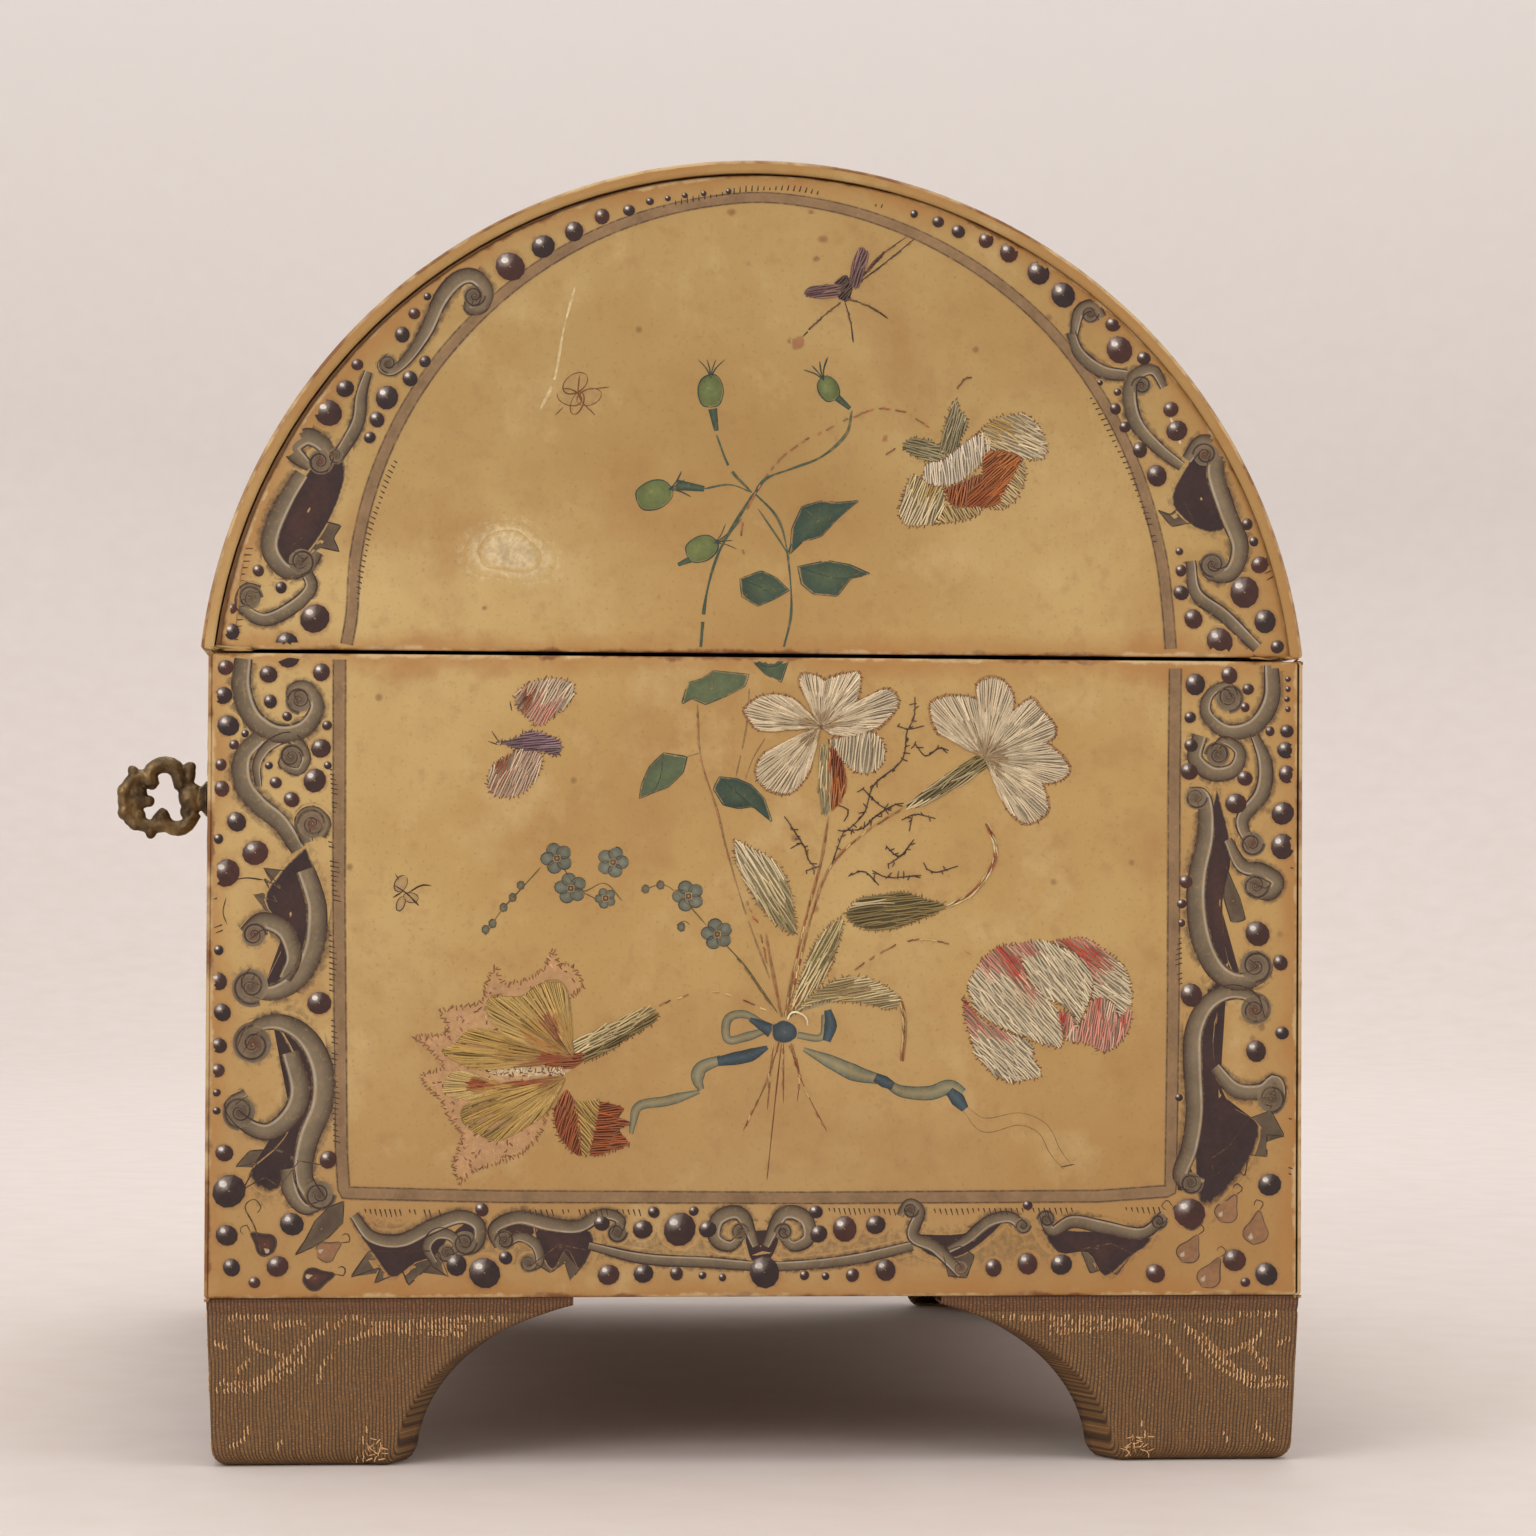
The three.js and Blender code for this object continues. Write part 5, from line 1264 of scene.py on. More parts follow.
    def stem(self, path, width, colours, length=2.6, gap=0.0):
        """A thread laid along a path in overlapping slanted stitches, or in running ones with gaps."""
        places, left, share = walk(self.to_face(path), length * 0.5)
        strands = max(1, int(round(width * self.scale / self.pitch)))
        for strand in range(strands):
            offset = (strand - (strands - 1) / 2) * self.pitch
            for k in range(len(places) - 2):
                if hand.random() < gap:
                    continue
                start = places[k] + left[k] * (offset - 0.1)
                stop = places[k + 2] + left[k + 2] * (offset + 0.1) if gap == 0 else (
                    places[k + 1] + left[k + 1] * (offset + hand.uniform(-0.15, 0.15)))
                colour = colours[int(hand.integers(len(colours)))]
                self.stitch(start, stop, colour, thread_radius * 0.9)

    def twig(self, path, spurs=1.0):
        """A dark couched thread with small crossing stitches for its thorns and buds."""
        places, left, share = walk(self.to_face(path), 1.1)
        for start, stop in zip(places, places[1:]):
            self.stitch(start, stop + (stop - start) * 0.2, twig_silk, 0.11, 0.15)
            if hand.random() < spurs:
                turn = hand.uniform(0, 2 * math.pi)
                reach = np.array([math.cos(turn), math.sin(turn)]) * thorn_length
                reach = reach * self.scale * hand.uniform(0.4, 1)
                self.stitch(start - reach * 0.3, start + reach, twig_silk, 0.11, 0.2,
                            sag=hand.normal(0, 0.08))


def middle_of(outline):
    """The middle of an outline."""
    return tuple(np.mean(np.asarray(outline, float), axis=0))


def petal(needle, painter, outline, base, tones, accents=(), rows=3, edge=outline_silk):
    """A petal in long and short stitch over a ground of half its silk's tone, painted shade between the
    stitches, with a stitched outline.
    """
    # Painted shade: a ground at half the silk's tone under the stitches, dark in the gaps between threads.
    ground = np.array(tones[len(tones) // 2][1])
    painter.patch([*outline, base], middle_of(outline), ground * 0.5, ground * 0.42, 0.95, 0.012, 0.97)
    painter.line(outline, 6.0, halo_brown, 0.6, 0.008, 0.02)
    needle.fan(outline, base, tones, accents, rows)
    if edge:
        needle.border(outline, edge)


def leaf(needle, painter, outline, angle, tones, accents=(), edge=None, length=4.5):
    """A shape in satin stitch over a ground of half its silk's tone, painted shade between the stitches."""
    # Painted shade: a ground at half the silk's tone under the stitches, dark in the gaps between threads.
    ground = np.array(tones[len(tones) // 2][1])
    painter.patch(outline, middle_of(outline), ground * 0.5, ground * 0.42, 0.95, 0.012, 0.95)
    needle.satin(outline, angle, tones, accents, length)
    if edge:
        needle.border(outline, edge, closed=True)


white_tones = [(0.0, linear(150, 122, 84)), (0.25, white_shade), (0.6, white_silk),
               (1.0, linear(206, 184, 150))]
white_flower_centre = (819, 728)
white_petals = [
    ((816, 719), (807, 700), (799, 685), (801, 676), (815, 677), (823, 682), (830, 679), (846, 675),
     (858, 674), (859, 687), (855, 702), (842, 716), (828, 724)),
    ((815, 730), (786, 730), (757, 731), (747, 720), (743, 711), (755, 700), (770, 696), (790, 700),
     (806, 714), (816, 724)),
    ((826, 722), (846, 711), (868, 698), (886, 691), (896, 698), (897, 708), (886, 722), (873, 731),
     (851, 738), (830, 736)),
    ((817, 734), (810, 754), (808, 772), (799, 787), (788, 795), (770, 793), (757, 782), (755, 769),
     (763, 756), (781, 747), (804, 738))]
white_turned_petal = ((828, 742), (846, 738), (868, 734), (880, 740), (884, 756), (880, 768), (868, 775),
                      (855, 773), (843, 764), (834, 752))
side_flower_throat = (984, 760)
side_petals = [
    ((973, 738), (958, 736), (938, 735), (929, 708), (942, 699), (962, 698), (976, 702), (987, 718)),
    ((980, 705), (976, 689), (984, 681), (996, 680), (1007, 687), (1013, 700), (1011, 714), (1006, 724)),
    ((1009, 716), (1018, 709), (1031, 701), (1040, 711), (1054, 727), (1054, 738), (1044, 744)),
    ((1047, 745), (1063, 760), (1069, 774), (1058, 783), (1042, 785), (1030, 777)),
    ((997, 772), (998, 789), (1007, 810), (1020, 823), (1031, 825), (1047, 814), (1045, 794), (1038, 781),
     (1024, 772))]


def white_flowers(needle, painter):
    for outline in white_petals:
        petal(needle, painter, outline, white_flower_centre, white_tones)
    leaf(needle, painter, white_turned_petal, 84, white_tones, edge=outline_silk, length=9)
    tube = [(0.0, olive_silk), (0.5, cream_silk), (1.0, linear(160, 140, 88))]
    leaf(needle, painter, ((818, 746), (828, 748), (831, 780), (829, 813), (822, 816), (818, 790)), 88, tube)
    leaf(needle, painter, ((828, 750), (838, 752), (846, 782), (842, 800), (830, 812), (828, 780)), 86,
         [(0, orange_silk), (1, rust_silk)])
    for outline in side_petals:
        petal(needle, painter, outline, side_flower_throat, white_tones, rows=3)
    leaf(needle, painter, ((976, 757), (990, 766), (960, 787), (922, 808), (905, 808), (940, 780)), 33,
         [(0.0, cream_silk), (1.0, olive_silk)], [((960, 792), (40, 7), linear(96, 84, 48))])
    needle.stitch(*needle.to_face([(816, 726), (823, 731)]), outline_silk, 0.2, 0.35)


twigs = [
    ((830, 870), (842, 836), (848, 831), (864, 814), (873, 787), (897, 767), (904, 754), (906, 734),
     (913, 720), (914, 700)),
    ((846, 832), (862, 830), (875, 818), (893, 807), (902, 805)), ((862, 790), (878, 806), (890, 812)),
    ((901, 822), (915, 816), (934, 820)), ((912, 817), (909, 832)), ((886, 848), (899, 858), (913, 842)),
    ((888, 866), (900, 858), (906, 852)), ((849, 877), (864, 873), (878, 886)),
    ((872, 872), (888, 879), (920, 877)), ((926, 870), (936, 874), (957, 868)),
    ((790, 850), (802, 845), (808, 861), (815, 869)), ((787, 822), (796, 836), (802, 845)),
    ((914, 745), (925, 758), (938, 750), (947, 752)), ((897, 728), (908, 731), (922, 728)),
    ((836, 806), (848, 812), (844, 822)), ((806, 872), (818, 868))]


def dark_twigs(needle, painter):
    for path in twigs:
        painter.line(path, 1.6, twig_silk, 0.8, 0.03, 0.05)
        needle.twig(path, spurs=0.75)


tulip_petals = [
    (((1053, 944), (1070, 940), (1089, 942), (1107, 954), (1122, 966), (1131, 987), (1131, 1007),
      (1121, 1018), (1115, 1007), (1104, 999), (1093, 1000), (1093, 980), (1077, 956)), -38,
     [((1078, 952), (26, 12), red_silk), ((1096, 962), (16, 14), red_silk),
      ((1092, 978), (9, 12), pink_silk)]),
    (((1093, 1001), (1104, 1000), (1115, 1007), (1119, 1018), (1131, 1010), (1129, 1032), (1118, 1046),
      (1105, 1053), (1089, 1045), (1070, 1042), (1062, 1032), (1058, 1015), (1070, 1015), (1077, 1029),
      (1086, 1015)), 82,
     [((1096, 1012), (10, 12), red_silk), ((1124, 1022), (8, 14), red_silk),
      ((1064, 1022), (9, 10), red_silk), ((1100, 1032), (34, 24), pink_silk)]),
    (((1014, 947), (1035, 942), (1053, 945), (1077, 956), (1091, 973), (1093, 990), (1084, 1015),
      (1077, 1029), (1076, 1018), (1068, 1011), (1056, 1003), (1046, 1000), (1028, 980), (1020, 956)), -52,
     [((1026, 950), (16, 8), pink_silk)]),
    (((964, 999), (965, 1018), (973, 1043), (976, 1055), (993, 1074), (1010, 1083), (1025, 1081),
      (1042, 1076), (1034, 1060), (1032, 1046), (1014, 1036), (993, 1028), (976, 1015)), -44,
     [((968, 1010), (6, 12), red_silk), ((980, 1026), (12, 7), red_silk), ((1000, 1036), (14, 6), pink_silk),
      ((970, 1032), (8, 12), pink_silk)]),
    (((983, 961), (997, 949), (1014, 947), (1020, 956), (1028, 980), (1045, 999), (1059, 1015), (1063, 1032),
      (1062, 1048), (1049, 1046), (1034, 1042), (1014, 1034), (993, 1024), (976, 1011), (969, 993),
      (971, 979)),
     -48, [((1008, 962), (16, 14), red_silk), ((1018, 976), (9, 12), red_silk),
           ((990, 966), (10, 12), pink_silk), ((1030, 992), (12, 10), pink_silk)])]
tulip_tones = [(0.0, white_silk), (0.5, linear(214, 198, 166)), (1.0, white_silk)]


def tulip(needle, painter):
    for outline, angle, accents in tulip_petals:
        leaf(needle, painter, outline, angle, tulip_tones, accents, outline_silk, 3.6)
    needle.stem([(835, 985), (862, 966), (888, 950), (915, 941), (945, 944), (977, 957)], 3,
                [stem_silk, outline_silk, gold_silk], 2.4, 0.3)


frill = [(546, 1119), (539, 1135), (525, 1151), (507, 1160), (486, 1166), (471, 1173), (461, 1182),
         (454, 1164), (459, 1150), (463, 1135), (450, 1118), (441, 1100), (421, 1077), (443, 1067),
         (427, 1046), (414, 1037), (441, 1035), (448, 1026), (441, 1010), (479, 1003), (486, 984), (496, 967),
         (502, 982), (521, 982), (543, 969), (552, 951), (559, 964), (571, 966), (582, 985), (568, 1001),
         (560, 1020), (566, 1046), (560, 1070), (552, 1100)]
frilled_petals = [
    (((566, 1046), (557, 1030), (559, 1012), (568, 998), (561, 984), (550, 982), (536, 985), (521, 996),
      (500, 996), (486, 1001), (489, 1019), (507, 1037), (534, 1048)), (574, 1058),
     [(0.0, ochre_shade), (0.6, ochre_silk), (1.0, linear(196, 172, 110))],
     [((552, 1026), (8, 16), rust_silk), ((545, 1042), (12, 8), orange_silk)]),
    (((534, 1048), (507, 1037), (489, 1030), (468, 1030), (454, 1044), (441, 1051), (459, 1064), (480, 1069),
      (500, 1062), (525, 1059)), (574, 1060),
     [(0.0, rust_silk), (0.3, ochre_shade), (0.6, ochre_silk), (1.0, linear(188, 158, 88))],
     [((552, 1060), (26, 8), rust_silk)]),
    (((489, 1078), (471, 1073), (454, 1071), (443, 1084), (445, 1094), (464, 1100), (486, 1096)), (505, 1086),
     [(0.0, rust_silk), (0.4, ochre_silk), (1.0, linear(200, 178, 120))], [((480, 1084), (9, 7), rust_silk)]),
    (((540, 1082), (514, 1084), (489, 1087), (471, 1101), (461, 1110), (463, 1123), (479, 1135), (500, 1141),
      (525, 1128), (543, 1116), (552, 1101)), (566, 1078),
     [(0.0, ochre_shade), (0.5, linear(192, 158, 84)), (1.0, linear(170, 136, 64))],
     [((528, 1082), (34, 4), rust_silk)])]
rust_petal = [((554, 1109), (557, 1130), (571, 1150), (583, 1154), (582, 1128), (575, 1101), (566, 1090)),
              ((575, 1101), (588, 1101), (600, 1101), (596, 1128), (590, 1152), (583, 1154), (578, 1130)),
              ((600, 1101), (614, 1104), (625, 1109), (618, 1116), (632, 1123), (620, 1130), (630, 1144),
               (612, 1150), (600, 1155), (590, 1152), (594, 1128))]


def frilled_flower(needle, painter):
    painter.patch(frill, (510, 1066), linear(196, 158, 116), linear(190, 146, 104), 0.6, 0.012, 0.95, False)
    needle.seed(frill, [linear(196, 150, 124), outline_silk, linear(206, 172, 132), linear(150, 92, 66)], 620)
    needle.border(frill, linear(138, 84, 60), 0.6, 1.0, True)
    for outline, base, tones, accents in frilled_petals:
        petal(needle, painter, outline, base, tones, accents, 3, None)
    speckled = ((489, 1068), (520, 1064), (548, 1068), (572, 1068), (560, 1076), (520, 1076), (492, 1076))
    painter.patch(speckled, (528, 1071), linear(214, 190, 150), linear(206, 178, 134), 0.9, 0.03, 0.9)
    needle.seed(speckled, [cream_silk, outline_silk, white_silk], 160)
    leaf(needle, painter, ((540, 1054), (570, 1051), (586, 1056), (574, 1068), (552, 1067), (536, 1061)), 5,
         [(0, orange_silk), (0.5, rust_silk), (1, rust_silk)])
    leaf(needle, painter, ((568, 1044), (600, 1028), (640, 1010), (656, 1010), (640, 1024), (582, 1054)), 26,
         [(0, cream_silk), (1, linear(188, 166, 112))], edge=None)
    leaf(needle, painter, ((582, 1054), (640, 1024), (656, 1014), (654, 1022), (606, 1052), (584, 1062)), 26,
         [(0, olive_silk), (1, olive_silk)], edge=outline_silk)
    shades = ([(0, rust_silk), (1, linear(160, 88, 40))], [(0, ochre_silk), (1, linear(196, 164, 96))],
              [(0, linear(160, 88, 40)), (1, rust_silk)])
    for outline, tones, angle in zip(rust_petal, shades, (70, -50, 4)):
        leaf(needle, painter, outline, angle, tones, length=5)
    needle.border([(554, 1109), (557, 1130), (571, 1150), (600, 1155), (630, 1144)], outline_silk)
    needle.stem([(659, 1006), (683, 997), (712, 992), (740, 999), (772, 1014)], 3,
                [stem_silk, outline_silk, gold_silk], 2.4, 0.3)


cream_flower_parts = [
    (((922, 481), (925, 466), (941, 462), (954, 452), (972, 439), (984, 434), (990, 446), (980, 464),
      (964, 480), (947, 487), (931, 487)), 96, [(0, white_silk), (1, linear(226, 212, 190))], ()),
    (((976, 436), (992, 421), (1008, 417), (1023, 416), (1036, 426), (1046, 447), (1043, 459), (1035, 461),
      (1017, 459), (1005, 453), (988, 450)), -24, [(0, linear(188, 160, 100)), (1, white_silk)],
     [((1000, 428), (10, 8), ochre_silk)]),
    (((922, 482), (912, 477), (903, 492), (898, 512), (904, 526), (921, 527), (936, 523), (943, 508),
      (941, 490), (931, 487)), 68, [(0, white_silk), (1, linear(198, 176, 120))],
     [((928, 494), (6, 8), ochre_silk)]),
    (((944, 490), (962, 484), (978, 476), (982, 481), (969, 492), (962, 508), (949, 505)), 80,
     [(0, orange_silk), (1, rust_silk)], ()),
    (((985, 453), (1005, 453), (1021, 461), (1016, 474), (1006, 490), (998, 506), (980, 510), (964, 508),
      (968, 492), (981, 480), (981, 464)), 40, [(0, rust_silk), (1, orange_silk)], ()),
    (((1004, 492), (1012, 474), (1022, 464), (1024, 480), (1016, 500), (1002, 510), (994, 509)), -40,
     [(0, cream_silk), (1, linear(190, 160, 104))], ()),
    (((943, 508), (959, 510), (976, 508), (980, 514), (969, 520), (949, 524), (936, 524)), -60,
     [(0, cream_silk), (1, ochre_silk)], ())]
sepals = [
    (((934, 459), (941, 441), (945, 421), (954, 401), (959, 412), (966, 424), (959, 441), (952, 453)), 74),
    (((901, 449), (907, 441), (924, 441), (939, 449), (944, 459), (929, 463), (912, 457)), -14)]


def cream_flower(needle, painter):
    for outline, angle, tones, accents in cream_flower_parts:
        leaf(needle, painter, outline, angle, tones, accents, outline_silk, 5)
    for outline, angle in sepals:
        leaf(needle, painter, outline, angle, [(0, linear(128, 118, 84)), (1, linear(168, 156, 118))],
             edge=linear(88, 76, 50))
    needle.stem([(836, 424), (852, 418), (874, 410), (898, 412), (918, 422), (932, 432)], 3,
                [linear(176, 100, 60), stem_silk], 2.2, 0.45)
    needle.stem([(955, 390), (964, 380), (974, 378)], 3, [outline_silk], 1.6, 0.2)
    needle.stem([(884, 456), (890, 452), (897, 449)], 2, [outline_silk], 1.6, 0.1)
    painter.patch([(880, 436), (886, 436), (886, 444), (880, 444)], (883, 440), red_silk, halo_brown, 0.6,
                  0.02, 0.5)


silk_leaves = [
    (((734, 840), (751, 849), (772, 861), (786, 880), (793, 906), (796, 934), (782, 930), (760, 908),
      (744, 882), (734, 859)), -58, [(0, white_silk), (0.6, linear(204, 186, 140)),
                                     (1, linear(150, 138, 88))],
     [((790, 925), (8, 14), olive_silk)]),
    (((845, 915), (857, 901), (876, 897), (904, 894), (928, 901), (947, 908), (923, 920), (895, 930),
      (867, 931), (850, 923)), 6, [(0, linear(140, 122, 72)), (1, olive_silk)],
     [((870, 904), (14, 5), cream_silk)]),
    (((791, 1010), (800, 982), (810, 953), (824, 932), (843, 920), (838, 944), (829, 972), (815, 991),
      (798, 1008)), 62, [(0, cream_silk), (1, linear(190, 172, 116))], [((832, 962), (6, 18), olive_silk)]),
    (((793, 1015), (819, 991), (843, 979), (867, 979), (890, 991), (902, 1003), (890, 1010), (867, 1005),
      (843, 1003), (819, 1003)), 8, [(0, linear(176, 152, 96)), (1, cream_silk)],
     [((850, 990), (24, 6), linear(150, 124, 72))])]


def silk_foliage(needle, painter):
    for outline, angle, tones, accents in silk_leaves:
        leaf(needle, painter, outline, angle, tones, accents, linear(132, 96, 54), 7)
    needle.stem([(902, 1003), (905, 1025), (904, 1045), (902, 1062)], 5, [gold_silk, stem_silk, rust_silk],
                2.4)
    needle.stem([(947, 908), (970, 897), (989, 874), (996, 852), (987, 825)], 4,
                [gold_silk, cream_silk, rust_silk], 2.2)
    stems = [((785, 1018), (797, 975), (812, 915), (830, 868), (862, 836), (905, 808)),
             ((785, 1018), (793, 975), (806, 918), (820, 866), (828, 818)),
             ((782, 1018), (772, 968), (766, 935)), ((786, 1016), (808, 990), (835, 962))]
    for path in stems:
        painter.line(path, 4, halo_brown, 0.6, 0.02, 0.05)
        needle.stem(path, 3, [gold_silk, stem_silk, stem_silk, rust_silk], 2.6, 0.08)
    for path in (((756, 920), (762, 940), (768, 968)), ((747, 902), (756, 925))):
        needle.stem(path, 2, [linear(176, 84, 56), stem_silk], 1.6, 0.4)
    cut_ends = [((780, 1042), (766, 1085), (744, 1131)), ((784, 1044), (784, 1104)),
                ((774, 1044), (768, 1110)), ((790, 1046), (806, 1090), (828, 1132)),
                ((782, 1044), (776, 1100), (768, 1180)), ((792, 1044), (800, 1075), (798, 1102))]
    for k, path in enumerate(cut_ends):
        painter.line(path, 1.5, outline_silk, 0.85, 0.03, 0.08)
        if k != 4:
            needle.stem(path, 2, [stem_silk, gold_silk, rust_silk], 2.2, 0.4)


bow_wash = [(-1.0, leaf_dark, 0.8), (-0.8, blue_wash, 0.7), (0, linear(140, 136, 104), 0.6),
            (0.8, blue_wash, 0.7), (1.0, leaf_dark, 0.8)]
bow_shade = [(-1.0, ink, 0.85), (-0.8, blue_dark, 0.85), (0, linear(70, 88, 96), 0.85),
             (0.8, blue_dark, 0.85), (1.0, ink, 0.85)]
bow_pen = [(-1.0, ink, 0.85), (-0.86, band_grey, 0.0), (0.86, band_grey, 0.0), (1.0, ink, 0.85)]
bow_loops = [
    (bow_wash, 0.03, (5, 9, 8, 9, 8, 5), (770, 1030), (745, 1038), (728, 1040), (728, 1020), (744, 1015),
     (764, 1024)),
    (bow_shade, 0.036, (14, 10, 4), (772, 1032), (762, 1026), (750, 1020)),
    (bow_wash, 0.03, (7, 7, 8), (798, 1036), (822, 1038), (826, 1016)),
    (bow_shade, 0.036, (8, 13, 7), (827, 1042), (831, 1026), (828, 1011))]
bow_knot = [(772, 1026), (784, 1021), (796, 1027), (797, 1038), (786, 1044), (774, 1040)]
bow_tails = [
    (bow_shade, 0.036, (4, 13, 13, 9), (768, 1048), (750, 1056), (730, 1060), (718, 1062)),
    (bow_wash, 0.034, (9, 12, 14, 6), (722, 1060), (702, 1068), (698, 1080), (702, 1090)),
    (bow_wash, 0.034, (4, 10, 10, 9, 4), (700, 1092), (668, 1101), (640, 1106), (634, 1122), (632, 1134)),
    (bow_wash, 0.034, (4, 13, 17, 10), (804, 1050), (830, 1062), (856, 1074), (880, 1080)),
    (bow_shade, 0.04, (9, 12, 8), (876, 1078), (884, 1082), (894, 1087)),
    (bow_wash, 0.034, (8, 12, 14, 15, 15), (886, 1082), (902, 1092), (930, 1094), (950, 1088), (962, 1096)),
    (bow_shade, 0.04, (9, 15, 8), (950, 1092), (958, 1100), (966, 1110)),
    (bow_pen, 0.04, (5, 15, 13, 12, 12, 9), (966, 1110), (986, 1126), (1020, 1120), (1044, 1130),
     (1056, 1152), (1068, 1167))]


def bow(needle, painter):
    for lanes, lift, widths, *path in bow_loops:
        painter.ribbon(path, widths, lanes, lift, 0.5)
    painter.patch(bow_knot, (785, 1033), linear(84, 96, 100), blue_dark, 0.95, 0.045, 0.9)
    for lanes, lift, widths, *path in bow_tails:
        painter.ribbon(path, widths, lanes, lift, 0.5)
    painter.line([(1062, 1168), (1076, 1165)], 1.5)
    needle.stitch(*needle.to_face([(788, 1020), (800, 1014)]), white_silk, 0.2, 0.5, 0.3)
    needle.stitch(*needle.to_face([(799, 1014), (808, 1026)]), white_silk, 0.2, 0.5, 0.2)


small_blue_flowers = [(556, 859, 9), (612, 863, 9), (570, 889, 9), (605, 899, 6), (688, 897, 9),
                      (717, 935, 9)]
blue_buds = [(520, 886), (503, 908), (485, 930), (645, 890), (512, 898), (492, 924), (660, 886), (681, 928)]


def oval(x, y, across, up):
    """The outline of a small round petal or bud."""
    return [(x + across * math.cos(a), y + up * math.sin(a)) for a in np.linspace(0, 2 * math.pi, 9)[:-1]]


def small_flowers(needle, painter):
    for x, y, size in small_blue_flowers:
        for k in range(5):
            turn = 2 * math.pi * k / 5 + x
            cx, cy = x + size * math.cos(turn), y + size * math.sin(turn)
            ring = oval(cx, cy, size * 0.8, size * 0.72)
            painter.patch(ring, (cx, cy), linear(122, 124, 106), linear(96, 102, 90), 0.85, 0.03, 0.85)
            painter.line([*ring, ring[0]], 1.3, linear(66, 64, 56), 0.9, 0.05, 0.1)
        heart = [(x - 3, y - 3), (x + 3, y - 3), (x + 3, y + 3), (x - 3, y + 3)]
        painter.patch(heart, (x, y), linear(170, 140, 90), ink, 0.9, 0.055, 0.6)
    for x, y in blue_buds:
        ring = oval(x, y, 4, 4.6)
        painter.patch(ring, (x, y), linear(122, 120, 100), linear(84, 84, 70), 0.8, 0.03, 0.85)
        painter.line([*ring, ring[0]], 1.2, linear(66, 64, 56), 0.8, 0.05, 0.1)
    stems = [((485, 936), (500, 912), (520, 890), (540, 868)),
             ((562, 868), (580, 892), (604, 884), (622, 902)),
             ((640, 892), (664, 886), (686, 904), (706, 926)),
             ((724, 944), (746, 968), (762, 990), (778, 1014)), ((676, 926), (684, 922), (690, 926)),
             ((584, 894), (596, 900))]
    for path in stems:
        painter.line(path, 1.7, linear(96, 84, 52), 0.9, 0.04, 0.08)
    needle.stem([(730, 950), (750, 975), (775, 1011)], 1, [linear(104, 88, 50)], 2.2, 0.2)


butterfly_parts = [
    (((532, 724), (514, 706), (518, 690), (535, 682), (556, 680), (572, 686), (570, 700), (556, 714),
      (540, 726)),
     58, [((524, 704), (12, 18), rust_silk), ((546, 712), (16, 12), pink_silk)]),
    (((522, 748), (508, 756), (494, 764), (486, 780), (490, 794), (508, 798), (526, 790), (538, 772),
      (540, 756)),
     66, [((500, 768), (12, 16), rust_silk), ((524, 770), (12, 18), linear(204, 164, 138))])]


def butterfly(needle, painter):
    wings = [(0, linear(176, 124, 102)), (0.5, white_silk), (1, linear(212, 178, 150))]
    for outline, angle, accents in butterfly_parts:
        leaf(needle, painter, outline, angle, wings, accents, outline_silk, 5)
    body = ((497, 742), (512, 740), (528, 732), (546, 736), (560, 744), (556, 756), (540, 752), (520, 752))
    leaf(needle, painter, body, 4, [(0, linear(110, 84, 92)), (1, linear(150, 120, 130))], edge=twig_silk,
         length=4)
    for path in (((498, 744), (490, 732)), ((497, 746), (486, 742)), ((510, 712), (508, 702))):
        painter.line(path, 1.4, ink, 0.9, 0.05, 0.0)


leaves_painted = [
    (((712, 672), (700, 680), (686, 684), (680, 706), (690, 700), (704, 706), (724, 698), (744, 688),
      (748, 676)),
     0.2), (((788, 660), (766, 658), (752, 664), (764, 676), (780, 684)), 0.6),
    (((662, 754), (648, 768), (640, 786), (638, 800), (652, 794), (668, 788), (682, 774), (686, 758)), 0.35),
    (((718, 778), (712, 790), (722, 806), (738, 810), (752, 808), (772, 824), (764, 800), (750, 786),
      (736, 780)), 0.9),
    (((800, 508), (790, 530), (788, 556), (800, 544), (820, 538), (836, 520), (858, 502), (836, 504),
      (820, 502)), 0.9),
    (((796, 568), (800, 586), (812, 596), (836, 598), (850, 580), (870, 576), (848, 566), (826, 562)), 0.8),
    (((738, 580), (740, 598), (756, 608), (774, 600), (788, 592), (776, 580), (760, 572)), 0.8)]
rosebuds = [((708, 392), 15, 90), ((826, 390), 12, 118), ((652, 496), 17, 20), ((700, 550), 15, 24)]


def painted_leaves(needle, painter):
    for outline, dark in leaves_painted:
        light_tone = np.array(leaf_wash) * (1 - dark * 0.6) + np.array(leaf_dark) * dark * 0.6
        deep = np.array(leaf_wash) * (1 - dark) * 0.8 + np.array(leaf_dark) * (0.2 + 0.8 * dark)
        painter.patch(outline, middle_of(outline), light_tone, deep, 0.85, 0.03, 0.9, smooth=False)
        painter.line([*outline, outline[0]], 1.4, leaf_dark, 0.85, 0.045, 0.12, smooth=False)
        heart = middle_of(outline)
        painter.line([outline[0], heart, outline[len(outline) // 2]], 1.2, leaf_dark, 0.8, 0.05, 0.05)


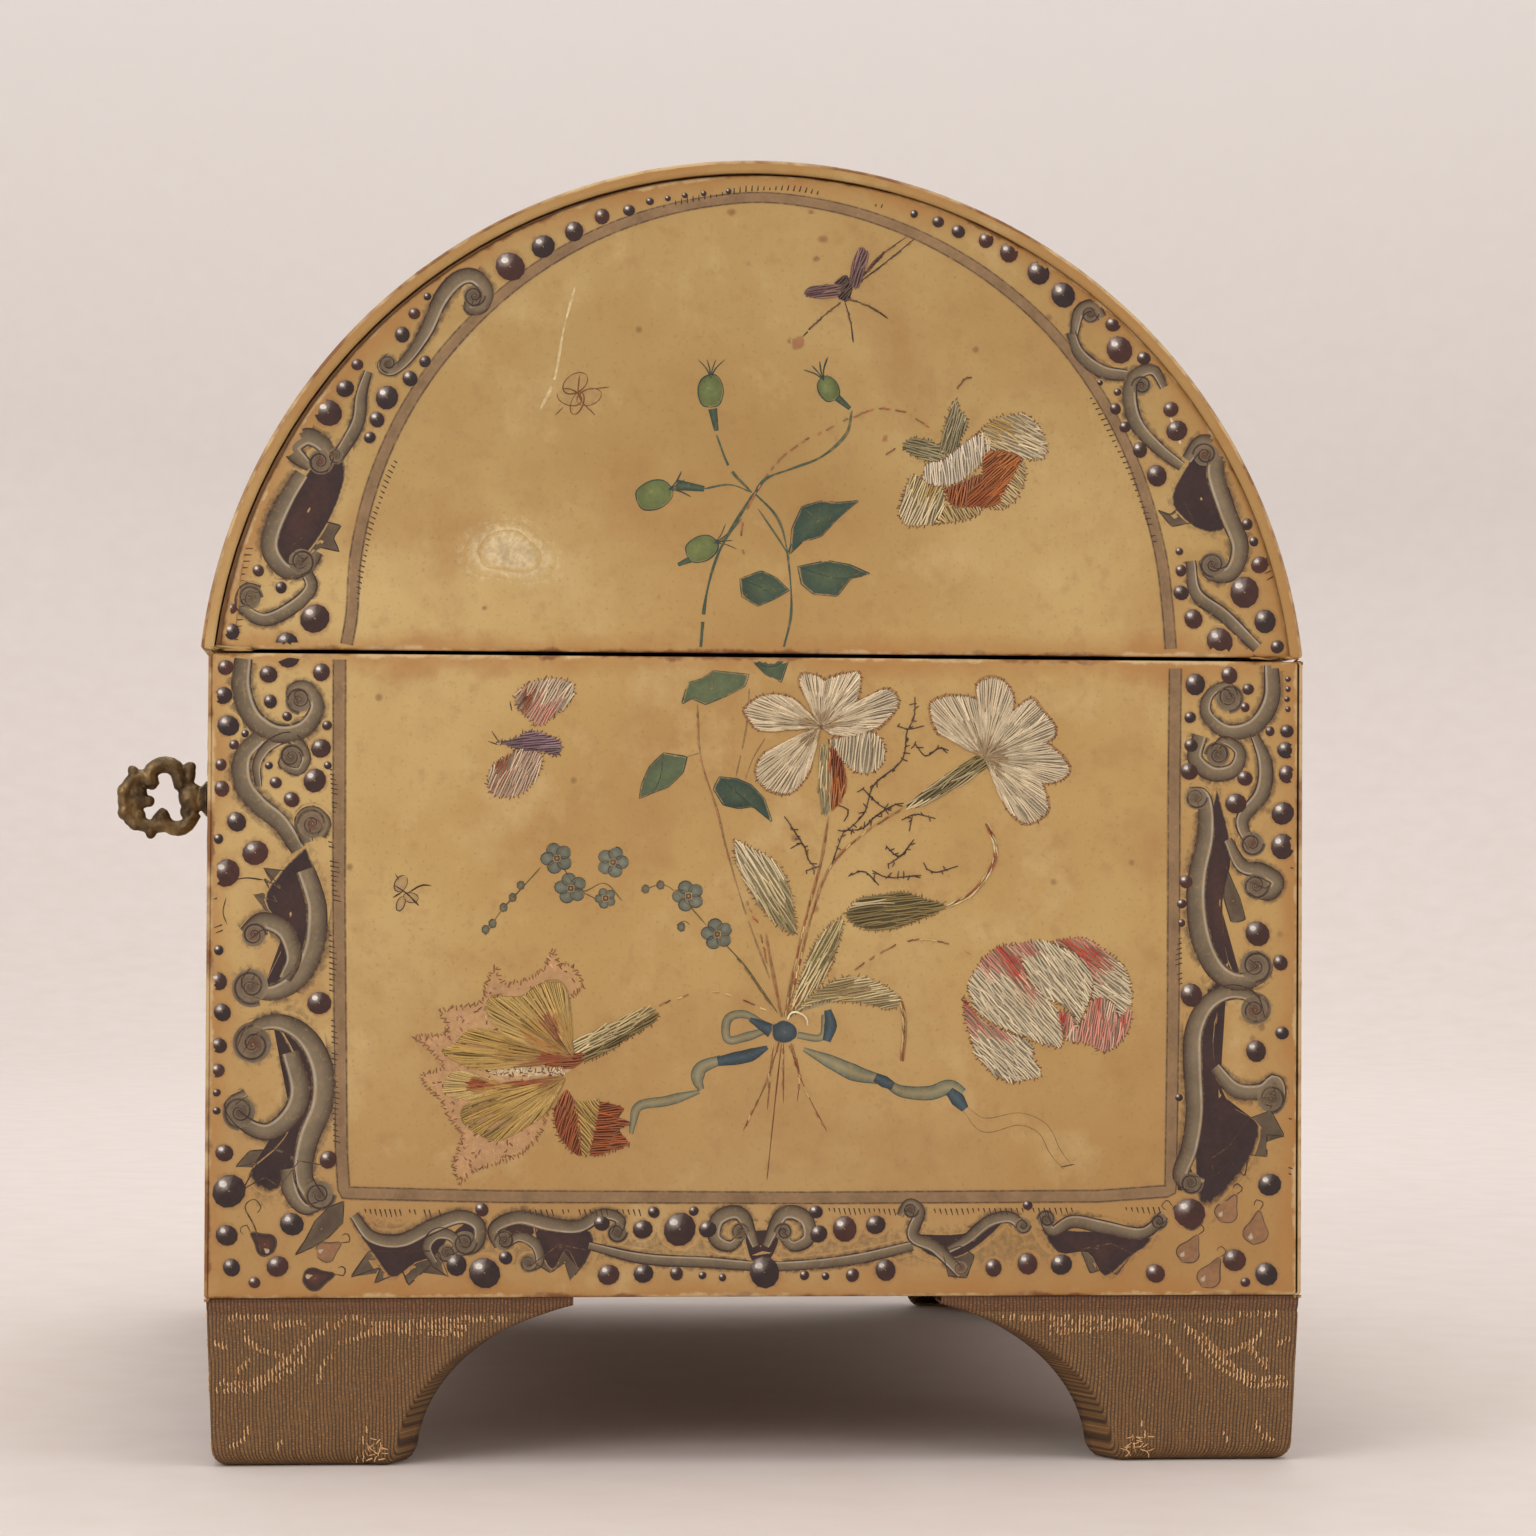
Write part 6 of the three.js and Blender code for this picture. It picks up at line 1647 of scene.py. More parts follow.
def rose_stems(needle, painter):
    for (x, y), size, lean in rosebuds:
        ahead, aside = leaning(lean)
        shape = [(-1.1, 0), (-0.9, 0.7), (0, 1.0), (0.8, 0.7), (1.1, 0.15), (0.8, -0.7), (0, -1.0),
                 (-0.9, -0.7)]
        outline = [np.array([x, y]) + ahead * a * size + aside * b * size * 0.85 for a, b in shape]
        painter.patch(outline, (x - 3, y - 3), linear(122, 132, 76), bud_green, 0.92, 0.035, 0.9)
        painter.line([*outline, outline[0]], 1.5, leaf_dark, 0.85, 0.05, 0.05)
        tip = np.array([x, y]) + ahead * size * 1.1
        for spread in (-0.5, -0.15, 0.2, 0.55):
            bent, end = tip + ahead * 6 + aside * spread * 9, tip + ahead * 15 + aside * spread * 26
            painter.line([tip - ahead * 4, bent, end], 1.7, leaf_dark, 0.9, 0.05, 0.0)
    calyx = [((710, 410), (714, 432), 9), ((834, 398), (848, 410), 8), ((674, 486), (702, 490), 11),
             ((690, 560), (676, 566), 7)]
    lanes = [(-1.0, leaf_dark, 0.8), (0, linear(76, 92, 66), 0.85), (1.0, leaf_dark, 0.8)]
    for start, stop, width in calyx:
        painter.ribbon([start, stop], (width, width * 0.5), lanes, 0.036, 0.5, smooth=False)
    stems = [(((714, 436), (728, 470), (750, 494)), 2.5), (((702, 490), (728, 486), (750, 494)), 2.0),
             (((850, 412), (844, 436), (820, 458), (790, 470), (764, 480), (752, 496)), 3.0),
             (((752, 494), (736, 520), (716, 556), (704, 600), (699, 652)), 3.2),
             (((752, 494), (776, 520), (786, 556), (790, 612), (782, 652)), 2.2),
             (((740, 520), (722, 540), (712, 546)), 2.0), (((786, 556), (790, 545)), 2.0),
             (((786, 590), (760, 592)), 1.8), (((756, 510), (780, 545), (788, 560)), 1.6)]
    for path, width in stems:
        painter.line(path, width + 0.6, linear(66, 84, 66), 0.85, 0.035, 0.08)
    needle.stem([(832, 428), (800, 444), (770, 470), (742, 520), (742, 560)], 2,
                [linear(182, 108, 70), stem_silk], 1.8, 0.35)


def lower_stems(needle, painter):
    stems = [(((696, 705), (700, 760), (716, 810), (726, 850), (744, 910), (770, 980)), 2.4),
             (((748, 690), (745, 730), (735, 778)), 2.0), (((764, 740), (752, 760), (744, 782)), 1.6),
             (((686, 758), (700, 754)), 1.6)]
    for path, width in stems:
        painter.line(path, width, linear(112, 84, 60), 0.6, 0.03, 0.2)
    needle.stem([(696, 705), (700, 760), (716, 810), (726, 850), (738, 892)], 2,
                [linear(176, 110, 74), stem_silk], 1.8, 0.55)


def dragonfly(needle, painter):
    silk_tones = [(0, violet_wash), (1, linear(146, 112, 104))]
    leaf(needle, painter, ((846, 284), (850, 262), (858, 248), (866, 256), (862, 272), (854, 290)), 70,
         silk_tones, edge=None, length=4)
    leaf(needle, painter, ((838, 296), (818, 300), (802, 296), (806, 288), (824, 286), (842, 286)), 8,
         silk_tones, edge=None, length=4)
    leaf(needle, painter, ((836, 300), (832, 286), (842, 276), (850, 286), (846, 302)), 45,
         [(0, linear(74, 50, 52)), (1, linear(60, 40, 44))], length=3)
    for path in (((846, 300), (868, 308), (886, 320)), ((842, 302), (848, 322), (851, 344)),
                 ((838, 304), (820, 318), (800, 338)), ((856, 284), (880, 266), (912, 240)),
                 ((858, 280), (876, 258), (904, 238)), ((862, 276), (884, 252))):
        painter.line(path, 1.6, twig_silk, 0.9, 0.045, 0.06)
        needle.stem(path, 1, [outline_silk, twig_silk], 1.8, 0.35)
    painter.patch([(788, 340), (800, 336), (802, 348), (790, 352)], (796, 344), linear(160, 100, 80),
                  halo_brown, 0.6, 0.03, 0.7)


def wing(x, y, length, width, lean):
    """The outline of an insect's wing, a leaning oval."""
    turn = math.radians(lean)
    return [(x + length * math.cos(a) * math.cos(turn) - width * math.sin(a) * math.sin(turn),
             y - length * math.cos(a) * math.sin(turn) - width * math.sin(a) * math.cos(turn))
            for a in np.linspace(0, 2 * math.pi, 11)[:-1]]


def fly(needle, painter):
    for x, y, *size in ((572, 384, 14, 9, 35), (566, 398, 13, 8, 160), (586, 398, 13, 8, 20),
                        (574, 404, 12, 6, 250)):
        ring = wing(x, y, *size)
        painter.patch(ring, (x, y), linear(160, 132, 98), linear(142, 110, 78), 0.22, 0.025, 0.85)
        painter.line([*ring, ring[0]], 1.6, outline_silk, 0.9, 0.04, 0.1)
    for path in (((576, 376), (576, 398), (592, 416)), ((586, 390), (606, 388)), ((560, 408), (552, 416))):
        painter.line(path, 1.8, outline_silk, 0.8, 0.045, 0.05)


def bee(needle, painter):
    for x, y, *size in ((400, 884, 9, 6, 60), (410, 898, 8, 5, -10), (400, 904, 8, 4, 70)):
        ring = wing(x, y, *size)
        painter.patch(ring, (x, y), linear(176, 148, 108), linear(150, 120, 84), 0.45, 0.025, 0.85)
        painter.line([*ring, ring[0]], 1.3, ink, 0.8, 0.04, 0.1)
    for path in (((394, 886), (406, 894), (418, 906)), ((406, 894), (420, 886), (430, 886)),
                 ((398, 880), (394, 874)), ((402, 892), (392, 898))):
        painter.line(path, 2.0, ink, 0.85, 0.045, 0.05)


def make_thread_tree():
    """Geometry nodes: loose edges become round threads, as thick as each thread's own radius says."""
    tree, recipe = new_group("round_threads", "GeometryNodeTree",
                             {"Paths": "Geometry", "Sides": "Int", "Material": "Material"},
                             {"Threads": "Geometry"})
    given = recipe.add("NodeGroupInput").outputs
    paths = recipe.add("GeometryNodeMeshToCurve", {"Mesh": given["Paths"]}).outputs["Curve"]
    own = recipe.add("GeometryNodeInputNamedAttribute", {"Name": "radius_mm"},
                     data_type="FLOAT").outputs["Attribute"]
    real = recipe.math("MULTIPLY", own, MM)
    section = recipe.add("GeometryNodeCurvePrimitiveCircle", {"Resolution": given["Sides"], "Radius": 1.0})
    made = recipe.add("GeometryNodeCurveToMesh", {"Curve": paths, "Profile Curve": section.outputs["Curve"],
                                                  "Scale": real, "Fill Caps": True}).outputs["Mesh"]
    smooth = recipe.add("GeometryNodeSetShadeSmooth", {"Geometry": made}).outputs["Geometry"]
    real_mesh = recipe.add("GeometryNodeRealizeInstances", {"Geometry": smooth}).outputs["Geometry"]
    silky = recipe.add("GeometryNodeSetMaterial", {"Geometry": real_mesh, "Material": given["Material"]})
    recipe.add("NodeGroupOutput", {"Threads": silky.outputs["Geometry"]})
    return tree


def make_floss():
    material, recipe, shader, spot = new_material("silk_floss")
    dyed = recipe.add("ShaderNodeAttribute", attribute_name="thread").outputs["Color"]
    strand = recipe.noise(spot, 2400, 2, 0.6)
    fade = recipe.noise(spot, 120, 3, 0.5)
    tone = recipe.mix(recipe.spread(strand, 0.3, 0.7, 0, 0.35), dyed,
                      recipe.mix(0.5, dyed, linear(70, 48, 30)))
    tone = recipe.tint(tone, fade, 0.5, 0.8, 0.25, linear(190, 160, 112))
    recipe.wire(shader, {"Base Color": tone, "Roughness": recipe.spread(strand, 0.3, 0.7, 0.3, 0.5),
                         "Normal": recipe.bump(strand, 0.4, 0.0001), "Specular IOR Level": 0.6})
    return material


thread_tree = make_thread_tree()
floss = make_floss()


def work_threads(needle, name, sides=5, material=None):
    """All threads of one side of the casket as one plain mesh."""
    places = np.concatenate([t[0] for t in needle.threads])
    lifts = np.concatenate([t[1] for t in needle.threads])
    counts = [len(t[0]) for t in needle.threads]
    colours = np.repeat([[*t[2], 1.0] for t in needle.threads], counts, axis=0)
    radii = np.repeat([t[3] for t in needle.threads], counts)
    starts = np.cumsum([0, *counts])
    edges = [(k, k + 1) for start, count in zip(starts, counts) for k in range(start, start + count - 1)]
    points = needle.face.place(places[:, 0], places[:, 1], lifts)
    mesh = bpy.data.meshes.new("thread_paths")
    mesh.from_pydata(points.tolist(), edges, [])
    mesh.attributes.new("thread", "FLOAT_COLOR", "POINT").data.foreach_set("color",
                                                                           colours.astype(np.float32).ravel())
    mesh.attributes.new("radius_mm", "FLOAT", "POINT").data.foreach_set("value", radii.astype(np.float32))
    paths = bpy.data.objects.new("thread_paths", mesh)
    bpy.context.collection.objects.link(paths)
    maker = paths.modifiers.new("threads", "NODES")
    maker.node_group = thread_tree
    sockets = {item.name: item.identifier for item in thread_tree.interface.items_tree
               if item.item_type == "SOCKET" and item.in_out == "INPUT"}
    maker[sockets["Sides"]] = sides
    maker[sockets["Material"]] = material or floss
    depsgraph = bpy.context.evaluated_depsgraph_get()
    made = bpy.data.meshes.new_from_object(paths.evaluated_get(depsgraph), preserve_all_data_layers=True,
                                           depsgraph=depsgraph)
    bpy.data.objects.remove(paths)
    made.name = name
    work = bpy.data.objects.new(name, made)
    bpy.context.collection.objects.link(work)
    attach(work, needle.face.body)


def age_marks(painter):
    """A pale rubbed patch, a scratch and a few brown spots."""
    patch = [(448, 552), (462, 528), (490, 514), (524, 516), (548, 536), (566, 556), (560, 582), (530, 592),
             (496, 586), (462, 580)]
    for reach, cover, lift in ((1.0, 0.34, 0.012), (0.8, 0.55, 0.02), (0.55, 0.7, 0.028)):
        ring = [(506 + reach * (x - 506), 552 + reach * (y - 552)) for x, y in patch]
        painter.patch(ring, (506, 552), linear(216, 196, 154), linear(210, 188, 144), cover, lift, 0.75)
    painter.line([(571, 288), (560, 330), (551, 380), (537, 410)], 3.2, linear(214, 194, 150), 0.6, 0.02, 0.1)
    painter.line([(868, 172), (926, 184), (985, 208), (1040, 240), (1090, 278)], 6, linear(96, 58, 50), 0.6,
                 0.007, 0.12)
    painter.line([(640, 176), (700, 167), (772, 168), (850, 170)], 5, linear(104, 66, 50), 0.5, 0.007, 0.2)
    for path, width in (([(526, 224), (536, 219), (545, 217)], 5), ([(612, 186), (640, 179)], 3),
                        ([(1044, 262), (1060, 276)], 3), ([(1170, 420), (1180, 446)], 4)):
        painter.line(path, width, linear(232, 214, 176), 0.8, 0.05, 0.1)
    for x, y, radius in ((728, 213, 6), (808, 213, 4), (814, 260, 5), (482, 609, 4), (788, 342, 5),
                         (974, 351, 5), (820, 240, 7)):
        ring = [(x + radius * math.cos(a), y + radius * 0.8 * math.sin(a)) for a in np.linspace(0, 5.6, 8)]
        painter.patch(ring, (x, y), linear(132, 88, 50), halo_brown, 0.6, 0.02, 0.5)


case_spray = (lower_stems, small_flowers, dark_twigs, silk_foliage, bow, painted_leaves, white_flowers, tulip,
              frilled_flower, butterfly, bee)
lid_spray = (rose_stems, painted_leaves, cream_flower, dragonfly, fly)


def work_spray(spray, needle, painter):
    """Each motif of a spray in turn, in paint and in thread."""
    for motif in spray:
        motif(needle, painter)


case_needle = Needle(right_end, photo_spot)
work_spray(case_spray, case_needle, case_painting)
lid_needle = Needle(right_arch, photo_spot)
lid_painting.onto(photo_spot)
work_spray(lid_spray, lid_needle, lid_painting)
age_marks(lid_painting)
work_threads(case_needle, "silks_right_end")
work_threads(lid_needle, "silks_lid_right_end")
case_painting.finish("painting_right_end")
lid_painting.finish("painting_lid_right_end")

# Painting and silks of the other sides
# The left end and the front, back and dome are worked with the same border and the same flowers: the
# left end in mirror image, the front with a spray on each side of the lock, the back and the dome with
# one spray in the middle. Paint and silk lie on the parchment of each side and are held by it.
back_pitch = 0.52
side_fine = 0.7
case_floor = foot_height
strip_copy, strip_across = 0.82, 67
spray_copy, front_spray_across, front_spray_up, back_spray_up = 0.8, 68, 14, 12
dome_strip, dome_strip_step, dome_spray_up = 0.845, 105, dome_length / 2 - 86
frame_half, frame_front, frame_back = 135, 21, dome_length - 21


def mirrored(points):
    """The end's places as they lie on the left end."""
    return photo_spot(points) * (-1, 1)


def mirrored_lid(points):
    return lid_spot(points) * (-1, 1)


def widened(points):
    """The end's border with its halves drawn apart, for a long side."""
    spots = photo_spot(points)
    return spots + np.sign(spots[:, :1]) * ((case_length - case_depth) / 2, 0)


def moved(scale, across, up, flip=1):
    """A map that scales the picture about the middle of the case's lower edge and moves it."""
    def place(points):
        return (photo_spot(points) - (0, case_floor)) * (scale * flip, scale) + (across, up)
    return place


left_painting = paint_case_end(left_end, mirrored, (), side_fine)
left_needle = Needle(left_end, mirrored, pitch=back_pitch)
work_spray(case_spray, left_needle, left_painting)
work_threads(left_needle, "silks_left_end", 3)
left_painting.finish("painting_left_end")

left_lid_painting = paint_lid_end(left_arch, mirrored_lid, side_fine)
left_lid_needle = Needle(left_arch, mirrored, pitch=back_pitch)
left_lid_painting.onto(mirrored)
work_spray(lid_spray, left_lid_needle, left_lid_painting)
work_threads(left_lid_needle, "silks_lid_left_end", 3)
left_lid_painting.finish("painting_lid_left_end")

long_bottoms = [(moved(strip_copy, side * strip_across, case_floor, side), strip_copy) for side in (-1, 1)]
front_painting = paint_case_end(front_side, widened, long_bottoms, side_fine)
for side, end in ((-1, "left"), (1, "right")):
    spray_map = moved(spray_copy, side * front_spray_across, case_floor + front_spray_up, -side)
    front_needle = Needle(front_side, spray_map, spray_copy, back_pitch)
    front_painting.onto(spray_map, spray_copy)
    work_spray(case_spray, front_needle, front_painting)
    work_threads(front_needle, "silks_front_" + end, 3)
front_painting.finish("painting_front")

back_painting = paint_case_end(back_side, widened, long_bottoms, side_fine)
back_spray = (moved(spray_copy, 0, case_floor + back_spray_up), spray_copy)
back_needle = Needle(back_side, *back_spray, back_pitch)
back_painting.onto(*back_spray)
work_spray((lower_stems, small_flowers, silk_foliage, bow, painted_leaves, white_flowers, tulip,
            frilled_flower), back_needle, back_painting)
work_threads(back_needle, "silks_back", 3)
back_painting.finish("painting_back")

dome_painting = Painter(dome, widened, side_fine)
for side in (-1, 1):
    for copy in range(3):
        shift = side * (case_length / 2 - dome_strip * case_depth / 2)
        dome_painting.onto(moved(dome_strip, shift, dome_strip_step * copy), dome_strip)
        paint_set(dome_painting, *(left_border if side < 0 else right_border))
for edge, turn in ((0, 1), (dome_length, -1)):
    for side in (-1, 1):
        def edge_strip(points, side=side, edge=edge, turn=turn):
            spots = moved(strip_copy, side * strip_across, 0, side)(points)
            return np.stack([spots[:, 0] * turn, edge + turn * spots[:, 1]], 1)
        dome_painting.onto(edge_strip, strip_copy)
        paint_set(dome_painting, *bottom_border)
inner_frame = [(-frame_half, frame_front), (frame_half, frame_front), (frame_half, frame_back),
               (-frame_half, frame_back), (-frame_half, frame_front)]
dome_painting.onto(np.array, 1.0)
dome_painting.ribbon(straight(*inner_frame), (14, 14, 14), band_lanes, 0.03, 1.0, smooth=False)
dome_spray = (moved(1.0, 0, dome_spray_up), 1.0)
dome_needle = Needle(dome, *dome_spray, back_pitch)
dome_painting.onto(*dome_spray)
work_spray(case_spray, dome_needle, dome_painting)
work_threads(dome_needle, "silks_dome", 3)
dome_painting.finish("painting_dome")

# Galloon feet
# Four bracket feet of softwood, each wrapped in a strip of ribbed galloon: silk warps over gold wefts,
# glued on, folded under the sole and along the hollow edge, with worn spots where the core shows.
foot_length, foot_base, foot_taper = 70.5, 33.5, 1.2
sole_round, hollow_round = 3.6, 0.9
toe_lean, toe_height, tip_height = 2.5, 2.9, 1.6
hollow_steep_shares, hollow_flat_shares = (0.04, 0.4), (0.35, 0.79)
foot_fold = 9.6
hollow_steps, face_rows, edge_rows, sole_rows = 60, 15, 6, 4
galloon_thickness = 0.55
rib_pitch, rib_height = 0.72, 0.075
ribs_per_arm = round(foot_length / rib_pitch)
band_height = 3.1
foot_top = foot_height
foot_low, foot_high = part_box("front_right_foot_cover")
foot_corner_x, foot_corner_y = foot_high.x / MM, (casket_middle - foot_low.y) / MM


def hollow_curve():
    """Places along the foot and heights of its lower edge, from the corner to the tip."""
    run = foot_length - foot_base - toe_lean
    rise = foot_height - tip_height - toe_height
    toe = np.array([foot_base + toe_lean, toe_height])
    steep = toe + np.array(hollow_steep_shares) * (run, rise)
    flat = toe + np.array(hollow_flat_shares) * (run, rise)
    tip = toe + (run, rise)
    t = np.linspace(0, 1, hollow_steps)[:, None]
    curve = ((1 - t) ** 3 * toe + 3 * t * (1 - t) ** 2 * steep + 3 * t * t * (1 - t) * flat + t ** 3 * tip)
    toe_arc = [(foot_base - 1.4, 0.0), (foot_base + 0.2, 0.35), (foot_base + 1.4, 1.2)]
    return np.concatenate([[(0, 0)], toe_arc, curve])


hollow = hollow_curve()


def foot_profile(along):
    """Rows of (depth, height) down the outer face of a foot, round its edge and in along its underside."""
    low = np.interp(along, hollow[:, 0], hollow[:, 1])
    share = np.clip((along - foot_base + 4) / 8, 0, 1)
    edge = sole_round * (1 - share) + hollow_round * share
    edge = min(edge, (foot_top - low) * 0.45)
    down = np.linspace(0, 1, face_rows)
    band = band_height / (foot_top - low - edge)
    down = np.sort(np.concatenate([down, [min(band, 0.9), min(band * 1.12, 0.95)]]))
    height = foot_top + down * (low + edge - foot_top)
    depth = foot_taper * (foot_top - height) / (foot_top - sole_round)
    turn = np.linspace(0, math.pi / 2, edge_rows)[1:]
    round_depth = depth[-1] + edge * (1 - np.cos(turn))
    round_height = low + edge * (1 - np.sin(turn))
    inward = np.linspace(round_depth[-1], foot_fold, sole_rows)[1:]
    return (np.concatenate([depth, round_depth, inward]),
            np.concatenate([height, round_height, np.full(len(inward), low)]))


def foot_spot(along, depth, height, corner):
    """A place on a foot: along is positive on the arm under the casket's end, negative on the other."""
    reach = depth + (foot_length - depth) * np.abs(along) / foot_length
    sign_x, sign_y = corner
    end_arm = along >= 0
    from_x = np.where(end_arm, depth, reach)
    from_y = np.where(end_arm, reach, depth)
    return np.stack([sign_x * (foot_corner_x - from_x), sign_y * (foot_corner_y - from_y)
                     + casket_middle / MM, height + 0 * depth], -1) * MM


def make_foot(corner_name, corner, material):
    """One foot's cover, ribbed along its length, with the woven band along its top."""
    steps = 4
    along = np.linspace(-foot_length, foot_length, 2 * ribs_per_arm * steps + 1)
    profiles = [foot_profile(abs(s)) for s in along]
    depth = np.stack([p[0] for p in profiles], 1)
    height = np.stack([p[1] for p in profiles], 1)
    s = np.broadcast_to(along, depth.shape)
    below = foot_top - height
    wander = 0.12 * np.sin(below / 3.1 + s / 9) + 0.08 * np.sin(below / 1.3 + s)
    phase = 2 * math.pi * (s + wander) / rib_pitch
    crest = 0.5 + 0.5 * np.cos(phase)
    strong = np.where(below < band_height, 1.6, 1.0)
    worn = 0.75 + 0.25 * np.sin(s / 2.3 + 1.7 * np.sin(below / 5)) * np.sin(below / 3.7)
    groove = np.exp(-((below - band_height) / 0.35) ** 2)
    lift = rib_height * (crest - 1) * strong * worn - 0.14 * groove
    points = foot_spot(s, depth - lift, np.maximum(height, -lift * 0.5), corner)
    flip = corner[0] * corner[1] < 0
    faces = grid_faces(*depth.shape)
    faces = [f[::-1] for f in faces] if flip else faces
    cover = add_piece(f"galloon_{corner_name}", points, faces, material, "case",
                      {"rib": crest.ravel(), "along": s.ravel(), "below": below.ravel()})
    thicken(cover, galloon_thickness * MM)
    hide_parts(f"{corner_name}_foot_cover")


def make_galloon():
    material, recipe, shader, spot = new_material("galloon")
    rib, along, below = [recipe.add("ShaderNodeAttribute", attribute_name=name).outputs["Fac"]
                         for name in ("rib", "along", "below")]
    cloth = recipe.add("ShaderNodeCombineXYZ", {"X": along, "Y": below}).outputs[0]
    picks = recipe.add("ShaderNodeMapping", {"Vector": cloth, "Scale": (1.3, 3.2, 1)}).outputs[0]
    glint = recipe.noise(picks, 1.0, 2, 0.6)
    thread = recipe.add("ShaderNodeMapping", {"Vector": cloth, "Scale": (1.35, 0.05, 1)}).outputs[0]
    streak = recipe.noise(thread, 1.0, 2, 0.7)
    area = recipe.noise(spot, 70, 4, 0.6)
    tone = recipe.mix(recipe.spread(streak, 0.3, 0.7), linear(104, 72, 40), linear(134, 94, 52))
    tone = recipe.tint(tone, area, 0.35, 0.65, 0.6, linear(116, 88, 50))
    tone = recipe.tint(tone, area, 0.6, 0.75, 0.5, linear(96, 60, 38))
    bright = recipe.math("MULTIPLY", recipe.spread(glint, 0.5, 0.72), recipe.spread(rib, 0.3, 1.0))
    tone = recipe.mix(recipe.math("MULTIPLY", bright, 0.75), tone, linear(206, 166, 110))
    in_band = recipe.spread(below, band_height + 0.2, band_height - 0.1)
    band_tone = recipe.mix(recipe.math("MULTIPLY", bright, 0.8), linear(106, 68, 38), linear(184, 134, 80))
    tone = recipe.mix(recipe.math("MULTIPLY", in_band, 0.8), tone, band_tone)
    # Painted shade: the grooves between the ribs are darkened, most where the rib is lowest.
    tone = recipe.tint(tone, rib, 0.5, 0.05, 0.9, linear(50, 32, 18))
    # Painted shade: the top 1.2 mm of the cover, just under the casket, fades to dark.
    tone = recipe.tint(tone, below, 1.2, 0.0, 0.6, linear(70, 36, 16))
    wefts = recipe.add("ShaderNodeTexWave", {"Vector": cloth, "Scale": 0.62}, bands_direction="Y")
    recipe.wire(shader, {"Base Color": tone, "Roughness": recipe.spread(bright, 0, 1, 0.62, 0.34),
                         "Metallic": recipe.math("MULTIPLY", bright, 0.6),
                         "Normal": recipe.bump(wefts.outputs["Fac"], 0.3, 0.0002)})
    return material


galloon = make_galloon()
foot_corners = {"front_left": (-1, -1), "front_right": (1, -1), "back_right": (1, 1), "back_left": (-1, 1)}
for corner_name, corner in foot_corners.items():
    make_foot(corner_name, corner, galloon)


float_lift, float_skip = 0.02, 0.22
toe_knots, toe_knot_middle, toe_knot_reach = 22, (foot_base - 2.2, 29.4), (1.5, 1.1)


class FootSide:
    """The two outer sides of a foot: along from its corner, and below its top."""

    def __init__(self, corner):
        self.corner, self.body = corner, "case"

    def place(self, along, below, lift):
        depth = foot_taper * below / (foot_top - sole_round) - lift - float_lift
        return foot_spot(along, depth, foot_top - below, self.corner)


def make_gilt():
    material, recipe, shader, spot = new_material("gilt_thread")
    dull = recipe.noise(spot, 900, 3, 0.6)
    tone = recipe.mix(recipe.spread(dull, 0.35, 0.65), linear(252, 214, 160), linear(196, 142, 88))
    recipe.wire(shader, {"Base Color": tone, "Roughness": recipe.spread(dull, 0.3, 0.7, 0.28, 0.5),
                         "Metallic": 0.3})
    return material


def weave_floats(corner_name, corner):
    """Gilt wefts that float over the ribs in curling lines, short upright dashes one rib apart."""
    needle = Needle(FootSide(corner), np.asarray)
    for path in float_lines:
        for side in (-1, 1):
            turned = np.array(path) * (side, 1)
            places, _, _ = walk(turned, rib_pitch * 0.6)
            rib = np.round(places[:, 0] / rib_pitch) * rib_pitch
            for along, below in zip(rib, places[:, 1]):
                if hand.random() < float_skip:
                    continue
                half = hand.uniform(0.25, 0.62)
                centre = below + hand.normal(0, 0.22)
                needle.stitch((along, centre - half), (along + 0.1 * side, centre + half), gold_silk, 0.14,
                              0.14)
    for _ in range(toe_knots):
        spot = np.array(toe_knot_middle) + np.clip(hand.normal(0, 1, 2), -2, 1.6) * toe_knot_reach
        turn = hand.uniform(0, math.pi)
        reach = np.array([math.cos(turn), math.sin(turn)]) * 0.6
        needle.stitch(spot - reach, spot + reach, gold_silk, 0.1, 0.22)
    work_threads(needle, f"gilt_floats_{corner_name}", 4, gilt)


float_lines = [
    [(4, 3.7), (11.6, 3.7)], [(12.6, 5.2), (18.8, 4.9)], [(23, 5.7), (27.6, 4.0), (32, 5), (45, 4.4),
                                                          (58, 4.2)],
    [(31, 6.1), (38, 5.4), (46, 5.5), (50, 5.8)], [(25, 9), (29.6, 7.3), (34.8, 6.2), (42, 6.8), (49, 7)],
    [(1.8, 17.6), (8.5, 17.6), (11, 16), (14.2, 14.7), (17.8, 11.7), (19.8, 8), (23, 5.7)],
    [(2.4, 16.2), (8.5, 16.4), (12, 14.6), (16, 11.4), (18.6, 8)], [(1.3, 8.6), (3.9, 9.6)],
    [(7, 6.8), (8.5, 9), (11.6, 10.4), (15.2, 11.1), (17.8, 9)], [(5.4, 14.2), (9.5, 10)],
    [(9, 15.8), (13.1, 13.2), (16.2, 11.1)], [(21.1, 15.8), (21.9, 13.2), (24, 10.4)],
    [(3.4, 28.7), (5.4, 27.7), (7.5, 25)], [(12.9, 28.7), (13.7, 27)], [(29.6, 27.6), (30.4, 25)]]
gilt = make_gilt()
for corner_name, corner in foot_corners.items():
    weave_floats(corner_name, corner)

# Silk lining
# Thin ochre silk stretched on card, one panel to each wall, to the dome and to the lid's two ends, and a
# floor pad of wool under silk, stitched through in a diamond pattern. The edges are turned and glued.
lining_cell = 4
lining_thickness = 0.45
turned_edge = (0, 0.25, 0.7, 1.6)
silk_ease = 0.1
pucker = 0.16
pad_cell = 3.2
pad_diamond, pad_dip, pad_seam = 42, 1.5, 2.2
pad_crown, pad_base = 6, 2


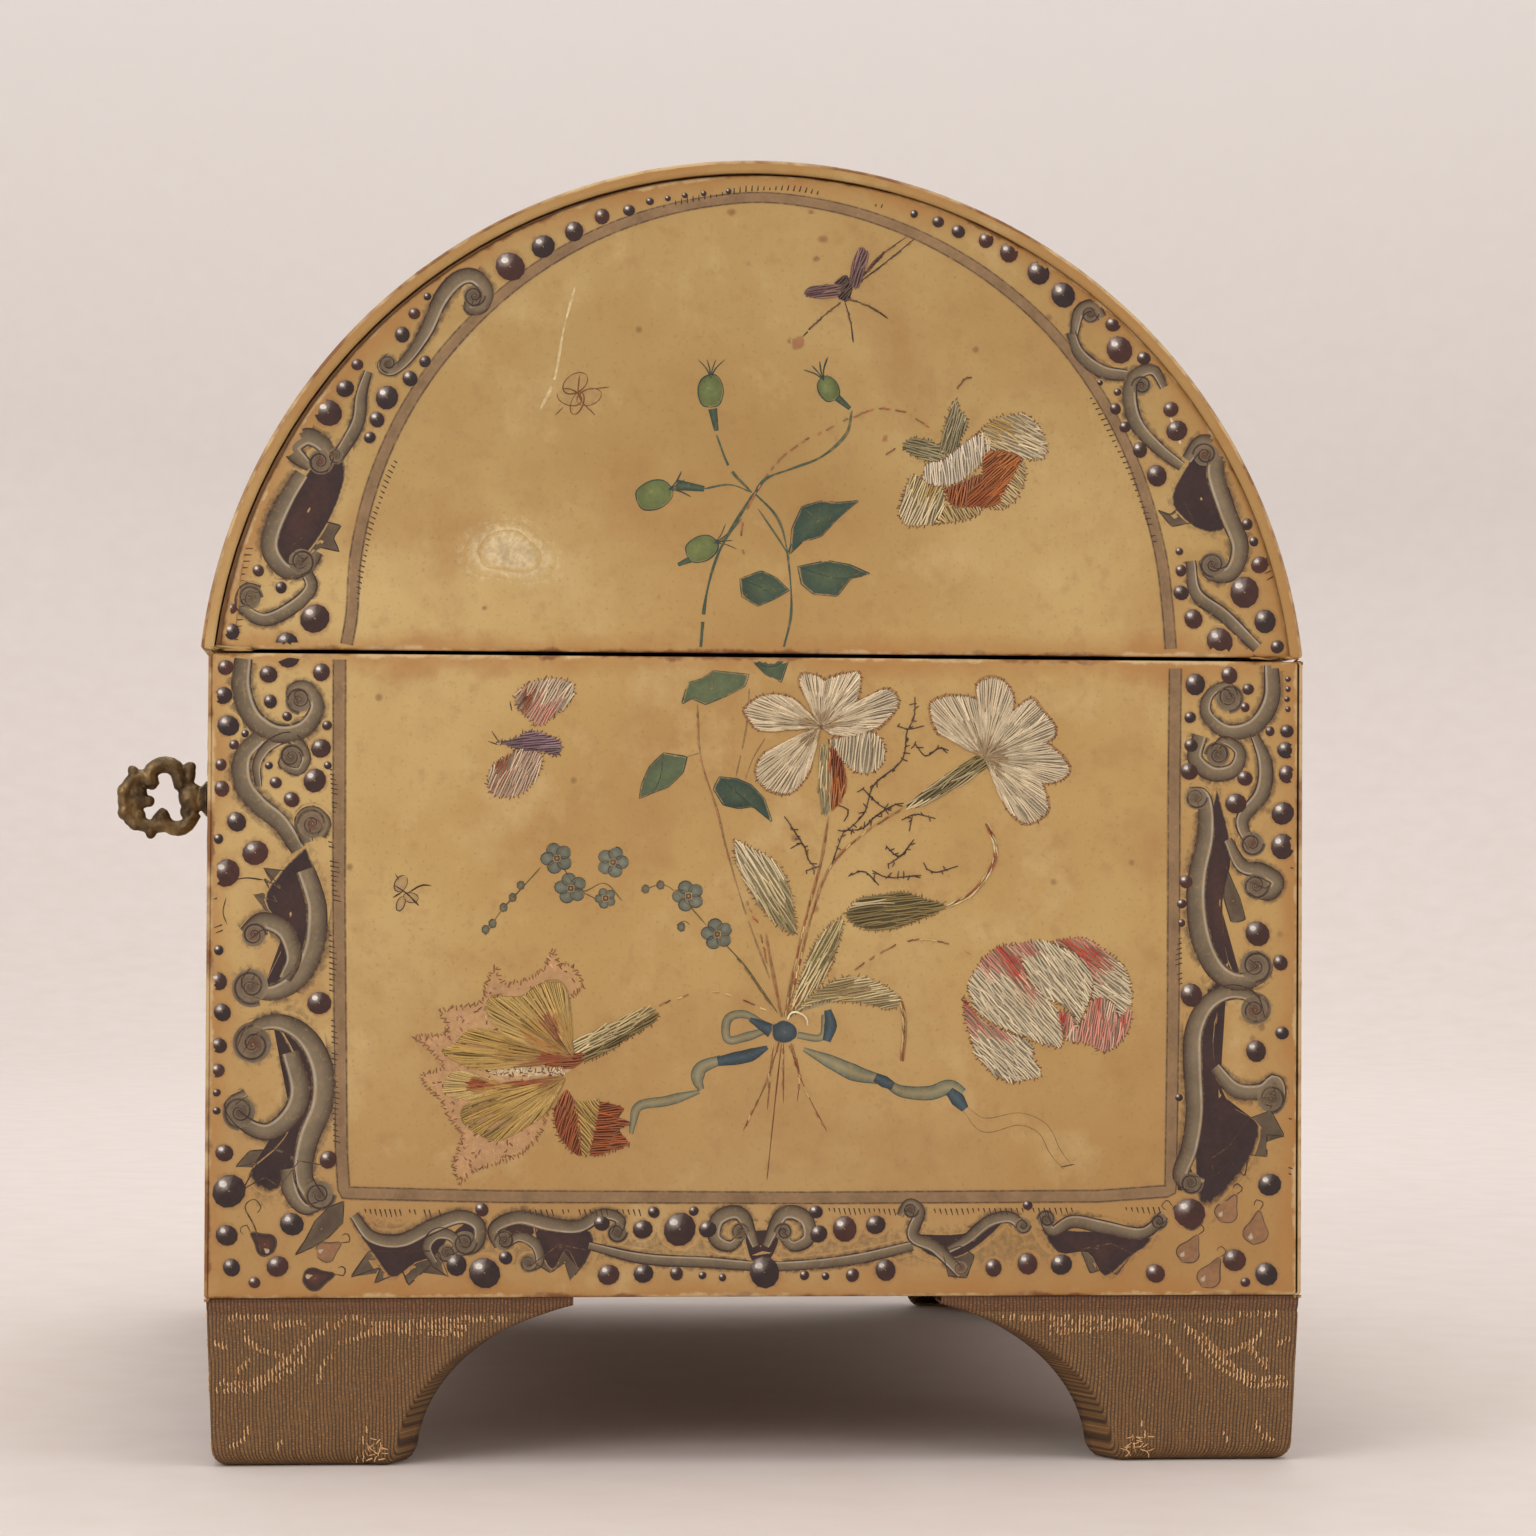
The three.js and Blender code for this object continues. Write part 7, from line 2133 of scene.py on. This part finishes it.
def make_silk():
    material, recipe, shader, spot = new_material("lining_silk")
    warp = recipe.add("ShaderNodeTexWave", {"Vector": spot, "Scale": 420, "Distortion": 1.2,
                                            "Detail": 2}, bands_direction="DIAGONAL").outputs["Fac"]
    cloud = recipe.noise(spot, 14, 4)
    laid = recipe.add("ShaderNodeMapping", {"Vector": spot, "Scale": (40, 40, 900)}).outputs[0]
    slub = recipe.noise(laid, 1, 3)
    tone = recipe.mix(recipe.spread(cloud, 0.3, 0.7), linear(176, 140, 84), linear(196, 164, 108))
    tone = recipe.tint(tone, slub, 0.5, 0.8, 0.5, linear(150, 112, 66))
    tone = recipe.mix(recipe.math("MULTIPLY", warp, 0.2), tone, linear(120, 88, 52))
    recipe.wire(shader, {"Base Color": tone, "Roughness": recipe.spread(slub, 0.3, 0.8, 0.35, 0.55),
                         "Normal": recipe.bump(warp, 0.25, 0.0002),
                         "Sheen Weight": 0.35, "Sheen Roughness": 0.4})
    return material


silk = make_silk()


def even_lines(low, high, cell):
    """Evenly spaced lines, with closer ones at both ends where the silk turns over its card."""
    return np.unique(np.concatenate([[low + t for t in turned_edge], [high - t for t in turned_edge],
                                     np.linspace(low + 2.6, high - 2.6, max(3, int((high - low) / cell)))]))


def stretched_height(gap, a, b):
    """How far stretched silk stands off its card: pulled tight at its edges, puckered near them."""
    fall = 0.35 * np.exp(-gap / 0.45)
    return pucker * np.exp(-gap / 16) * np.sin(a / 3.7 + b / 3.1) * np.clip(gap / 2, 0, 1) - fall


def make_wall_lining(name, node, across, out):
    """A flat panel: across is the axis it runs along, out the way its silk faces."""
    low, high = [np.array(v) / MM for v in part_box(node)]
    axis, face = "xyz".index(across), "xyz".index(out[1])
    a = even_lines(low[axis], high[axis], lining_cell)
    b = even_lines(low[2], high[2], lining_cell)
    a, b = np.meshgrid(a, b)
    gap = np.minimum(np.minimum(a - low[axis], high[axis] - a), np.minimum(b - low[2], high[2] - b))
    sign = 1 if out[0] == "+" else -1
    front = high[face] if sign > 0 else low[face]
    points = np.zeros((*a.shape, 3))
    points[..., axis] = a
    points[..., 2] = b
    points[..., face] = front + sign * (stretched_height(gap, a, b) - silk_ease)
    faces = grid_faces(*a.shape)
    mirrored = np.cross(np.eye(3)[axis], (0, 0, 1))[face] * sign < 0
    faces = [f[::-1] for f in faces] if mirrored else faces
    panel = add_piece(name, points * MM, faces, silk, "case")
    thicken(panel, lining_thickness * MM)
    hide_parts(node)


make_wall_lining("lining_front", "front_lining", "x", "+y")
make_wall_lining("lining_back", "back_lining", "x", "-y")
make_wall_lining("lining_left_end", "left_end_lining", "y", "+x")
make_wall_lining("lining_right_end", "right_end_lining", "y", "-x")


def make_dome_lining():
    """The lining under the dome, bent to its arch."""
    low, high = [np.array(v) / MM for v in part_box("dome_lining")]
    card, ease, foot = 0.8, 0.05, 0.3
    radius = high[2] - arch_z / MM - card + ease
    start = math.asin((low[2] + foot - arch_z / MM) / radius)
    length = radius * (math.pi - 2 * start)
    a = even_lines(low[0], high[0], lining_cell * 1.6)
    v = even_lines(0, length, lining_cell * 0.7)
    a, v = np.meshgrid(a, v)
    gap = np.minimum(np.minimum(a - low[0], high[0] - a), np.minimum(v, length - v))
    lift = stretched_height(gap, a, v) - ease
    angle = start + v / radius
    points = np.stack([a, arch_y / MM - (radius - lift) * np.cos(angle),
                       arch_z / MM + (radius - lift) * np.sin(angle)], -1)
    faces = [f[::-1] for f in grid_faces(*a.shape)]
    panel = add_piece("lining_dome", points * MM, faces, silk, "lid")
    thicken(panel, lining_thickness * MM)
    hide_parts("dome_lining")


make_dome_lining()


def make_lid_end_lining(name, node, sign):
    """A half-round panel inside one end of the lid, its silk facing into the lid."""
    low, high = [np.array(v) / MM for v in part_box(node)]
    rings, sides, base_sides, heart_height, reach = 22, 90, 44, 40, 64
    centre = arch_z / MM
    radius = high[2] - centre
    start = math.asin(np.clip((low[2] - centre) / radius, -1, 1))
    arc = np.linspace(start, math.pi - start, sides + 1)
    rim = np.stack([radius * np.cos(arc), centre + radius * np.sin(arc)], 1)
    half = (high[1] - low[1]) / 2
    rim[:, 0] = np.clip(rim[:, 0], -half, half)
    base = np.linspace(rim[-1, 0], rim[0, 0], base_sides + 1)[1:-1]
    outline = np.concatenate([rim, np.stack([base, np.full(len(base), low[2])], 1)])
    heart = np.array([0, low[2] + heart_height])
    shares = np.concatenate([1 - np.array(turned_edge) / reach, np.linspace(0.955, 0.04, rings)])
    front = (low[0] + silk_ease) if sign > 0 else (high[0] - silk_ease)
    points = []
    for share in shares:
        spots = heart + share * (outline - heart)
        lift = stretched_height(np.full(len(spots), (1 - share) * reach), *spots.T)
        points.append(np.stack([front - sign * lift, arch_y / MM + spots[:, 0], spots[:, 1]], 1))
    points.append([[front, arch_y / MM + heart[0], heart[1]]])
    points = np.concatenate(points)
    faces = fan_faces(len(shares), len(outline))
    faces = [f[::-1] for f in faces] if sign > 0 else faces
    panel = add_piece(name, points * MM, faces, silk, "lid")
    thicken(panel, lining_thickness * MM)
    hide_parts(node)


make_lid_end_lining("lining_lid_right_end", "lid_right_end_lining", 1)
make_lid_end_lining("lining_lid_left_end", "lid_left_end_lining", -1)


def pad_lines(low, high):
    """Evenly spaced lines, with closer ones at both ends where the cushion rounds over."""
    ends = [low, low + 0.5, low + 1.6, high - 1.6, high - 0.5, high]
    return np.unique([*ends, *np.linspace(low + 3, high - 3, int((high - low) / pad_cell))])


def rounded(gap, width):
    """The share of its full height that a rounded edge has reached at a distance from it."""
    return np.sqrt(np.clip(1 - (1 - np.clip(gap / width, 0, 1)) ** 2, 0, 1))


def make_floor_pad():
    """The cushion: a flat underside, a crown stitched through in diamonds, and the two sewn together."""
    low, high = [np.array(v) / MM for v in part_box("floor_pad")]
    x, y = np.meshgrid(pad_lines(low[0], high[0]), pad_lines(low[1], high[1]))
    gap = np.minimum(np.minimum(x - low[0], high[0] - x), np.minimum(y - low[1], high[1] - y))
    top, middle_z, half = high[2], (low[2] + high[2]) / 2, (high[2] - low[2]) / 2
    one = np.abs(((x + y) / pad_diamond + 0.5) % 1 - 0.5) * pad_diamond
    other = np.abs(((x - y) / pad_diamond + 0.5) % 1 - 0.5) * pad_diamond
    dip = pad_dip * np.maximum(np.exp(-(one / pad_seam) ** 2), np.exp(-(other / pad_seam) ** 2))
    upper = middle_z + half * rounded(gap, pad_crown) - dip * np.clip(gap / pad_crown, 0, 1)
    lower = middle_z - half * rounded(gap, pad_base)
    rows, columns = x.shape
    points = np.concatenate([np.stack([x, y, upper], -1).reshape(-1, 3),
                             np.stack([x, y, lower], -1).reshape(-1, 3)])
    faces = grid_faces(rows, columns)
    count = rows * columns
    faces += [tuple(count + i for i in reversed(f)) for f in grid_faces(rows, columns)]
    pad = add_piece("floor_cushion", points * MM, faces, silk, "case")
    weld = pad.modifiers.new("sewn_edge", "WELD")
    weld.merge_threshold = 0.01 * MM
    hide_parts("floor_pad")


make_floor_pad()

# Lock and hinges
# Filed iron for the lock, its bolt, spring and staple. Cast and filed brass, darkened by age, for the
# butt hinges, their screws and the escutcheon round the keyhole.
iron_nodes = ["lock_plate", "lock_case", "lock_bolt", "lock_spring", "lock_left_screw", "lock_right_screw",
              "lid_staple", "staple_left_screw", "staple_right_screw"]
brass_nodes = ["escutcheon", "escutcheon_upper_pin", "escutcheon_lower_pin"]
for hinge_side in ("left", "right"):
    brass_nodes += [f"{hinge_side}_case_hinge_leaf", f"{hinge_side}_lid_hinge_leaf",
                    f"{hinge_side}_hinge_pin"]
    for screw_place in ("outer", "inner"):
        brass_nodes += [f"{hinge_side}_{screw_place}_{leaf}_hinge_screw" for leaf in ("case", "lid")]


def make_tarnish():
    """Node group: where a metal has darkened, and the fine scratches of its filing."""
    group, recipe = new_group("tarnish", "ShaderNodeTree",
                              {"Spot": "Vector", "Bright": "Color", "Dark": "Color", "Spots": "Float"},
                              {"Colour": "Color", "Roughness": "Float", "Normal": "Vector"})
    given = recipe.add("NodeGroupInput")
    spot = given.outputs["Spot"]
    cloud = recipe.noise(spot, 160, 5, 0.65)
    fine = recipe.noise(spot, 900, 3, 0.6)
    drawn = recipe.add("ShaderNodeMapping", {"Vector": spot, "Scale": (180, 2600, 2600)}).outputs[0]
    scratch = recipe.noise(drawn, 1, 2, 0.5)
    share = recipe.spread(recipe.math("ADD", cloud, given.outputs["Spots"]), 0.85, 1.2)
    tone = recipe.mix(share, given.outputs["Bright"], given.outputs["Dark"])
    tone = recipe.mix(recipe.spread(fine, 0.55, 0.75, 0, 0.4), tone, given.outputs["Dark"])
    dull = recipe.spread(share, 0, 1, 0.3, 0.6)
    rough = recipe.math("ADD", scratch, recipe.math("MULTIPLY", cloud, 0.8))
    recipe.add("NodeGroupOutput", {"Colour": tone, "Roughness": dull,
                                   "Normal": recipe.bump(rough, 0.35, 0.0002)})
    return group


tarnish = make_tarnish()


def make_metal(name, bright, dark, spots, gloss):
    """A metal from bright to dark, with so many dark spots and so much of a metal's gloss."""
    material, recipe, shader, spot = new_material(name)
    aged = recipe.add("ShaderNodeGroup", {"Spot": spot, "Bright": bright, "Dark": dark, "Spots": spots},
                      node_tree=tarnish).outputs
    recipe.wire(shader, {"Base Color": aged["Colour"], "Roughness": aged["Roughness"],
                         "Normal": aged["Normal"], "Metallic": gloss})
    return material


iron = make_metal("filed_iron", linear(118, 112, 106), linear(62, 50, 42), 0.5, 0.85)
brass = make_metal("aged_brass", linear(176, 142, 84), linear(92, 66, 38), 0.48, 0.9)
for nodes, metal in ((iron_nodes, iron), (brass_nodes, brass)):
    for node in nodes:
        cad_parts[node].material_slots[0].material = metal

# Key
# Cast bronze, its bow pierced with scrolls and shells and chased by hand, bright in some places and darkened
# in others.
# The shank and the bit are filed square and true.
key_bow_height, key_bow_reach = 130.0, -111.64
bow_ripple, ripple_turn, bow_flatness = 0.12, 1.9, 0.8
key_voxel = 0.24
key_bronze = make_metal("key_bronze", linear(150, 124, 84), linear(66, 54, 42), 0.55, 0.8)
bow_scrolls = {
    "top": (1.5, (-2.4, 3.4), (-2.9, 5.4), (-1.4, 7.0), (1.0, 7.3), (2.9, 6.4), (3.9, 4.8), (4.6, 3.1)),
    "leaf": (1.3, (3.6, 5.6), (5.2, 6.4), (6.3, 7.1)),
    "right": (1.8, (4.6, 3.1), (6.2, 1.9), (7.2, 0.3), (6.8, -1.5), (5.9, -2.9)),
    "bottom": (1.35, (0.2, -3.8), (1.1, -5.6), (3.0, -6.4), (5.0, -6.0), (6.6, -4.8), (6.9, -3.0)),
    "shell": (1.5, (-2.4, 3.6), (-4.4, 4.9), (-5.9, 4.4), (-6.4, 2.4), (-5.0, 1.2)),
    "side": (1.6, (-5.2, 1.6), (-7.2, 0.5), (-7.9, -1.3), (-7.1, -3.3), (-5.4, -3.9)),
    "tail": (1.4, (-6.4, -2.4), (-6.2, -4.6), (-4.3, -5.6), (-2.6, -6.7), (-1.3, -6.0), (0.2, -3.9)),
    "tongue": (1.1, (-5.6, -1.2), (-4.1, -1.0), (-3.0, -0.5)),
    "spur": (0.9, (-1.5, -4.7), (-0.6, -3.6), (0.1, -2.9)),
}
bow_knobs = [(-3.0, -0.6, 1.35), (-6.2, 5.5, 1.2), (-8.0, 0.6, 1.25), (-7.4, -4.9, 1.25), (-2.5, -7.6, 1.1),
             (6.4, 7.2, 1.2), (4.9, -6.6, 1.2), (-0.9, 7.9, 1.1), (2.4, 7.5, 1.1), (7.9, 0.4, 1.9)]


def ball(centre, size):
    """The points and faces of a round lump, size being its three half widths."""
    rings, sides = 8, 12
    points, faces = [(0, 0, 1)], []
    for ring in range(1, rings):
        angle = math.pi * ring / rings
        for side in range(sides):
            turn = 2 * math.pi * side / sides
            points.append((math.sin(angle) * math.cos(turn), math.sin(angle) * math.sin(turn),
                           math.cos(angle)))
    points.append((0, 0, -1))
    last = len(points) - 1
    for side in range(sides):
        n = (side + 1) % sides
        faces.append((0, 1 + side, 1 + n))
        for ring in range(rings - 2):
            a, b = 1 + ring * sides, 1 + (ring + 1) * sides
            faces.append((a + side, b + side, b + n, a + n))
        faces.append((last, last - sides + n, last - sides + side))
    return np.array(centre) + np.array(points) * size, faces


def make_key():
    """The plain key with lumps of scroll and shell on its bow, cast together into one skin."""
    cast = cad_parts["key"].data
    points = [np.array([v.co for v in cast.vertices])]
    faces = [tuple(p.vertices) for p in cast.polygons]
    count = len(points[0])
    lumps = []
    for radius, *path in bow_scrolls.values():
        line = smooth_path(path, 6)
        for step, (across, up) in enumerate(line):
            swell = 1 + bow_ripple * math.sin(step * ripple_turn)
            lumps.append((across, up, radius * swell * bow_flatness, radius * swell))
    lumps += [(across, up, radius, radius) for across, up, radius in bow_knobs]
    for across, up, thick, size in lumps:
        centre = (0, key_bow_reach + across, key_bow_height + up)
        made, sides = ball(centre, (thick, size, size))
        points.append(made * MM)
        faces += [tuple(count + i for i in face) for face in sides]
        count += len(made)
    key = add_piece("bronze_key", np.concatenate(points), faces, key_bronze, "key")
    weld = key.modifiers.new("joined", "WELD")
    weld.merge_threshold = 0.005 * MM
    cast_skin = key.modifiers.new("casting", "REMESH")
    cast_skin.mode = "VOXEL"
    cast_skin.voxel_size = key_voxel * MM
    cast_skin.use_smooth_shade = True
    worn = key.modifiers.new("wear", "SMOOTH")
    worn.factor, worn.iterations = 0.5, 4
    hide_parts("key")


make_key()
